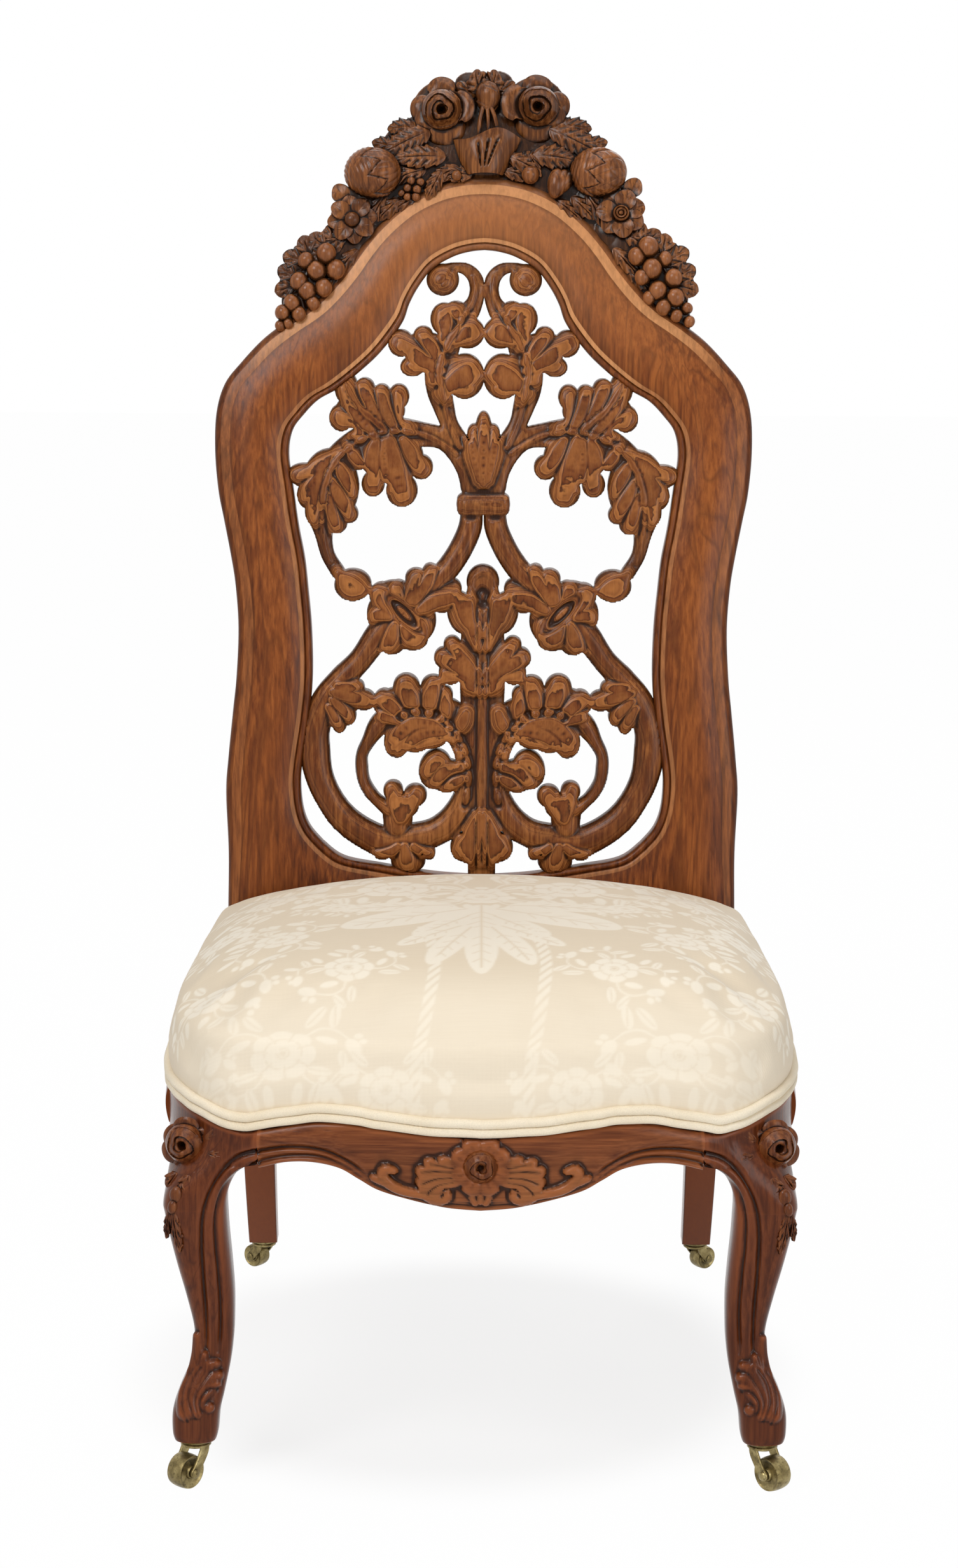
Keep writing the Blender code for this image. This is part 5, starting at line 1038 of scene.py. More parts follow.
def paintFront():
    sheet = newSheet(*frontField)
    for rows in footLeaf["lobes"] + footLeaf["tips"]:
        paintStem(sheet, [(u, v, width * 1.35) for u, v, width in rows], footLeaf["rise"], 0.2, False, 5, pillow, 0.2)
    for rows in footLeaf["flutes"]:
        scoreLine(sheet, rows, 1.1, 0.9)
    scoreLine(sheet, footLeaf["volute"], 2.0, 1.2)
    u0, v0, r = footLeaf["eye"]
    paintLobe(sheet, u0, v0, r, r, 0, 1.6, 0.6, False)
    plain = sheet["height"].copy()
    leaf = newSheet(*frontField)
    for row in cartouche["leaf"]:
        paintLobe(leaf, *row, 0)
    paintStem(leaf, cartouche["hook"], 0)
    leaf["height"] = swellOutline(leaf, 5.4, 4.0, 160)
    for rows in cartouche["veins"]:
        scoreLine(leaf, rows, 1.3, 0.9)
    sheet["height"] = np.where(leaf["field"] > 0, np.maximum(sheet["height"], leaf["height"]), sheet["height"])
    for rows in cartouche["scrolls"]:
        paintStem(sheet, rows, 3.2, 1.6, False)
    for rows in cartouche["bell"]:
        paintStem(sheet, rows, 2.2, 1.0, False)
    # the ground around the leaves is cut back a little
    grid = np.meshgrid(sheet["us"], sheet["vs"])
    near = np.clip((84 - grid[0]) / 10, 0, 1) * np.clip((275 - grid[1]) / 6, 0, 1) * np.clip((grid[1] - 226) / 2, 0, 1)
    sheet["height"] -= np.where(sheet["height"] <= plain + 0.01, 1.3, 0) * near * np.clip((grid[1] - 229) / 3, 0, 1)
    # the carved leaves are paler wood, less so towards their low rims: a painted shade there
    sheet["pale"] = near * np.clip((sheet["height"] - plain + 1.3) / 5.2, 0.2, 1)
    scoreLine(sheet, cartouche["border"], 1.2, 1.0)
    u0, v0 = cartouche["rose"]
    for k in range(cartouche["petals"]):
        turn = 2 * math.pi * (k + 0.5) / cartouche["petals"]
        out = cartouche["petalOut"]
        paintLobe(sheet, u0 + out * math.cos(turn), v0 + out * math.sin(turn), *cartouche["petal"],
                  math.degrees(turn) + 90, 2.6, 2.6, False)
        root = [(u0 + q * math.cos(turn), v0 + q * math.sin(turn)) for q in (9, 13, 17)]
        scoreLine(sheet, root, 0.8, 0.8)
    away = np.hypot(grid[0] - u0, grid[1] - v0)
    sheet["height"] = np.where(away < cartouche["ring"], 1.5, sheet["height"])
    sheet["pale"] *= np.clip((away - 19) / 5, 0.2, 1)
    for rows in (grooves["outer"], grooves["inner"]):
        near = distanceTo(sheet, smoothCurve(rows, 6), 8)
        end = np.clip((grid[0] - 80) / 12, 0, 1) * np.clip((grid[1] - 98) / 18, 0, 1)
        sheet["height"] -= grooves["depth"] * ridge(near, 0, grooves["width"]) * end
    return sheet


def seenFrom(sheet, points, key="height"):
    return sampleSheet(sheet, np.abs(points[:, 0]) * 1000, points[:, 2] * 1000, key)


def carveFront(piece, sheet, least=0.15, straight=False):
    # push the forward-facing skin out or in by the painted front, along its normals or straight forward
    points, normals, _ = meshArrays(piece.data)
    up = seenFrom(sheet, points) * np.clip((-normals[:, 1] - least) / 0.35, 0, 1) / 1000
    way = np.array([[0.0, -1.0, 0.0]]) if straight else normals
    piece.data.vertices.foreach_set("co", (points + way * up[:, None]).astype(np.float32).ravel())
    piece.data.update()


def makeFrontRail(sheet):
    last = seat["frontJoint"] * seat["steps"]
    rows, ways = wholePlan(plan[:last + 1], planWays[:last + 1])
    along = np.linspace(0, len(rows) - 1, 300)
    groove = np.array(sorted(grooves["outer"][8:])) / 1000
    railTop, apron, depth, rebate = seat["railTop"], seat["apron"], seat["railDepth"], seat["rebate"]
    rings = []
    for (x, y, top, low), way in zip(resampled(rows, along), resampled(ways, along)):
        edge = np.interp(abs(x), groove[:, 0], groove[:, 1])
        fade = np.clip((abs(x) - 0.070) / 0.03, 0, 1)
        ring = []
        for t in np.linspace(0, 1, 46):
            z = top + (low - top) * t
            swell = min(1, max(0, (top - z) / max(top - edge, 0.004)))
            bulge = seat["frontBulge"] * math.sin(math.pi * swell) * fade
            bulge += (1 - fade) * 1.4 * math.sin(math.pi * t)
            bulge -= 2.2 * max(0, (t - 0.9) / 0.1) ** 2 + 1.5 * max(0, (0.08 - t) / 0.08) ** 2
            ring.append((x + way[0] * (bulge / 1000), y + way[1] * (bulge / 1000), z))
        shelf = max(low + 0.02, 0.25)
        for inset, z in ((0.003, low), (apron * 0.5, low), (apron, low + 0.0008), (apron, shelf), (depth, shelf),
                         (depth, railTop), (rebate, railTop), (rebate, top)):
            ring.append((x - way[0] * inset, y - way[1] * inset, z))
        rings.append(ring)
    piece = newPiece("frontRail", *ringFaces(rings), railWood, slot="rosewood", stands=["front_rail"], sharp=70)
    setMark(piece.data, "inlay", seenFrom(sheet, meshArrays(piece.data)[0], "pale") * 0.55)
    carveFront(piece, sheet, 0.3, True)
    markHollows(piece, 8, 0.8)


def makeSideRails():
    first = seat["sideJoint"] * seat["steps"]
    railTop, depth, rebate = seat["railTop"], seat["railDepth"], seat["rebate"]
    for side, label in hands:
        rings = []
        for (x, y, top, low), way in zip(plan[first:], planWays[first:]):
            ring = []
            for t in np.linspace(0, 1, 30):
                z = top + (low - top) * t
                d = (z - low) * 1000
                bulge = seat["sideBulge"] * math.sin(math.pi * min(1, max(0, (top - z) / (top - low - 0.012))))
                grooved = 1.4 * ridge(d, 12, 1.3) + 1.3 * ridge(d, 6, 1.1)
                bulge -= grooved + 2.0 * max(0, (1.5 - d) / 1.5) ** 2
                ring.append((side * (x + way[0] * bulge / 1000), y + way[1] * bulge / 1000, z))
            for inset, z in ((0.003, low), (depth, low), (depth, railTop), (rebate, railTop), (rebate, top)):
                ring.append((side * (x - way[0] * inset), y - way[1] * inset, z))
            rings.append(ring)
        piece = newPiece(f"sideRail_{label}", *ringFaces(rings), sideWood, slot="rosewood",
                         stands=[f"side_rail_{label}"], sharp=60)
        markHollows(piece, 4, 0.6)


# height, inset of the outer side from the knee, width
legRows = [
    (0.0365, 0.0083, 0.0309), (0.0440, 0.0065, 0.0347), (0.0600, 0.0068, 0.0360), (0.0750, 0.0116, 0.0346),
    (0.0950, 0.0202, 0.0300), (0.1100, 0.0228, 0.0293), (0.1250, 0.0221, 0.0310), (0.1500, 0.0168, 0.0367),
    (0.1750, 0.0108, 0.0414), (0.2000, 0.0055, 0.0448), (0.2220, 0.0015, 0.0478),
]
leg = {"cant": 0.9, "square": 3.2, "outer": 88, "inner": 40, "start": 227, "turn": 191, "head": (0.257, 0.2485),
       "blend": 30, "wall": 24, "swellTop": 0.282}


def legMiddle(inset, width):
    x = seat["kneeX"] - inset - width / 2
    return x, (seat["kneeX"] - legRows[0][1] - legRows[0][2] / 2 - x) * leg["cant"]


def makeFrontLegs(sheet):
    start, turn = math.radians(leg["start"]), math.radians(leg["turn"])
    along = np.linspace(0, 1, leg["outer"])
    index = (seat["frontJoint"] + along * (seat["sideJoint"] - seat["frontJoint"])) * seat["steps"]
    outer, ways = resampled(plan, index), resampled(planWays, index)
    inside = np.arange(1, leg["inner"] + 1) / (leg["inner"] + 1)
    sidePoint = (seat["kneeX"] - seat["railDepth"], outer[-1, 1])
    frontPoint = (outer[0, 0], outer[0, 1] + seat["railDepth"])
    elbow = (sidePoint[0] - 0.012, frontPoint[1] + 0.024)
    stops = [outer[-1, :2], sidePoint, elbow, frontPoint, outer[0, :2]]
    inner = np.stack([np.interp(inside, (0, 0.125, 0.5, 0.875, 1), [s[k] for s in stops]) for k in range(2)], axis=1)
    head = np.vstack([outer[:, :2], inner])
    angles = np.concatenate([start + turn * along, start + turn + (2 * math.pi - turn) * inside])
    c, s = np.cos(angles), np.sin(angles)
    reach = (np.abs(c) ** leg["square"] + np.abs(s) ** leg["square"]) ** (-1 / leg["square"])
    rings = []
    shape = smoothCurve(legRows, 13)
    for k, (height, inset, width) in enumerate(shape):
        x, y = legMiddle(inset, width)
        soft = 1 - 0.13 * max(0, 1 - k / 4) ** 2
        section = (x + reach * c * width / 2 * soft, y + reach * s * width / 2 * soft)
        rings.append(np.column_stack([*section, np.full(len(angles), height)]))
    show = np.concatenate([outer[:, 2], np.full(leg["inner"], outer[:, 2].mean())])
    groove = np.array(sorted(grooves["outer"][7:])) / 1000
    edge = np.interp(outer[:, 0], groove[:, 0], groove[:, 1])
    fade = np.clip((0.185 - outer[:, 0]) / 0.02, 0, 1)
    # at the arch the leg turns quickly into the rails; over the knee it swells slowly
    knee = np.concatenate([np.clip(np.sin(math.pi * along) * 1.5, 0, 1), np.zeros(leg["inner"])])
    low = legRows[-1][0]
    high = np.concatenate([np.linspace(*leg["head"], leg["outer"]), np.linspace(*leg["head"][::-1], leg["inner"])])
    x, y = legMiddle(*legRows[-1][1:])
    column = np.stack([x + reach * c * legRows[-1][2] / 2, y + reach * s * legRows[-1][2] / 2], axis=1)
    for t in np.linspace(0, 1, leg["blend"] + leg["wall"])[1:]:
        z = low + (show - low) * t
        arch = np.clip((z - low) / (high - low), 0, 1)
        arch = 1 - np.sqrt(1 - arch**2)
        swell = np.clip((z - low) / (leg["swellTop"] - low), 0, 1)
        share = arch * (1 - knee) + swell**2 * (3 - 2 * swell) * knee
        flat = column * (1 - share[:, None]) + head * share[:, None]
        q = np.clip((outer[:, 2] - z[:leg["outer"]]) / np.maximum(outer[:, 2] - edge, 0.004), 0, 1)
        bulge = seat["frontBulge"] * np.sin(math.pi * q) * fade - 1.5 * max(0, (t - 0.96) / 0.04) ** 2
        flat[:leg["outer"]] += ways * bulge[:, None] / 1000
        rings.append(np.column_stack([flat, z]))
    stepped = np.vstack([outer[:, :2] - ways * seat["rebate"], inner])
    rings.append(np.column_stack([stepped, show]))
    rings.append(np.column_stack([stepped, np.full(len(angles), seat["railTop"])]))
    for side, label in hands:
        piece = newPiece(f"frontLeg_{label}", *ringFaces([ring * (side, 1, 1) for ring in rings]), legWood,
                         slot="rosewood", stands=[f"front_leg_{label}"], sharp=70)
        carveFront(piece, sheet)
        markHollows(piece, 8, 0.8)
    return piece


rearLeg = {"x": 0.194, "top": 0.2996, "sweepStart": 0.240, "foot": 0.027, "y": 0.420, "sweep": 0.080, "side": 0.030,
           "footSide": 0.025, "ease": 0.0016}


def makeRearLegs():
    top, low, start, ease = rearLeg["top"], rearLeg["foot"], rearLeg["sweepStart"], rearLeg["ease"]
    heights = np.concatenate([np.linspace(top, start, 8), np.linspace(start, low, 36)[1:]])
    for side, label in hands:
        rings = []
        for height in heights:
            t = max(0, (start - height) / (start - low))
            half = (rearLeg["side"] + (rearLeg["footSide"] - rearLeg["side"]) * t) / 2
            y = rearLeg["y"] + rearLeg["sweep"] * t**1.5
            flat = half - ease
            ring = []
            for quarter, (cx, cy) in enumerate(((1, -1), (1, 1), (-1, 1), (-1, -1))):
                for a in np.radians(np.linspace(-90, 0, 5) + 90 * quarter):
                    ring.append((side * (rearLeg["x"] + cx * flat + ease * math.cos(a)),
                                 y + cy * flat + ease * math.sin(a), height))
            rings.append(ring)
        piece = newPiece(f"rearLeg_{label}", *ringFaces(rings), rearWood, slot="dark_rosewood",
                         stands=[f"rear_leg_{label}"], sharp=50)
        markHollows(piece, 2, 0.5)


sideWood = makeWood("sideRailRosewood", "leg", "Y")
rearWood = makeWood("rearLegRosewood", "leg")
frontSheet = paintFront()
makeFrontRail(frontSheet)
makeSideRails()
frontLegs = makeFrontLegs(frontSheet)
makeRearLegs()
print("seat frame and legs made")


# small carved shapes in millimetres, looking along +Z, gathered in piles and placed by matrices
def toPile(pile, points, faces, place=None):
    points = np.asarray(points, float)
    if place is not None:
        turn = np.array(place)
        points = points @ turn[:3, :3].T + turn[:3, 3]
    start = sum(len(p) for p in pile["points"])
    pile["points"].append(points)
    pile["faces"] += [tuple(start + k for k in face) for face in faces]


def newPile():
    return {"points": [], "faces": []}


def standing(spot, facing, right, spin):
    # millimetre frame at a spot: X to the right, Z out along its facing
    axes = Matrix((right, facing.cross(right), facing)).transposed().to_4x4()
    return Matrix.Translation(spot) @ axes @ spin @ Matrix.Scale(0.001, 4)


def pilePiece(name, pile, material, slot, stands, rounds=8, full=0.5):
    piece = newPiece(name, np.vstack(pile["points"]), pile["faces"], material, slot=slot, stands=stands, sharp=55)
    markHollows(piece, rounds, full)
    return piece


def crestPiece(name, pile, low=7, wood=None, rounds=8, full=0.5):
    piece = pilePiece(name, pile, wood or crestWood, "carved_rosewood", ["crest_garland"], rounds, full)
    # painted shade on what lies deep in the garland
    points = np.vstack(pile["points"])
    out = (backFace(points[:, 2]) - points[:, 1]) * 1000 + crest["edgeDepth"]
    deep = np.clip((low - out) / low, -1, 0.62) * (out < low)
    setMark(piece.data, "hollow", np.maximum(readHollow(piece), deep))
    return piece


def shellPatch(grid, thick):
    # closed thin solid from a grid of front points
    down, across = np.gradient(grid, axis=0), np.gradient(grid, axis=1)
    normal = np.cross(down, across)
    normal /= np.maximum(np.linalg.norm(normal, axis=2), 1e-9)[..., None]
    if normal[..., 2].mean() < 0:
        normal = -normal
    m, n = grid.shape[:2]
    points = np.vstack([grid.reshape(-1, 3), (grid - normal * thick).reshape(-1, 3)])
    number = np.arange(m * n).reshape(m, n)
    quads = np.stack([number[:-1, :-1], number[:-1, 1:], number[1:, 1:], number[1:, :-1]], axis=2).reshape(-1, 4)
    rim = np.concatenate([number[0, :-1], number[:-1, -1], number[-1, :0:-1], number[:0:-1, 0]])
    faces = quads.tolist() + (quads[:, ::-1] + m * n).tolist()
    faces += [(a, b, b + m * n, a + m * n) for a, b in zip(rim, np.roll(rim, -1))]
    return points, faces


def capped(rings, pole):
    # rings of a bulging shape with a pole at the top and a fanned underside
    count = len(rings[0])
    points = [pole] + [p for ring in rings for p in ring]
    faces = [(0, 1 + k, 1 + (k + 1) % count) for k in range(count)]
    for r in range(len(rings) - 1):
        for k in range(count):
            a, b = 1 + r * count + k, 1 + r * count + (k + 1) % count
            faces.append((a, b, b + count, a + count))
    under, start = len(points), 1 + (len(rings) - 1) * count
    points.append(np.mean(points[start:start + count], axis=0))
    faces += [(under, start + (k + 1) % count, start + k) for k in range(count)]
    return points, faces


def roseBall(radius, deep, turns=3.3, sign=1, hole=0.2):
    # wrapped petals as one spiral with a raised lip, round a hollow heart
    theta = np.linspace(0, 2 * math.pi, 97)[:-1]
    rings = []
    for q in np.linspace(0.02, 1.0, 44):
        spiral = turns * q - sign * theta / (2 * math.pi) + 0.13 * np.sin(3 * theta + 1)
        spiral = (spiral + 0.06 * np.sin(5 * theta)) % 1.0
        lip = (1 - spiral) ** 1.6 * (0.35 + 0.65 * math.sin(math.pi * min(1, q * 1.15)))
        up = deep * math.sqrt(max(0, 1 - (0.97 * q) ** 2)) + deep * 0.17 * lip - deep * 0.75 * ridge(q, 0, hole)
        out = radius * q * (1 + 0.035 * lip)
        rings.append(np.stack([out * np.cos(theta), out * np.sin(theta), up], axis=1))
    rings.append(rings[-1] * (0.9, 0.9, 0) + (0, 0, -4))
    return capped(rings, (0, 0, deep * 0.25))


def flaredPetal(near, far, middle, half, rise, curl, ruffle=0.6):
    # a wide outer petal from radius near to far round an angle, its rim curled back
    s, t = np.meshgrid(np.linspace(-1, 1, 19), np.linspace(0, 1, 12), indexing="ij")
    angle = math.radians(middle) + s * math.radians(half) * (0.72 + 0.28 * np.sin(math.pi * np.minimum(1, t + 0.25)))
    out = near + (far - near) * t * (1 - 0.22 * s**2 - 0.10 * s**4)
    up = rise * np.sin(t * math.pi * 0.62) - curl * t**4 + ruffle * np.sin(s * 5.2 + middle) * t**2 - 1.2 * (s**2) * t
    return shellPatch(np.stack([out * np.cos(angle), out * np.sin(angle), up], axis=2), 1.5)


def leafShell(long, wide, teeth, arch, droop, bend=0.0, point=0.75):
    # a leaf along +X with a toothed edge, a midrib and side veins
    s, t = np.meshgrid(np.linspace(-1, 1, 23), np.linspace(0, 1, 37), indexing="ij")
    saw, swell = 1 - (t * teeth) % 1.0, np.sin(math.pi * t)
    width = wide * np.sin(math.pi * t**point) ** 0.75 * (1 - 0.30 * saw * np.clip(swell * 1.6, 0, 1))
    x = long * (t + 0.10 * np.abs(s) * swell)
    y = s * width + bend * long * t**2
    veins = 0.75 * np.cos(2 * math.pi * (teeth * t - np.abs(s))) * np.clip(np.abs(s) * 2, 0, 1) * swell
    z = arch * 4 * t * (1 - t) - droop * s**2 * swell + veins - ridge(s, 0, 0.09) * swell
    return shellPatch(np.stack([x, y, z], axis=2), 2.2)


def daisyPetal(long, wide, start, lift):
    s, t = np.meshgrid(np.linspace(-1, 1, 15), np.linspace(0, 1, 14), indexing="ij")
    width = wide * np.sin(math.pi * (0.10 + 0.82 * t)) ** 0.65
    x = start + (long - start) * (t - 0.05 * s**2 * t)
    cup = lift + 2.6 * np.sin(math.pi * (0.15 + 0.75 * t))
    z = cup + 1.5 * s**2 * np.sin(math.pi * t) - 0.55 * ridge(s, 0, 0.13) * t
    return shellPatch(np.stack([x, s * width, z], axis=2), 2.0)


def fruitBall(rx, ry, rz, marks, tip):
    # an egg seen from the front whose axis lies along an angle in the picture; marks gives the skin's relief
    polar, around = np.linspace(0.03, math.pi - 0.03, 84), np.linspace(0, 2 * math.pi, 193)[:-1]
    c, s = math.cos(math.radians(tip)), math.sin(math.radians(tip))
    rings = []
    for a in polar:
        lift = 1 + marks(a, around) / 20
        p, q, r = np.cos(a) * lift, np.sin(a) * np.cos(around) * lift, np.sin(a) * np.sin(around) * lift
        rings.append(np.stack([rx * (p * c - q * s), ry * (p * s + q * c), rz * r], axis=1))
    return ringFaces(rings)


def roundDrop(rx, ry, rz, sides=24, rows=14):
    around = np.linspace(0, 2 * math.pi, sides + 1)[:-1]
    rings = []
    for a in np.linspace(0.12, math.pi - 0.12, rows):
        out = math.sin(a)
        rings.append([(rx * out * math.cos(b), ry * out * math.sin(b), rz * math.cos(a)) for b in around])
    return ringFaces(rings)


def bentTube(path, sides=10, steps=6):
    # round stalk through (x, y, z, radius) rows
    rows = smoothCurve(path, steps)
    around = np.linspace(0, 2 * math.pi, sides + 1)[:-1]
    rings = []
    for row, way in zip(rows, np.gradient(rows[:, :3], axis=0)):
        way = way / np.linalg.norm(way)
        side = np.cross(way, (0.3, 0.2, 0.93))
        side /= np.linalg.norm(side)
        over = np.cross(way, side)
        rings.append([row[:3] + row[3] * (side * math.cos(b) + over * math.sin(b)) for b in around])
    return ringFaces(rings)


knee = {
    # on the right leg, millimetres from the middle and above the floor, seen from the front
    "rose": (219, 267), "ball": (15.0, 12), "faces": 14, "tilt": 4,
    "petals": [(-95, 66, 23, 1.5, 3), (175, 60, 24, 3.0, 2), (90, 60, 20, 3.0, 2), (20, 60, 19, 1.5, 3),
               (-35, 50, 22, 1.0, 3)],
    # leaves: place, way, length, half width, teeth
    "leaves": [(205, 273, 165, 21, 6.5, 3), (203, 264, 195, 15, 4.5, 2), (216, 248, -70, 15, 7, 2),
               (226, 247, -55, 14, 6.5, 2), (222, 242, -95, 13, 6.0, 2)],
    "bell": [(226, 234, 4.8, 6.5), (228.5, 225, 3.6, 5.5)],
    "drop": [(229, 224, -97, 36, 4.6, 4), (231, 222, -80, 24, 3.4, 3)],
}


def makeKnees():
    points, _, _ = meshArrays(frontLegs.data)
    faces = [tuple(face.vertices) for face in frontLegs.data.polygons]
    skin = BVHTree.FromPolygons(points.tolist(), faces)

    def kneeSpot(u, v, out, turn=0.0, faces=knee["faces"], tilt=knee["tilt"]):
        hit = skin.ray_cast(Vector((u / 1000, -0.6, v / 1000)), Vector((0, 1, 0)))[0]
        if hit is None:
            hit = skin.find_nearest(Vector((u / 1000, frontLine, v / 1000)))[0]
        a = math.radians(faces)
        facing = Vector((math.sin(a), -math.cos(a), math.sin(math.radians(tilt)))).normalized()
        right = Vector((math.cos(a), math.sin(a), 0))
        return standing(hit - Vector((0, frontLine, 0)) + facing * out / 1000, facing, right, turned(turn, "Z"))

    pile = newPile()
    toPile(pile, *roseBall(*knee["ball"], 2.6), kneeSpot(*knee["rose"], 5))
    for middle, half, reach, rise, curl in knee["petals"]:
        toPile(pile, *flaredPetal(6, reach, middle, half, rise, curl, 0.4), kneeSpot(*knee["rose"], 4))
    for u, v, turn, long, wide, teeth in knee["leaves"]:
        toPile(pile, *leafShell(long, wide, teeth, 2.0, 2.0), kneeSpot(u, v, 0.8, turn))
    for u, v, rx, ry in knee["bell"]:
        toPile(pile, *roundDrop(rx, ry, 3.2), kneeSpot(u, v, 0.4, 8))
    for u, v, turn, long, wide, teeth in knee["drop"]:
        toPile(pile, *leafShell(long, wide, teeth, 1.5, 1.5), kneeSpot(u, v, 0.2, turn, 20, -6))
    for side, label in hands:
        half = {"points": [p * (side, 1, 1) for p in pile["points"]], "faces": pile["faces"]}
        markCrevices([pilePiece(f"kneeRose_{label}", half, kneeWood, "rosewood", [f"front_leg_{label}"])], 0.010)
    pile = newPile()
    y = -0.0380 - seat["frontBulge"] / 2000
    place = Matrix.Translation((0, y, cartouche["rose"][1] / 1000)) @ turned(90, "X") @ Matrix.Scale(0.001, 4)
    toPile(pile, *roseBall(*cartouche["ball"], 2.6, 1, 0.34), place)
    markCrevices([pilePiece("cartoucheRose", pile, kneeWood, "rosewood", ["front_rail"])], 0.008)


kneeWood = makeWood("kneeRosewood", "knee")
makeKnees()
print("knee roses made")


crest = {"edgeDepth": 10.0, "rearDepth": 26.0, "field": (-186, 186, 834, 1066), "step": 1.3, "end": 176}
# ground behind the flowers, as lobes
crestGround = [
    (0, 1034, 12, 22, 0), (-13, 1046, 13, 10, 0), (11, 1047, 13, 10, 0), (-36, 1022, 27, 27, 0), (43, 1025, 27, 27, 0),
    (0, 998, 58, 30, 0), (-64, 1000, 28, 16, 30), (68, 1002, 32, 16, -30), (-58, 978, 34, 22, 30),
    (58, 978, 34, 22, -30), (-94, 970, 22, 21, 0), (96, 971, 22, 21, 0), (-98, 948, 22, 22, 0), (100, 950, 22, 22, 0),
    (-113, 932, 19, 19, 0), (116, 938, 19, 19, 0), (-122, 912, 20, 18, 0), (124, 914, 20, 18, 0),
    (-140, 900, 22, 17, 30), (144, 902, 23, 17, -30), (-147, 880, 17, 20, 0), (150, 882, 17, 20, 0),
    (-159, 862, 14, 15, 30), (161, 866, 13, 15, -30), (-168, 850, 9, 9, 0), (168, 853, 9, 9, 0), (18, 1030, 10, 16, 0),
    (-14, 1028, 10, 16, 0), (106, 924, 12, 14, 0), (-104, 922, 12, 14, 0),
]


def crestSpot(u, v, out, turn=0.0, lean=0.0, swing=0.0):
    # millimetre frame on the crest: X across, Y up the back, Z out of it
    z = v / 1000
    slope = float(backFace(z + 0.001) - backFace(z - 0.001)) / 0.002
    facing = Vector((0, -1, slope)).normalized()
    spot = Vector((u / 1000, float(backFace(z)) + (crest["edgeDepth"] - out) / 1000, z))
    return standing(spot, facing, Vector((1, 0, 0)), turned(turn, "Z") @ turned(swing, "Y") @ turned(lean, "X"))


def arcBelow(u):
    # height of the surround's upper edge
    outer = np.array([pair[0] for pair in surroundPairs[20:]][::-1], float)
    return np.interp(np.abs(u), outer[:, 0], outer[:, 1])


def makeCrestGround():
    sheet = newSheet(*crest["field"], crest["step"])
    for u, v, a, b, turn in crestGround:
        paintLobe(sheet, u, v, a, b, turn, 5.0, 0.5)
    grid = np.meshgrid(sheet["us"], sheet["vs"])
    arc, left = arcBelow(grid[0]), crest["end"] - np.abs(grid[0])
    band = np.minimum(grid[1] - arc + 3.0, left)
    strip = np.minimum(band, arc + 4 + np.clip(left * 0.5, 0, 12) - grid[1])
    sheet["field"] = np.minimum(np.maximum(sheet["field"], strip), band)
    sheet["height"] = np.where(strip > 0, np.maximum(sheet["height"], 2.0), sheet["height"])
    points, faces, level = boardMesh(sheet, crest)
    piece = newPiece("crestGround", points, faces, crestWood, slot="carved_rosewood", stands=["crest_garland"],
                     sharp=60)
    # painted shade: the ground behind the flowers is darkened by its height
    setMark(piece.data, "hollow", np.clip(np.array(level) / 4, 0, 0.62))
    return piece


roses = {
    # place, way of the spiral, outer petals: middle angle, half angle, reach, rise, curl
    "left": ((-35.5, 1024), 1, [(-82, 70, 31, 1.0, 5), (-150, 45, 27, 2.5, 4), (172, 46, 29, 1.0, 4),
                                (95, 46, 30, 1.5, 3), (8, 58, 27, 6.5, 1.5)]),
    "right": ((44, 1027), -1, [(-88, 74, 30.5, 1.0, 5), (-28, 45, 27, 2.5, 4), (8, 46, 29, 1.0, 4),
                               (88, 50, 29, 1.5, 3), (172, 58, 31, 6.5, 1.5)]),
}


def makeRoses():
    pile = newPile()
    for (u, v), sign, petals in roses.values():
        toPile(pile, *roseBall(17.5, 15.5, 3.0, sign),
               crestSpot(u - 1.5 * sign, v, 9, 40 if sign > 0 else -60, 10, -12 * sign))
        for middle, half, reach, rise, curl in petals:
            toPile(pile, *flaredPetal(10, reach, middle, half, rise, curl), crestSpot(u, v, 8.5))
    return crestPiece("crestRoses", pile)


# the right daisy's ringed heart: radius, height
daisyHeart = [(0, 4.2), (1.7, 4.0), (2.3, 2.6), (3.0, 4.2), (4.2, 4.6), (4.8, 3.0), (5.6, 4.2), (6.6, 3.6), (7.0, 1.0),
              (5, -3), (0, -3)]


def makeDaisies():
    pile = newPile()
    for u, v, count, start in ((-113, 932, 8, 8), (116.5, 938, 7, 20)):
        for k in range(count):
            turn = start + 360 * k / count
            toPile(pile, *daisyPetal(21.5, 7.8 if count == 8 else 9.2, 4, -0.5 + 0.9 * (k % 2)),
                   crestSpot(u, v, 9.0, turn))
        if count == 8:
            toPile(pile, *roundDrop(6.6, 6.6, 5.0), crestSpot(u, v, 11.5))
        else:
            toPile(pile, *turnedShape(daisyHeart, 40), crestSpot(u, v, 11))
    for u, v, turn in ((-122, 952, 120), (-108, 953, 75), (126, 958, 62), (108, 956, 105)):
        toPile(pile, *daisyPetal(19, 8.0, 1, 0),
               crestSpot(u - 8 * math.cos(math.radians(turn)), v - 8 * math.sin(math.radians(turn)), 5.0, turn))
    return crestPiece("crestDaisies", pile)


def cappedFruit(a, around, start, point, skin):
    # a fruit's skin that comes out of a star-edged cap
    edge = start + point * np.abs(((around / (2 * math.pi) * 7) % 1.0) * 2 - 1)
    groove = 1.3 * ridge(a, edge, 0.05)
    return np.where(a < edge, 1.1 + 0.22 * np.sin(a * 34), skin) - groove


def pomegranate(a, around):
    stripe = 0.75 * np.abs(np.sin(around * 9 + 0.5 * np.sin(a * 3))) ** 0.6 * math.sin(a)
    return cappedFruit(a, around, 1.30, 0.62, stripe - 0.4)


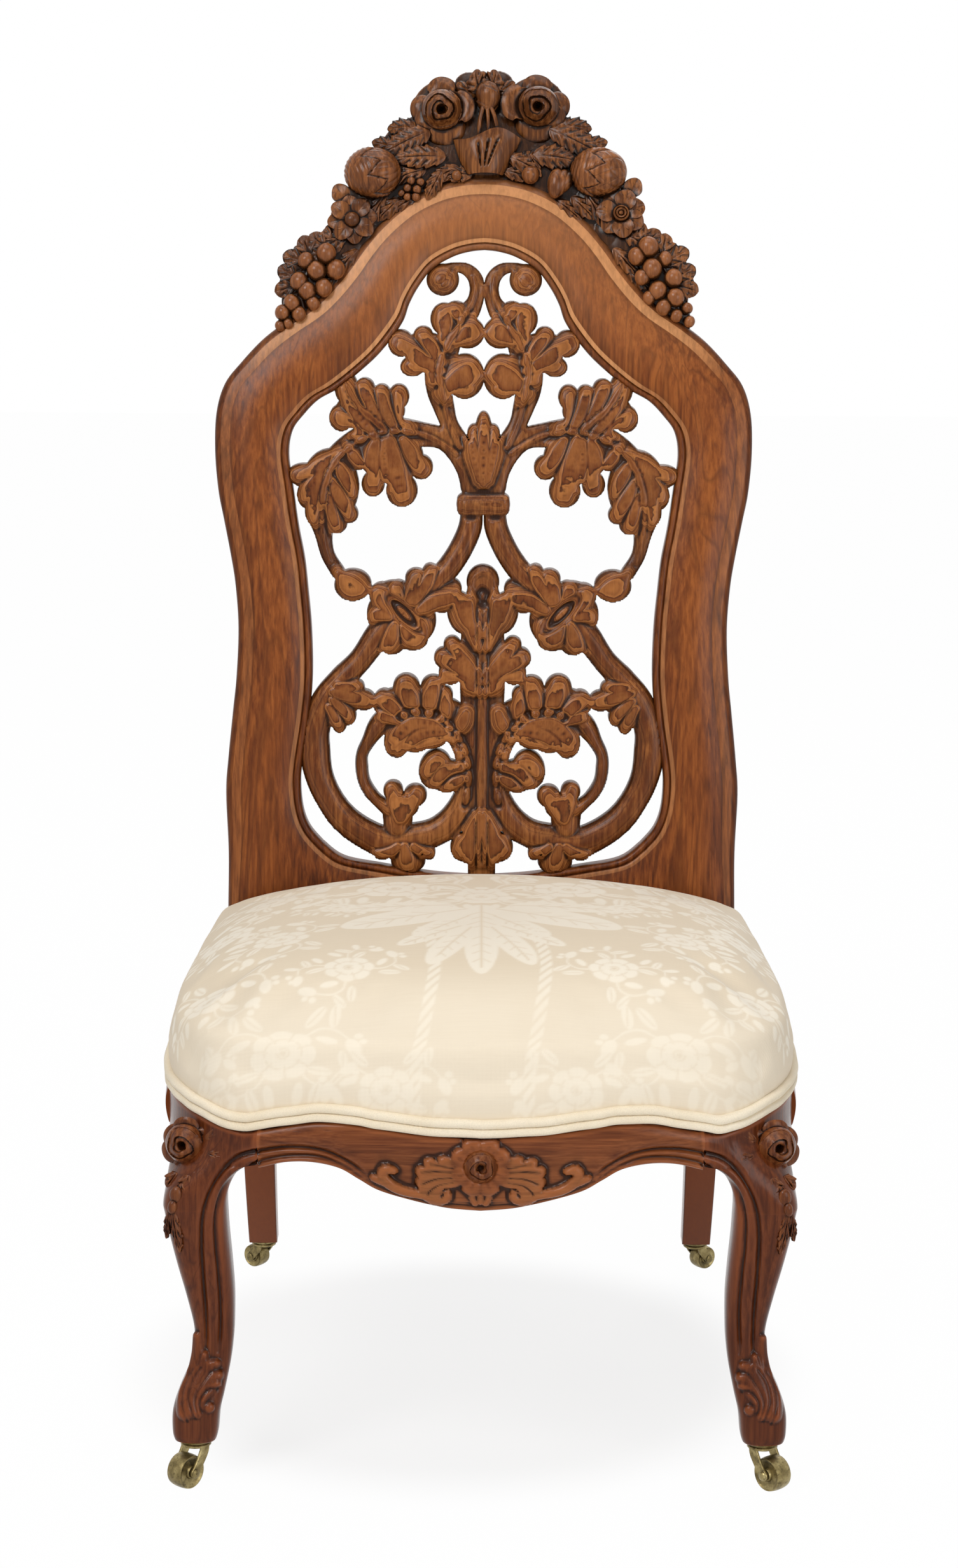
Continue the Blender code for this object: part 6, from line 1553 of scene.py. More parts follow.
def scaledFruit(a, around):
    net = np.minimum(np.abs(np.sin(around * 5 + a * 4)), np.abs(np.sin(around * 5 - a * 4)))
    return cappedFruit(a, around, 1.15, 0.55, 0.95 * net**0.4 * math.sin(a) - 0.5)


# place and radius
berries = [(-66, 958, 4), (-58, 957, 4.2), (-63, 964, 4), (-55, 963, 3.8), (-66, 951, 3.6), (-59, 951, 3.8),
           (-71, 954, 3.2), (-24, 969, 4.6), (39, 970, 8)]


def makeFruit():
    pile = newPile()
    toPile(pile, *fruitBall(24, 21.5, 18, pomegranate, 200), crestSpot(-95, 971, 8))
    toPile(pile, *fruitBall(24, 21, 18, scaledFruit, 168), crestSpot(98, 972, 8))
    for u, v, size in berries:
        toPile(pile, *roundDrop(size, size, size), crestSpot(u, v, 8.5 if size < 7 else 7.5))
    # the bud beside the right fruit, three folded petals
    for turn, out in ((-30, 9), (22, 8), (70, 7)):
        toPile(pile, *roundDrop(7.5, 13.5, 7.5),
               crestSpot(63 + 4 * math.sin(math.radians(turn)), 963, out, -18 - turn * 0.4))
    return crestPiece("crestFruit", pile, 5, fruitWood, 4, 0.45)


# place, way, length, half width, teeth, height over the ground, bend
crestLeaves = [
    (-47, 1007, 206, 44, 13, 6, 9, 0.02), (-33, 985, 180, 45, 12, 6, 10, 0.04), (-50, 975, 200, 34, 9, 4, 7, 0.0),
    (-36, 974, 240, 30, 8, 4, 8, 0.05), (55, 1009, -26, 48, 13.5, 6, 9, -0.02), (41, 987, -6, 38, 12, 5, 10, -0.04),
    (20, 986, -28, 32, 9, 4, 9, 0.0), (36, 990, -62, 26, 5, 3, 8, 0.0), (-84, 954, 238, 34, 8, 3, 6, 0.1),
    (86, 956, -58, 34, 8, 3, 6, -0.1), (-72, 950, 225, 28, 8, 3, 6, 0), (74, 952, -45, 28, 8, 3, 6, 0),
    (-58, 1010, 186, 26, 10, 4, 6, 0.0), (64, 1012, -8, 28, 10, 4, 6, 0.0), (-70, 990, 165, 28, 10, 4, 5, 0),
    (76, 992, 12, 30, 10, 4, 5, 0), (-3, 1039, 122, 20, 11, 3, 10, -0.3), (3, 1039, 56, 20, 11, 3, 10, 0.3),
    (-8, 1036, 152, 20, 9, 2, 7, -0.1), (9, 1037, 28, 20, 9, 2, 7, 0.1), (-118, 920, 215, 28, 9, 3, 6, 0),
    (120, 922, -35, 28, 9, 3, 6, 0), (-108, 907, 228, 34, 8, 3, 5, 0), (110, 909, -48, 34, 8, 3, 5, 0),
    (-56, 954, 215, 30, 7, 3, 5, 0), (60, 950, -40, 30, 7, 3, 5, 0), (-122, 890, 225, 30, 7, 3, 4, 0),
    (122, 892, -45, 30, 7, 3, 4, 0),
]
# place and the ways of three leaflets
vineLeaves = [(-128, 902, (95, 140, 185)), (130, 905, (85, 45, 0)), (150, 895, (80, 28, -15)),
              (-146, 893, (110, 160, 200)), (-152, 878, (150, 195, 240)), (156, 880, (30, -15, -60))]


def makeCrestLeaves():
    pile = newPile()
    for u, v, turn, long, wide, teeth, out, bend in crestLeaves:
        toPile(pile, *leafShell(long, wide, teeth, 3.5, 3.0, bend), crestSpot(u, v, out, turn))
    # vine leaves behind the grapes, three leaflets each
    for u, v, turns in vineLeaves:
        for turn in turns:
            toPile(pile, *leafShell(28, 12, 3, 2.5, 1.5, 0.0, 0.9), crestSpot(u, v, 6, turn))
    return crestPiece("crestLeaves", pile, 6)


def makeLily():
    pile = newPile()
    # wide cup, narrow below, with a wavy lip
    s, t = np.meshgrid(np.linspace(-1, 1, 49), np.linspace(0, 1, 30), indexing="ij")
    width = 15 + 14 * t**0.7
    lip = (3.4 * np.sin(s * 3.6 + 0.4) + 2.0 * s) * t**2
    x = s * width + 2.0 * t
    y = -19 + 35 * t + lip - 3 * s**2 * t
    z = 5 + 8.5 * np.cos(s * 1.4) * np.sin(math.pi * (0.22 + 0.55 * t)) + 3.0 * t**5 - 5 * s**4
    for c, lean in ((-0.22, -0.10), (-0.02, 0.16), (0.16, 0.42)):
        line = c + lean * (t - 0.3)
        z -= 2.2 * ridge(s, line, 0.035 + 0.02 * t) * np.clip((t - 0.10) * 6, 0, 1) * np.clip((0.84 - t) * 8, 0, 1)
    toPile(pile, *shellPatch(np.stack([x, y, z], axis=2), 3.0), crestSpot(0, 987, 6))
    for u in (-6, 2, 9):
        toPile(pile, *bentTube([(u * 0.8, -16, 4, 1.6), (u, -8, 6, 1.7), (u * 0.8, 2, 7, 1.9), (u * 0.4, 12, 7, 2.2)]),
               crestSpot(1, 1014, 7))
    # centre bud with a winding seam
    theta = np.linspace(0, 2 * math.pi, 65)[:-1]
    rings = []
    for q in np.linspace(0.03, 0.97, 34):
        seam = ((theta / (2 * math.pi) + 0.9 * q) * 2) % 1.0
        out = 10.6 * math.sin(math.pi * q**0.85) ** 0.7 * (1 + 0.14 * (1 - seam) ** 1.5)
        rings.append(np.stack([out * np.cos(theta), np.full(len(theta), 16 - 32 * q), out * np.sin(theta)], axis=1))
    toPile(pile, *ringFaces(rings), crestSpot(2.5, 1034, 10))
    toPile(pile, *roundDrop(4, 4, 4), crestSpot(-2, 1053, 8))
    for u, v, turn in ((-22, 976, 205), (16, 974, -15), (-10, 971, 185), (26, 979, 20)):
        toPile(pile, *leafShell(26, 8, 3, 2.5, 1.5), crestSpot(u, v, 7, turn))
    return crestPiece("crestLily", pile)


# grapes: place and radius in millimetres
grapes = [
    (-135, 903, 9), (-152, 897, 7.5), (-143, 889, 8.6), (-127, 890, 8.5), (-158, 880, 8), (-137, 875, 8),
    (-151, 872, 8), (-164, 862, 7.4), (-146, 862, 6.2), (-172, 854, 6.6), (-158, 853, 6.5), (-174, 843, 4.5),
    (-167, 845, 4.6), (140, 910, 9), (130, 902, 7.8), (143, 892, 9), (154, 900, 6.6), (135, 885, 7), (161, 884, 8),
    (148, 874, 8.2), (163, 868, 8), (141, 868, 6), (153, 860, 7), (173, 859, 5), (164, 853, 5.6), (175, 848, 5),
]


def newTree(name, **sockets):
    tree = bpy.data.node_groups.new(name, "GeometryNodeTree")
    for label, kind in {"Geometry": "Geometry", **sockets}.items():
        tree.interface.new_socket(label, in_out="INPUT", socket_type="NodeSocket" + kind)
    tree.interface.new_socket("Geometry", in_out="OUTPUT", socket_type="NodeSocketGeometry")
    return tree, tree.nodes.new("NodeGroupInput").outputs


def closeTree(tree, points, shape, rotation, scale, finish):
    # the shape on every point, as one smooth plain mesh in its finish
    made = add(tree, "GeometryNodeInstanceOnPoints", {"Points": points, "Instance": shape.outputs["Mesh"],
                                                      "Rotation": rotation.outputs[0], "Scale": scale.outputs[0]})
    for kind in ("RealizeInstances", "SetShadeSmooth", "SetMaterial"):
        made = add(tree, "GeometryNode" + kind, {"Geometry": made.outputs[0]})
    fill(tree, made, {"Material": finish})
    tree.links.new(made.outputs[0], tree.nodes.new("NodeGroupOutput").inputs[0])
    return tree


def grapeTree():
    tree, given = newTree("grapeBunch", Stretch="Vector", Wood="Material")
    ball = add(tree, "GeometryNodeMeshUVSphere", {"Segments": 28, "Rings": 16, "Radius": 1.0})
    size = add(tree, "GeometryNodeInputNamedAttribute", {"Name": "size"}, data_type="FLOAT")
    scale = add(tree, "ShaderNodeVectorMath", {0: given["Stretch"], "Scale": size.outputs[0]}, operation="SCALE")
    turn = add(tree, "FunctionNodeRandomValue", {"Seed": 7, 0: (-0.5, -0.5, -3), 1: (0.5, 0.5, 3)},
               data_type="FLOAT_VECTOR")
    return closeTree(tree, given["Geometry"], ball, turn, scale, given["Wood"])


def growPiece(name, points, marks, edges, tree, settings, material, slot, stands):
    # run a node tree over a bare mesh and keep the result as a plain mesh
    seed = bpy.data.meshes.new(name + "Seed")
    points = np.array(points, float)
    points[:, 1] += frontLine
    seed.from_pydata(points.tolist(), edges, [])
    for key, values in marks.items():
        setMark(seed, key, values)
    holder = bpy.data.objects.new(name + "Seed", seed)
    bpy.context.scene.collection.objects.link(holder)
    modifier = holder.modifiers.new("grow", "NODES")
    modifier.node_group = tree
    sockets = {item.name: item.identifier for item in tree.interface.items_tree if item.in_out == "INPUT"}
    for key, value in settings.items():
        modifier[sockets[key]] = value
    holder.update_tag()
    bpy.context.view_layer.update()
    mesh = bpy.data.meshes.new_from_object(holder.evaluated_get(bpy.context.evaluated_depsgraph_get()))
    mesh.name = name
    bpy.data.objects.remove(holder)
    return finishPiece(name, mesh, material, "chair", slot, stands)


def makeGrapes():
    points = [np.array(crestSpot(u, v, 5.5 + r * 0.55).translation) for u, v, r in grapes]
    piece = growPiece("crestGrapes", points, {"size": [r / 1000 for _, _, r in grapes]}, [], grapeTree(),
                      {"Stretch": (1.0, 0.96, 1.06), "Wood": grapeWood}, grapeWood, "carved_rosewood",
                      ["crest_garland"])
    setMark(piece.data, "hollow", np.full(len(piece.data.vertices), -0.12))
    return piece


garland = [makeCrestGround(), makeRoses(), makeDaisies(), makeFruit(), makeCrestLeaves(), makeLily(), makeGrapes()]
markCrevices(garland)
print("crest made", sum(len(piece.data.vertices) for piece in garland), "points")


# seat cover: the cloth's own drawing in millimetres, u across, v forward from the back edge and down the front
damask = {"field": (0, 262, -20, 540), "step": 1.0, "ground": (0.790, 0.672, 0.508), "motif": (0.925, 0.845, 0.705),
          "shade": (0.75, 0.625, 0.46)}
bouquets = [
    # one half, place, size, turn; the other half is its mirror image
    (0, 30, 0.95, 0), (0, 146, 0.9, 0), (72, 112, 1.1, -15), (116, 172, 0.55, -30), (134, 44, 0.85, -40),
    (172, 112, 0.8, -60), (202, 204, 0.8, -80), (156, 262, 0.8, -100),
    (100, 350, 0.7, -140), (206, 350, 0.8, -20), (146, 436, 0.9, 0), (70, 474, 0.75, 0), (218, 452, 0.6, 20),
]
# broad leaves under the middle bouquet: root, length, half width, way
broadLeaves = [(0, 176, 96, 21, 90), (12, 190, 112, 24, 30), (22, 176, 92, 15, 4), (10, 214, 78, 13, 58),
               (0, 252, 112, 13, 90), (8, 252, 100, 12, 72), (16, 248, 74, 10, 50)]
ropes = {"u": (-42, 42), "from": 250, "half": 4.6, "sway": 7}  # twisted ribbons that hang to the front
paleFront = (345, 405, 0.4)  # painted light: the drawing fades where the cloth turns down, as the satin's sheen shows it less there


def bouquetSpot(u0, v0, size, turn):
    c, s = math.cos(math.radians(turn)) * size, math.sin(math.radians(turn)) * size
    return lambda u, v, *rest: (u0 + u * c - v * s, v0 + u * s + v * c, *[r * size for r in rest])


def paintBouquet(sheet, u0, v0, size, turn):
    spot = bouquetSpot(u0, v0, size, turn)
    # outer and inner petals of the open flower
    for count, first, out, long, wide in ((7, 0.3, 19, 10.5, 8.5), (5, 0.9, 9, 7.5, 6.5)):
        for k in range(count):
            a = 2 * math.pi * k / count + first
            paintLobe(sheet, *spot(out * math.cos(a), out * math.sin(a), long, wide), math.degrees(a) + turn + 90, 1, 0)
    for side in (-1, 1):
        for stem in (((14, -14, 2.2), (28, -26, 2.2), (44, -24, 2.0), (54, -12, 1.6)),
                     ((12, 14, 2.0), (22, 30, 1.8), (38, 36, 1.6), (48, 28, 1.4))):
            paintStem(sheet, [spot(side * u, v, width) for u, v, width in stem], 1, 0)
        for u, v, long, wide, lean in ((26, -38, 12, 5, -50), (42, -38, 11, 4.6, -80), (58, -2, 11, 6, 70),
                                       (36, -12, 10, 4.4, 25), (30, 20, 11, 4.6, 20), (26, 42, 11, 4.8, 110),
                                       (44, 44, 9, 4, 60), (54, 20, 8, 5.5, -40), (12, 40, 10, 4.4, 100)):
            paintLobe(sheet, *spot(side * u, v, long, wide), side * lean + turn, 1, 0)
        for u, v, r in ((62, -16, 4), (66, -8, 3.4), (57, 32, 3.6), (60, 24, 3)):
            paintLobe(sheet, *spot(side * u, v, r, r), 0, 1, 0)


def cutLines(sheet, u0, v0, size, turn):
    # petal edges and leaf veins left in the ground colour
    spot, lines = bouquetSpot(u0, v0, size, turn), []
    for k in range(5):
        a = 2 * math.pi * k / 5 + 0.9
        lines.append([(15.5 * math.cos(a + d), 15.5 * math.sin(a + d)) for d in (-0.5, -0.2, 0.2, 0.5)])
    for k in range(7):
        a = 2 * math.pi * (k + 0.5) / 7 + 0.3
        lines.append([(q * math.cos(a), q * math.sin(a)) for q in (13, 18, 24)])
    lines.append([(5 * math.cos(a), 5 * math.sin(a)) for a in np.linspace(0, 5.2, 8)])
    for side in (-1, 1):
        for vein in (((20, -32), (27, -39), (33, -46)), ((42, -30), (42, -38), (42, -46)),
                     ((22, 17), (30, 20), (39, 22)), ((29, 34), (26, 42), (23, 50))):
            lines.append([(side * u, v) for u, v in vein])
    for line in lines:
        cutLine(sheet, smoothCurve([spot(u, v) for u, v in line], 3), 0.75 * size)


def cutLine(sheet, path, half):
    sheet["field"] = np.minimum(sheet["field"], distanceTo(sheet, path, 3) - half)


def paintDamask():
    sheet = newSheet(*damask["field"], damask["step"])
    for row in bouquets:
        paintBouquet(sheet, *row)
    for row in bouquets:
        cutLines(sheet, *row)
    for u, v, long, wide, way in broadLeaves:
        c, d = math.cos(math.radians(way)), math.sin(math.radians(way))
        paintLobe(sheet, u + c * long / 2, v + d * long / 2, long / 2, wide, way, 1, 0)
        cutLine(sheet, [(u, v), (u + c * long * 0.9, v + d * long * 0.9)], 0.9)
        for q in (0.25, 0.42, 0.58, 0.74):  # side veins
            for lean in (-40, 40):
                e, f = math.cos(math.radians(way + lean)), math.sin(math.radians(way + lean))
                root = (u + c * long * q, v + d * long * q)
                cutLine(sheet, [root, (root[0] + e * wide * 0.8, root[1] + f * wide * 0.8)], 0.6)
    sheet = mirrorSheet(sheet)
    grid = np.meshgrid(sheet["us"], sheet["vs"])
    for u0 in ropes["u"]:
        wave = u0 + ropes["sway"] * np.sin(grid[1] / 44)
        inside = np.minimum(ropes["half"] - np.abs(grid[0] - wave), grid[1] - ropes["from"])
        twist = 1.6 - np.abs(((grid[0] - wave) * 0.9 + grid[1] * 0.55) % 7.0 - 3.5)
        sheet["field"] = np.maximum(sheet["field"], np.minimum(inside, twist + 0.6))
    low, high, share = paleFront
    drawn = np.clip(0.5 + sheet["field"] / 1.1, 0, 1) - 0.6
    sheet["height"] = 0.6 + drawn * np.interp(grid[1], (low, high), (1, share))
    return sheet


def makeCoverCloth():
    material, tree, shader, spot = newMaterial("creamDamask", "UV")
    motif = readMark(tree, "motif")
    threads = [add(tree, "ShaderNodeTexWave", {"Vector": spot, "Scale": 95.0, "Distortion": 0.4, "Detail": 1.0},
                   bands_direction=way, wave_type="BANDS").outputs["Fac"] for way in "XY"]
    slub = noise(tree, moved(tree, spot, (30, 900, 1)), 1.0, 3.0)
    ground = blendColour(tree, fadeIn(tree, slub, 0.35, 0.7, 0.5), damask["ground"], damask["shade"])
    colour = blendColour(tree, times(tree, motif, 0.88), ground, damask["motif"])
    soil = fadeIn(tree, noise(tree, spot, 7.0, 5.0, 0.6), 0.5, 0.75, 0.22)
    bump = raised(tree, weigh(tree, (threads[0], 0.3), (threads[1], 0.3), (motif, 0.8)), 0.25, 0.0004)
    fill(tree, shader, {"Base Color": blendColour(tree, soil, colour, damask["shade"]),
                        "Roughness": spread(tree, motif, 0.78, 0.55), "Sheen Weight": 0.15, "Sheen Roughness": 0.4,
                        "Specular IOR Level": 0.25, "Normal": bump})
    return material


cushion = {
    "rearY": 0.4023, "lowRear": 0.3182, "weltTop": 0.0055, "edgeFront": 0.357, "edgeRear": 0.386, "crown": 0.393,
    "voxel": 0.0055, "cap": 0.006, "frames": 20,
    "held": {"welt": 0.006, "rear": 0.012, "low": 0.002},  # reach of the tacked edge
    # underside: inset, share of the plan, height over the rear edge
    "under": [(0.020, 0.5, 0.024), (0.0084, 0.9, 0.0), (0.0084, 1.0, 0.0)],
    # inset in millimetres and share of the way from skirt to edge
    "profile": [(2.0, 0.0), (0.6, 0.16), (-1.2, 0.36), (-2.4, 0.58), (-2.0, 0.74), (0.2, 0.90), (3.4, 0.985),
                (6.0, 1.0)],
    "top": [(0.975, 0.07), (0.94, 0.18), (0.90, 0.32), (0.84, 0.48), (0.76, 0.64), (0.66, 0.77), (0.55, 0.87),
            (0.43, 0.935), (0.30, 0.975), (0.15, 0.995)],
}


stuffing = {
    "quality": 5, "mass": 0.25, "use_pressure": True, "uniform_pressure_force": 4.0, "vertex_group_mass": "tacked",
    "tension_stiffness": 40, "compression_stiffness": 40, "bending_stiffness": 2.0,
}


def coverRing(inset, shrink, heights, rearHeight):
    # a ring inside the seat's plan; heights for the plan's rows and one for the rear edge
    half = plan[:, :2] - planWays * inset
    half[:, 1] = np.minimum(half[:, 1], cushion["rearY"])
    half[-1, 1] = cushion["rearY"]
    half = np.column_stack([half, heights])
    share = 1 - (np.arange(12) + 0.5) / 12
    rise = heights[-1] + (rearHeight - heights[-1]) * (1 - share**2) ** 0.8
    half = np.vstack([half, np.column_stack([half[-1, 0] * share, np.full(12, cushion["rearY"]), rise])])
    ring = np.vstack([half, half[:0:-1] * (-1, 1, 1)])
    middle = np.array((0, (plan[0, 1] + cushion["rearY"]) / 2, 0))
    return middle + (ring - middle) * (shrink, shrink, 1)


def cushionRings():
    skirt = plan[:, 2] + cushion["weltTop"]
    level = np.ones(len(plan))
    edge, low, rear, crown = level * cushion["edgeFront"], cushion["lowRear"], cushion["edgeRear"], cushion["crown"]
    rings = [coverRing(inset, shrink, level * (low + up), low + up) for inset, shrink, up in cushion["under"]]
    rings.append(coverRing(cushion["under"][-1][0], 1.0, skirt, low))
    for inset, share in cushion["profile"]:
        rings.append(coverRing(inset / 1000, 1.0, skirt + (edge - skirt) * share, low + (rear - low) * share))
    for shrink, share in cushion["top"]:
        rings.append(coverRing(0.006, shrink, edge + (crown - edge) * share, rear + (crown - rear) * share))
    return rings


def puffCushion(piece):
    # let the stuffing press the cover out, held at the tacked edge
    mesh = piece.data
    start, _, _ = meshArrays(mesh)
    held = piece.vertex_groups.new(name="tacked")
    front, reach = plan[:seat["sideJoint"] * seat["steps"]], cushion["held"]
    low = np.interp(np.abs(start[:, 0]), front[:, 0], front[:, 2]) + cushion["weltTop"] + reach["welt"]
    tacked = (start[:, 2] < low) | (start[:, 2] < cushion["lowRear"] + reach["low"])
    tacked |= start[:, 1] - frontLine > cushion["rearY"] - reach["rear"]
    held.add(np.nonzero(tacked)[0].tolist(), 1.0, "ADD")
    cloth = piece.modifiers.new("stuffing", "CLOTH")
    for key, value in stuffing.items():
        setattr(cloth.settings, key, value)
    cloth.settings.effector_weights.gravity = 0
    cloth.collision_settings.use_collision = False
    cloth.point_cache.frame_start, cloth.point_cache.frame_end = 1, cushion["frames"]
    for number in range(1, cushion["frames"] + 1):
        bpy.context.scene.frame_set(number)
    puffed = bpy.data.meshes.new_from_object(piece.evaluated_get(bpy.context.evaluated_depsgraph_get()))
    end, _, _ = meshArrays(puffed)
    piece.modifiers.remove(cloth)
    piece.vertex_groups.clear()
    bpy.context.scene.frame_set(1)
    move = end - start
    far = np.linalg.norm(move, axis=1)[:, None]
    move *= np.minimum(1, cushion["cap"] / np.maximum(far, 1e-9))
    print("cushion puffed by up to", round(float(far.max()) * 1000, 2), "mm, kept within", cushion["cap"] * 1000)
    mesh.vertices.foreach_set("co", (start + move).astype(np.float32).ravel())
    mesh.update()


def clothPlaces(points):
    # where each point lies on the flat cloth: across, and forward from the back then down the front
    u = points[:, 0] * 1000
    y = (points[:, 1] - frontLine) * 1000
    z = points[:, 2] * 1000
    fall = np.clip(cushion["edgeFront"] * 1000 - z, 0, None)
    side = np.clip((np.abs(u) - 205) / 25, 0, 1)
    ahead = cushion["rearY"] * 1000 - y
    return u + np.sign(u) * fall * side * 0.9, ahead + fall * (1 - side)


def settled(piece):
    # what the modifiers make becomes the piece's plain mesh
    mesh = bpy.data.meshes.new_from_object(piece.evaluated_get(bpy.context.evaluated_depsgraph_get()))
    piece.modifiers.clear()
    old, piece.data = piece.data, mesh
    bpy.data.meshes.remove(old)
    return mesh


def makeCushion():
    piece = newPiece("seatCushion", *ringFaces(cushionRings()), coverCloth, slot="damask", stands=["seat_cushion"],
                     sharp=0)
    remesh = piece.modifiers.new("even", "REMESH")
    remesh.mode = "VOXEL"
    remesh.voxel_size = cushion["voxel"]
    mesh = settled(piece)
    mesh.materials.clear()
    mesh.materials.append(coverCloth)
    puffCushion(piece)
    piece.modifiers.new("even", "SMOOTH").iterations = 6
    finer = piece.modifiers.new("finer", "SUBSURF")
    finer.levels = finer.render_levels = 2
    mesh = settled(piece)
    mesh.name = "seatCushion"
    mesh.shade_smooth()
    u, v = clothPlaces(meshArrays(mesh)[0])
    setMark(mesh, "motif", sampleSheet(paintDamask(), u, v))
    layer = mesh.uv_layers.new(name="cloth")
    corners = np.empty(len(mesh.loops), np.int32)
    mesh.loops.foreach_get("vertex_index", corners)
    layer.data.foreach_set("uv", (np.stack([u, v], axis=1)[corners] / 1000).astype(np.float32).ravel())
    print("cushion made", len(mesh.polygons), "faces")


# welt: two soft cords in one strip along the show line
welt = {"height": 0.0135, "gap": 0.0004, "sink": -0.0075, "cords": 0.0036, "wobble": 0.00022, "stitchStep": 0.0031,
        "stitchLong": 0.0021, "stitchThick": 0.00042}


def weltPath(offset, rise):
    rows, ways = wholePlan(plan, planWays)
    return np.column_stack([rows[:, :2] + ways * offset, rows[:, 2] + welt["gap"] + rise])


def makeWelt():
    rows, ways = wholePlan(plan, planWays)
    section = [(welt["sink"], 0.0), (0, 0.0)]
    # lower cord, then the upper one, a little fuller
    for swell, middle, last in ((0.85, 0.25, (0.0007, 0.505)), (0.95, 0.76, (0, 1.02))):
        for k in range(11):
            a = math.pi * (k + 0.5) / 11 - math.pi / 2
            section.append((welt["cords"] * (0.15 + swell * math.cos(a)), middle + 0.25 * math.sin(a)))
        section.append(last)
    section.append((welt["sink"], 1.02))
    rings = []
    for k, (row, way) in enumerate(zip(rows, ways)):
        ease = 1 + 0.05 * math.sin(k * 0.61) + 0.04 * math.sin(k * 0.23 + 1)
        lift = welt["wobble"] * math.sin(k * 0.37)
        ring = []
        for out, share in section:
            reach = out * ease if out > 0 else out
            z = row[2] + welt["gap"] + lift + share * welt["height"]
            ring.append((row[0] + way[0] * reach, row[1] + way[1] * reach, z))
        rings.append(ring)
    piece = newPiece("seatWelt", *ringFaces(rings), weltCloth, slot="welt", stands=["seat_welt"], sharp=0)


def stitchTree():
    tree, given = newTree("stitchRow", Step="Float", Long="Float", Thick="Float", Thread="Material")
    line = add(tree, "GeometryNodeMeshToCurve", {"Mesh": given["Geometry"]})
    even = add(tree, "GeometryNodeResampleCurve", {"Curve": line.outputs[0], "Length": given["Step"]}, mode="LENGTH")
    way = add(tree, "GeometryNodeInputTangent")
    turn = add(tree, "FunctionNodeAlignRotationToVector", {"Vector": way.outputs[0]}, axis="X")
    size = add(tree, "ShaderNodeCombineXYZ", {"X": given["Long"], "Y": given["Thick"], "Z": given["Thick"]})
    bead = add(tree, "GeometryNodeMeshUVSphere", {"Segments": 6, "Rings": 4, "Radius": 0.5})
    return closeTree(tree, even.outputs[0], bead, turn, size, given["Thread"])


def makeStitches():
    path = weltPath(0.0012, welt["height"] * 0.505)
    edges = [(k, k + 1) for k in range(len(path) - 1)]
    settings = {"Step": welt["stitchStep"], "Long": welt["stitchLong"], "Thick": welt["stitchThick"] * 2,
                "Thread": weltThread}
    growPiece("weltStitches", path, {}, edges, stitchTree(), settings, weltThread, "welt", ["seat_welt"])


def makePlainCloth(name, light, dark, weave):
    material, tree, shader, spot = newMaterial(name)
    cloud = fadeIn(tree, noise(tree, spot, 22.0, 6.0, 0.65), 0.35, 0.7, 1)
    thread = noise(tree, spot, weave)
    colour = blendColour(tree, cloud, light, dark)
    colour = blendColour(tree, fadeIn(tree, thread, 0.4, 0.75, 0.35), colour, [c * 0.7 for c in dark])
    fill(tree, shader, {"Base Color": colour, "Roughness": 0.8, "Specular IOR Level": 0.2, "Sheen Weight": 0.15,
                        "Normal": raised(tree, thread, 0.3, 0.0003)})
    return material


coverCloth = makeCoverCloth()
weltCloth = makePlainCloth("weltCloth", (0.90, 0.80, 0.63), (0.84, 0.72, 0.53), 1400.0)
weltThread = makePlainCloth("weltThread", (0.86, 0.77, 0.60), (0.70, 0.58, 0.40), 2500.0)
makeCushion()
makeWelt()
makeStitches()
print("seat cover made")


# casters: aged brass, turned and cast
casterSizes = {
    "front": {"foot": 0.0365, "wide": 0.016, "trail": 0.0115},
    "rear": {"foot": 0.027, "wide": 0.014, "trail": 0.0085},
    "gap": 0.0004, "plate": 0.0022, "crown": 0.0025, "pivot": 0.0026, "armThick": 0.0022, "armHalf": 0.0039,
    "sideGap": 0.0007,
    "axle": 0.0021, "head": 0.0036, "headThick": 0.0012, "sides": 64,
}


def makeBrass():
    material, tree, shader, spot = newMaterial("agedBrass")
    cloud, spots = noise(tree, spot, 90.0, 6.0, 0.65), noise(tree, spot, 420.0, 3.0)
    colour = ramp(tree, cloud, [(0.30, (0.085, 0.064, 0.026)), (0.50, (0.24, 0.185, 0.078)),
                                (0.72, (0.47, 0.385, 0.185))])
    colour = blendColour(tree, fadeIn(tree, spots, 0.55, 0.72, 0.7), colour, (0.055, 0.042, 0.020))
    fill(tree, shader, {"Base Color": colour, "Metallic": 0.9, "Roughness": spread(tree, cloud, 0.52, 0.28),
                        "Normal": raised(tree, spots, 0.2, 0.0003)})
    return material


def alongY(points):
    # a shape turned about Z laid along Y
    return [(x, -z, y) for x, y, z in points]


def flatEnds(rings):
    count = len(rings[0])
    points, faces = ringFaces(rings, False)
    faces.append(tuple(range(count)))
    faces.append(tuple(range((len(rings) - 1) * count, len(rings) * count))[::-1])
    return points, faces


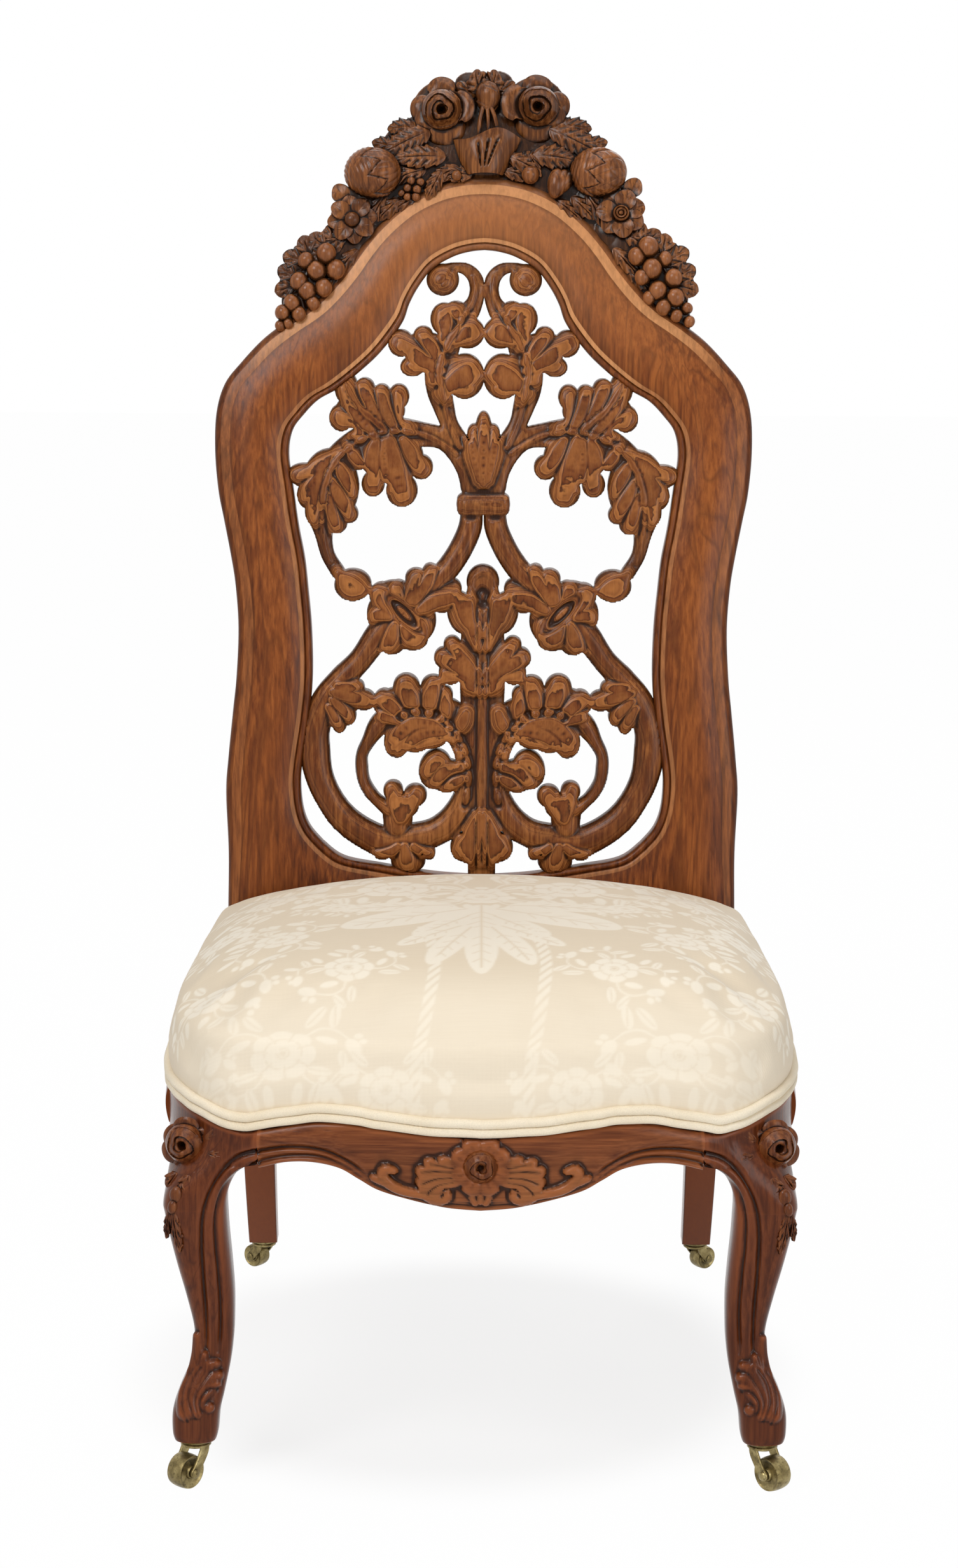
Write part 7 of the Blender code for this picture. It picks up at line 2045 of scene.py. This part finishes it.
def makeCaster(label):
    size = {**casterSizes, **casterSizes[label.split("_")[0]]}
    gap, half, trail, pivot = size["gap"], size["armHalf"], size["trail"], size["pivot"]
    x, y, _ = np.array(joints[f"swivel_{label}"]["pos_m"]) - (0, frontLine, 0)
    ax, ay, az = np.array(joints[f"spin_{label}"]["pos_m"]) - (0, frontLine, 0)
    heading = np.array(Matrix.Rotation(math.atan2(ay - y, ax - x), 3, "Z"))
    armIn = size["wide"] / 2 + size["sideGap"]
    armOut = armIn + size["armThick"]
    r = math.hypot(armOut, half)  # radius of the crown

    def castPiece(kind, points, faces, at, body="chair", sharp=40):
        points = np.asarray(points, float) @ heading.T + np.array(at)
        node = f"caster_{kind.lower()}_{label}"
        newPiece(f"caster{kind}_{label}", points, faces, brass, body, "brass", [node], sharp)

    plateTop = size["foot"] - gap
    plateLow = plateTop - size["plate"]
    top = plateLow - gap
    low = top - size["crown"]
    profile = [(0, plateTop + 0.004), (0.0034, plateTop + 0.004), (0.0036, plateTop), (r * 1.02, plateTop),
               (r * 1.05, plateTop - 0.0006), (r * 1.0, plateLow + 0.0003), (r * 0.96, plateLow), (pivot, plateLow),
               (pivot, low - 0.0002), (0.0040, low - 0.0004), (0.0036, low - 0.0014), (0.0020, low - 0.0018),
               (0, low - 0.0018)]
    castPiece("Plate", *turnedShape(profile, size["sides"]), (x, y, 0))
    # fork: a domed crown and two arms that bend back to the axle
    pile, bore = newPile(), pivot + 0.0003
    profile = [(bore, top), (r * 0.94, top), (r, top - 0.0006), (r, low + 0.0005), (r * 0.93, low), (bore, low)]
    toPile(pile, *turnedShape(profile, size["sides"]))
    # centre line of an arm in its own plane, with half widths
    start = top - 0.0008
    drop = start - az
    line = smoothCurve([(0.0002, start, half * 1.05), (trail * 0.12, start - drop * 0.25, half * 1.08),
                        (trail * 0.5, start - drop * 0.62, half * 1.0), (trail * 0.9, az + 0.0012, half * 0.98),
                        (trail, az, half)], 6)
    along = np.gradient(line[:, :2], axis=0)
    along /= np.linalg.norm(along, axis=1)[:, None]
    left = [(p[0] - w[1] * p[2], p[1] + w[0] * p[2]) for p, w in zip(line, along)]
    right = [(p[0] + w[1] * p[2], p[1] - w[0] * p[2]) for p, w in zip(line, along)]
    first = math.atan2(along[-1][0], -along[-1][1])
    turns = first - np.linspace(0, math.pi, 14)[1:-1]
    ends = [(trail + half * math.cos(a), az + half * math.sin(a)) for a in turns]
    for sign in (-1, 1):
        rings = []
        for out, shrink in ((armIn, 0.94), (armIn + 0.0003, 1.0), (armOut - 0.0005, 1.0), (armOut, 0.90)):
            ring = []
            for px, pz in left + ends + right[::-1]:
                near = line[np.argmin(np.hypot(line[:, 0] - px, line[:, 1] - pz))]
                ring.append((near[0] + (px - near[0]) * shrink, sign * out, near[1] + (pz - near[1]) * shrink))
            rings.append(ring)
        toPile(pile, *flatEnds(rings))
    castPiece("Fork", np.vstack(pile["points"]), pile["faces"], (x, y, 0), f"fork_{label}")
    # axle with a domed head on either side
    seatY, head, thick = armOut + gap, size["head"], size["headThick"]
    side = [(0, seatY + thick * 1.15), (head * 0.45, seatY + thick * 1.1), (head * 0.85, seatY + thick * 0.6),
            (head, seatY),
            (size["axle"], seatY)]
    points, faces = turnedShape([(radius, -height) for radius, height in side] + side[::-1], 40)
    castPiece("Axle", alongY(points), faces, (ax, ay, az), f"fork_{label}")
    # wheel: a crowned tread with a dished side and a small hub
    rim, wide, bore = az, size["wide"] / 2, size["axle"] + 0.0003
    side = [(bore, wide), (bore + 0.0022, wide), (bore + 0.0027, wide * 0.90), (bore + 0.0030, wide * 0.74),
            (rim * 0.70, wide * 0.70), (rim * 0.82, wide * 0.76), (rim * 0.90, wide * 0.88), (rim * 0.945, wide * 0.86),
            (rim * 0.975, wide * 0.66), (rim * 0.995, wide * 0.36)]
    points, faces = turnedShape(side + [(rim, 0)] + [(radius, -height) for radius, height in side[::-1]], size["sides"])
    castPiece("Wheel", alongY(points), faces, (ax, ay, az), f"wheel_{label}", 35)


brass = makeBrass()
for label in ("front_left", "front_right", "rear_left", "rear_right"):
    makeCaster(label)
print("casters made")

# inside the seat: webbing strips, hessian, and finishes for the frame's plain parts
web = {"rib": 0.00022, "ribs": 8, "across": 33, "along": 90}


def stripMesh(low, high, across):
    # a flat woven strip with ribs along it
    long, count = 1 - across, web["across"]
    us = np.linspace(low[across], high[across], count)
    rib = web["rib"] * np.abs(np.sin(np.linspace(0, math.pi * web["ribs"], count)))
    rings = []
    for v in np.linspace(low[long], high[long], web["along"]):
        ring = []
        for z, sign, order in ((high[2], -1, range(count)), (low[2], 1, range(count - 1, -1, -1))):
            for k in order:
                p = [0, 0, z + sign * rib[k]]
                p[across], p[long] = us[k], v
                ring.append(p)
        rings.append(ring)
    return ringFaces(rings)


def makeWebbing():
    for kind, across, bearers in (("long", 0, ["back_rail"]), ("cross", 1, ["sideRail_left", "sideRail_right"])):
        for k in (1, 2, 3):
            node = f"webbing_{kind}_{k}"
            low, high = [np.array(c, float) - (0, frontLine, 0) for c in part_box(node)]
            piece = newPiece(f"webbing{kind.title()}_{k}", *stripMesh(low, high, across), jute, slot="jute",
                             stands=[node], sharp=0)
            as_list(bearers)


hessian = {
    "inset": 0.0098, "low": 0.3174, "high": 0.339, "thick": 0.0016,
    # share of the plan, share of the height
    "levels": [(1.0, 0.0), (0.95, 0.02), (0.9, 0.10), (0.86, 0.45), (0.82, 0.82), (0.78, 0.97), (0.7, 1.0), (0.5, 1.0),
               (0.25, 1.0)],
}


def makeHessian():
    upper = []
    for shrink, share in hessian["levels"]:
        z = hessian["low"] + (hessian["high"] - hessian["low"]) * share
        upper.append(coverRing(hessian["inset"], shrink, np.full(len(plan), z), z))
    under = [ring - (0, 0, hessian["thick"]) for ring in upper]
    piece = newPiece("springHessian", *ringFaces(under[::-1] + upper), sacking, slot="hessian",
                     stands=["seat_hessian"], sharp=0)
    ring = upper[0]
    wide, long = np.ptp(ring[:, 0]), np.ptp(ring[:, 1])
    area = 0.5 * abs(np.dot(ring[:, 0], np.roll(ring[:, 1], -1)) - np.dot(ring[:, 1], np.roll(ring[:, 0], -1)))


def makePlainSteel():
    material, tree, shader, spot = newMaterial("plainSteel")
    cloud = noise(tree, spot, 160.0, 5.0)
    colour = ramp(tree, cloud, [(0.35, (0.10, 0.09, 0.085)), (0.65, (0.32, 0.31, 0.30))])
    fill(tree, shader, {"Base Color": colour, "Metallic": 1.0, "Roughness": 0.45})
    return material


jute = makePlainCloth("juteWebbing", (0.36, 0.25, 0.13), (0.26, 0.17, 0.08), 900.0)
sacking = makePlainCloth("hessianCloth", (0.34, 0.25, 0.14), (0.24, 0.16, 0.08), 700.0)
makeWebbing()
makeHessian()
steel = makePlainSteel()
beech = makeWood("beechFrame", "beech", "X")
for name, node in frame["nodes"].items():
    if "screw" in name or "spring" in name:
        finish = steel
    elif "block" in name or name == "back_rail":
        finish = beech
    else:
        continue
    node.data.materials.clear()
    node.data.materials.append(finish)
print("inside parts finished")
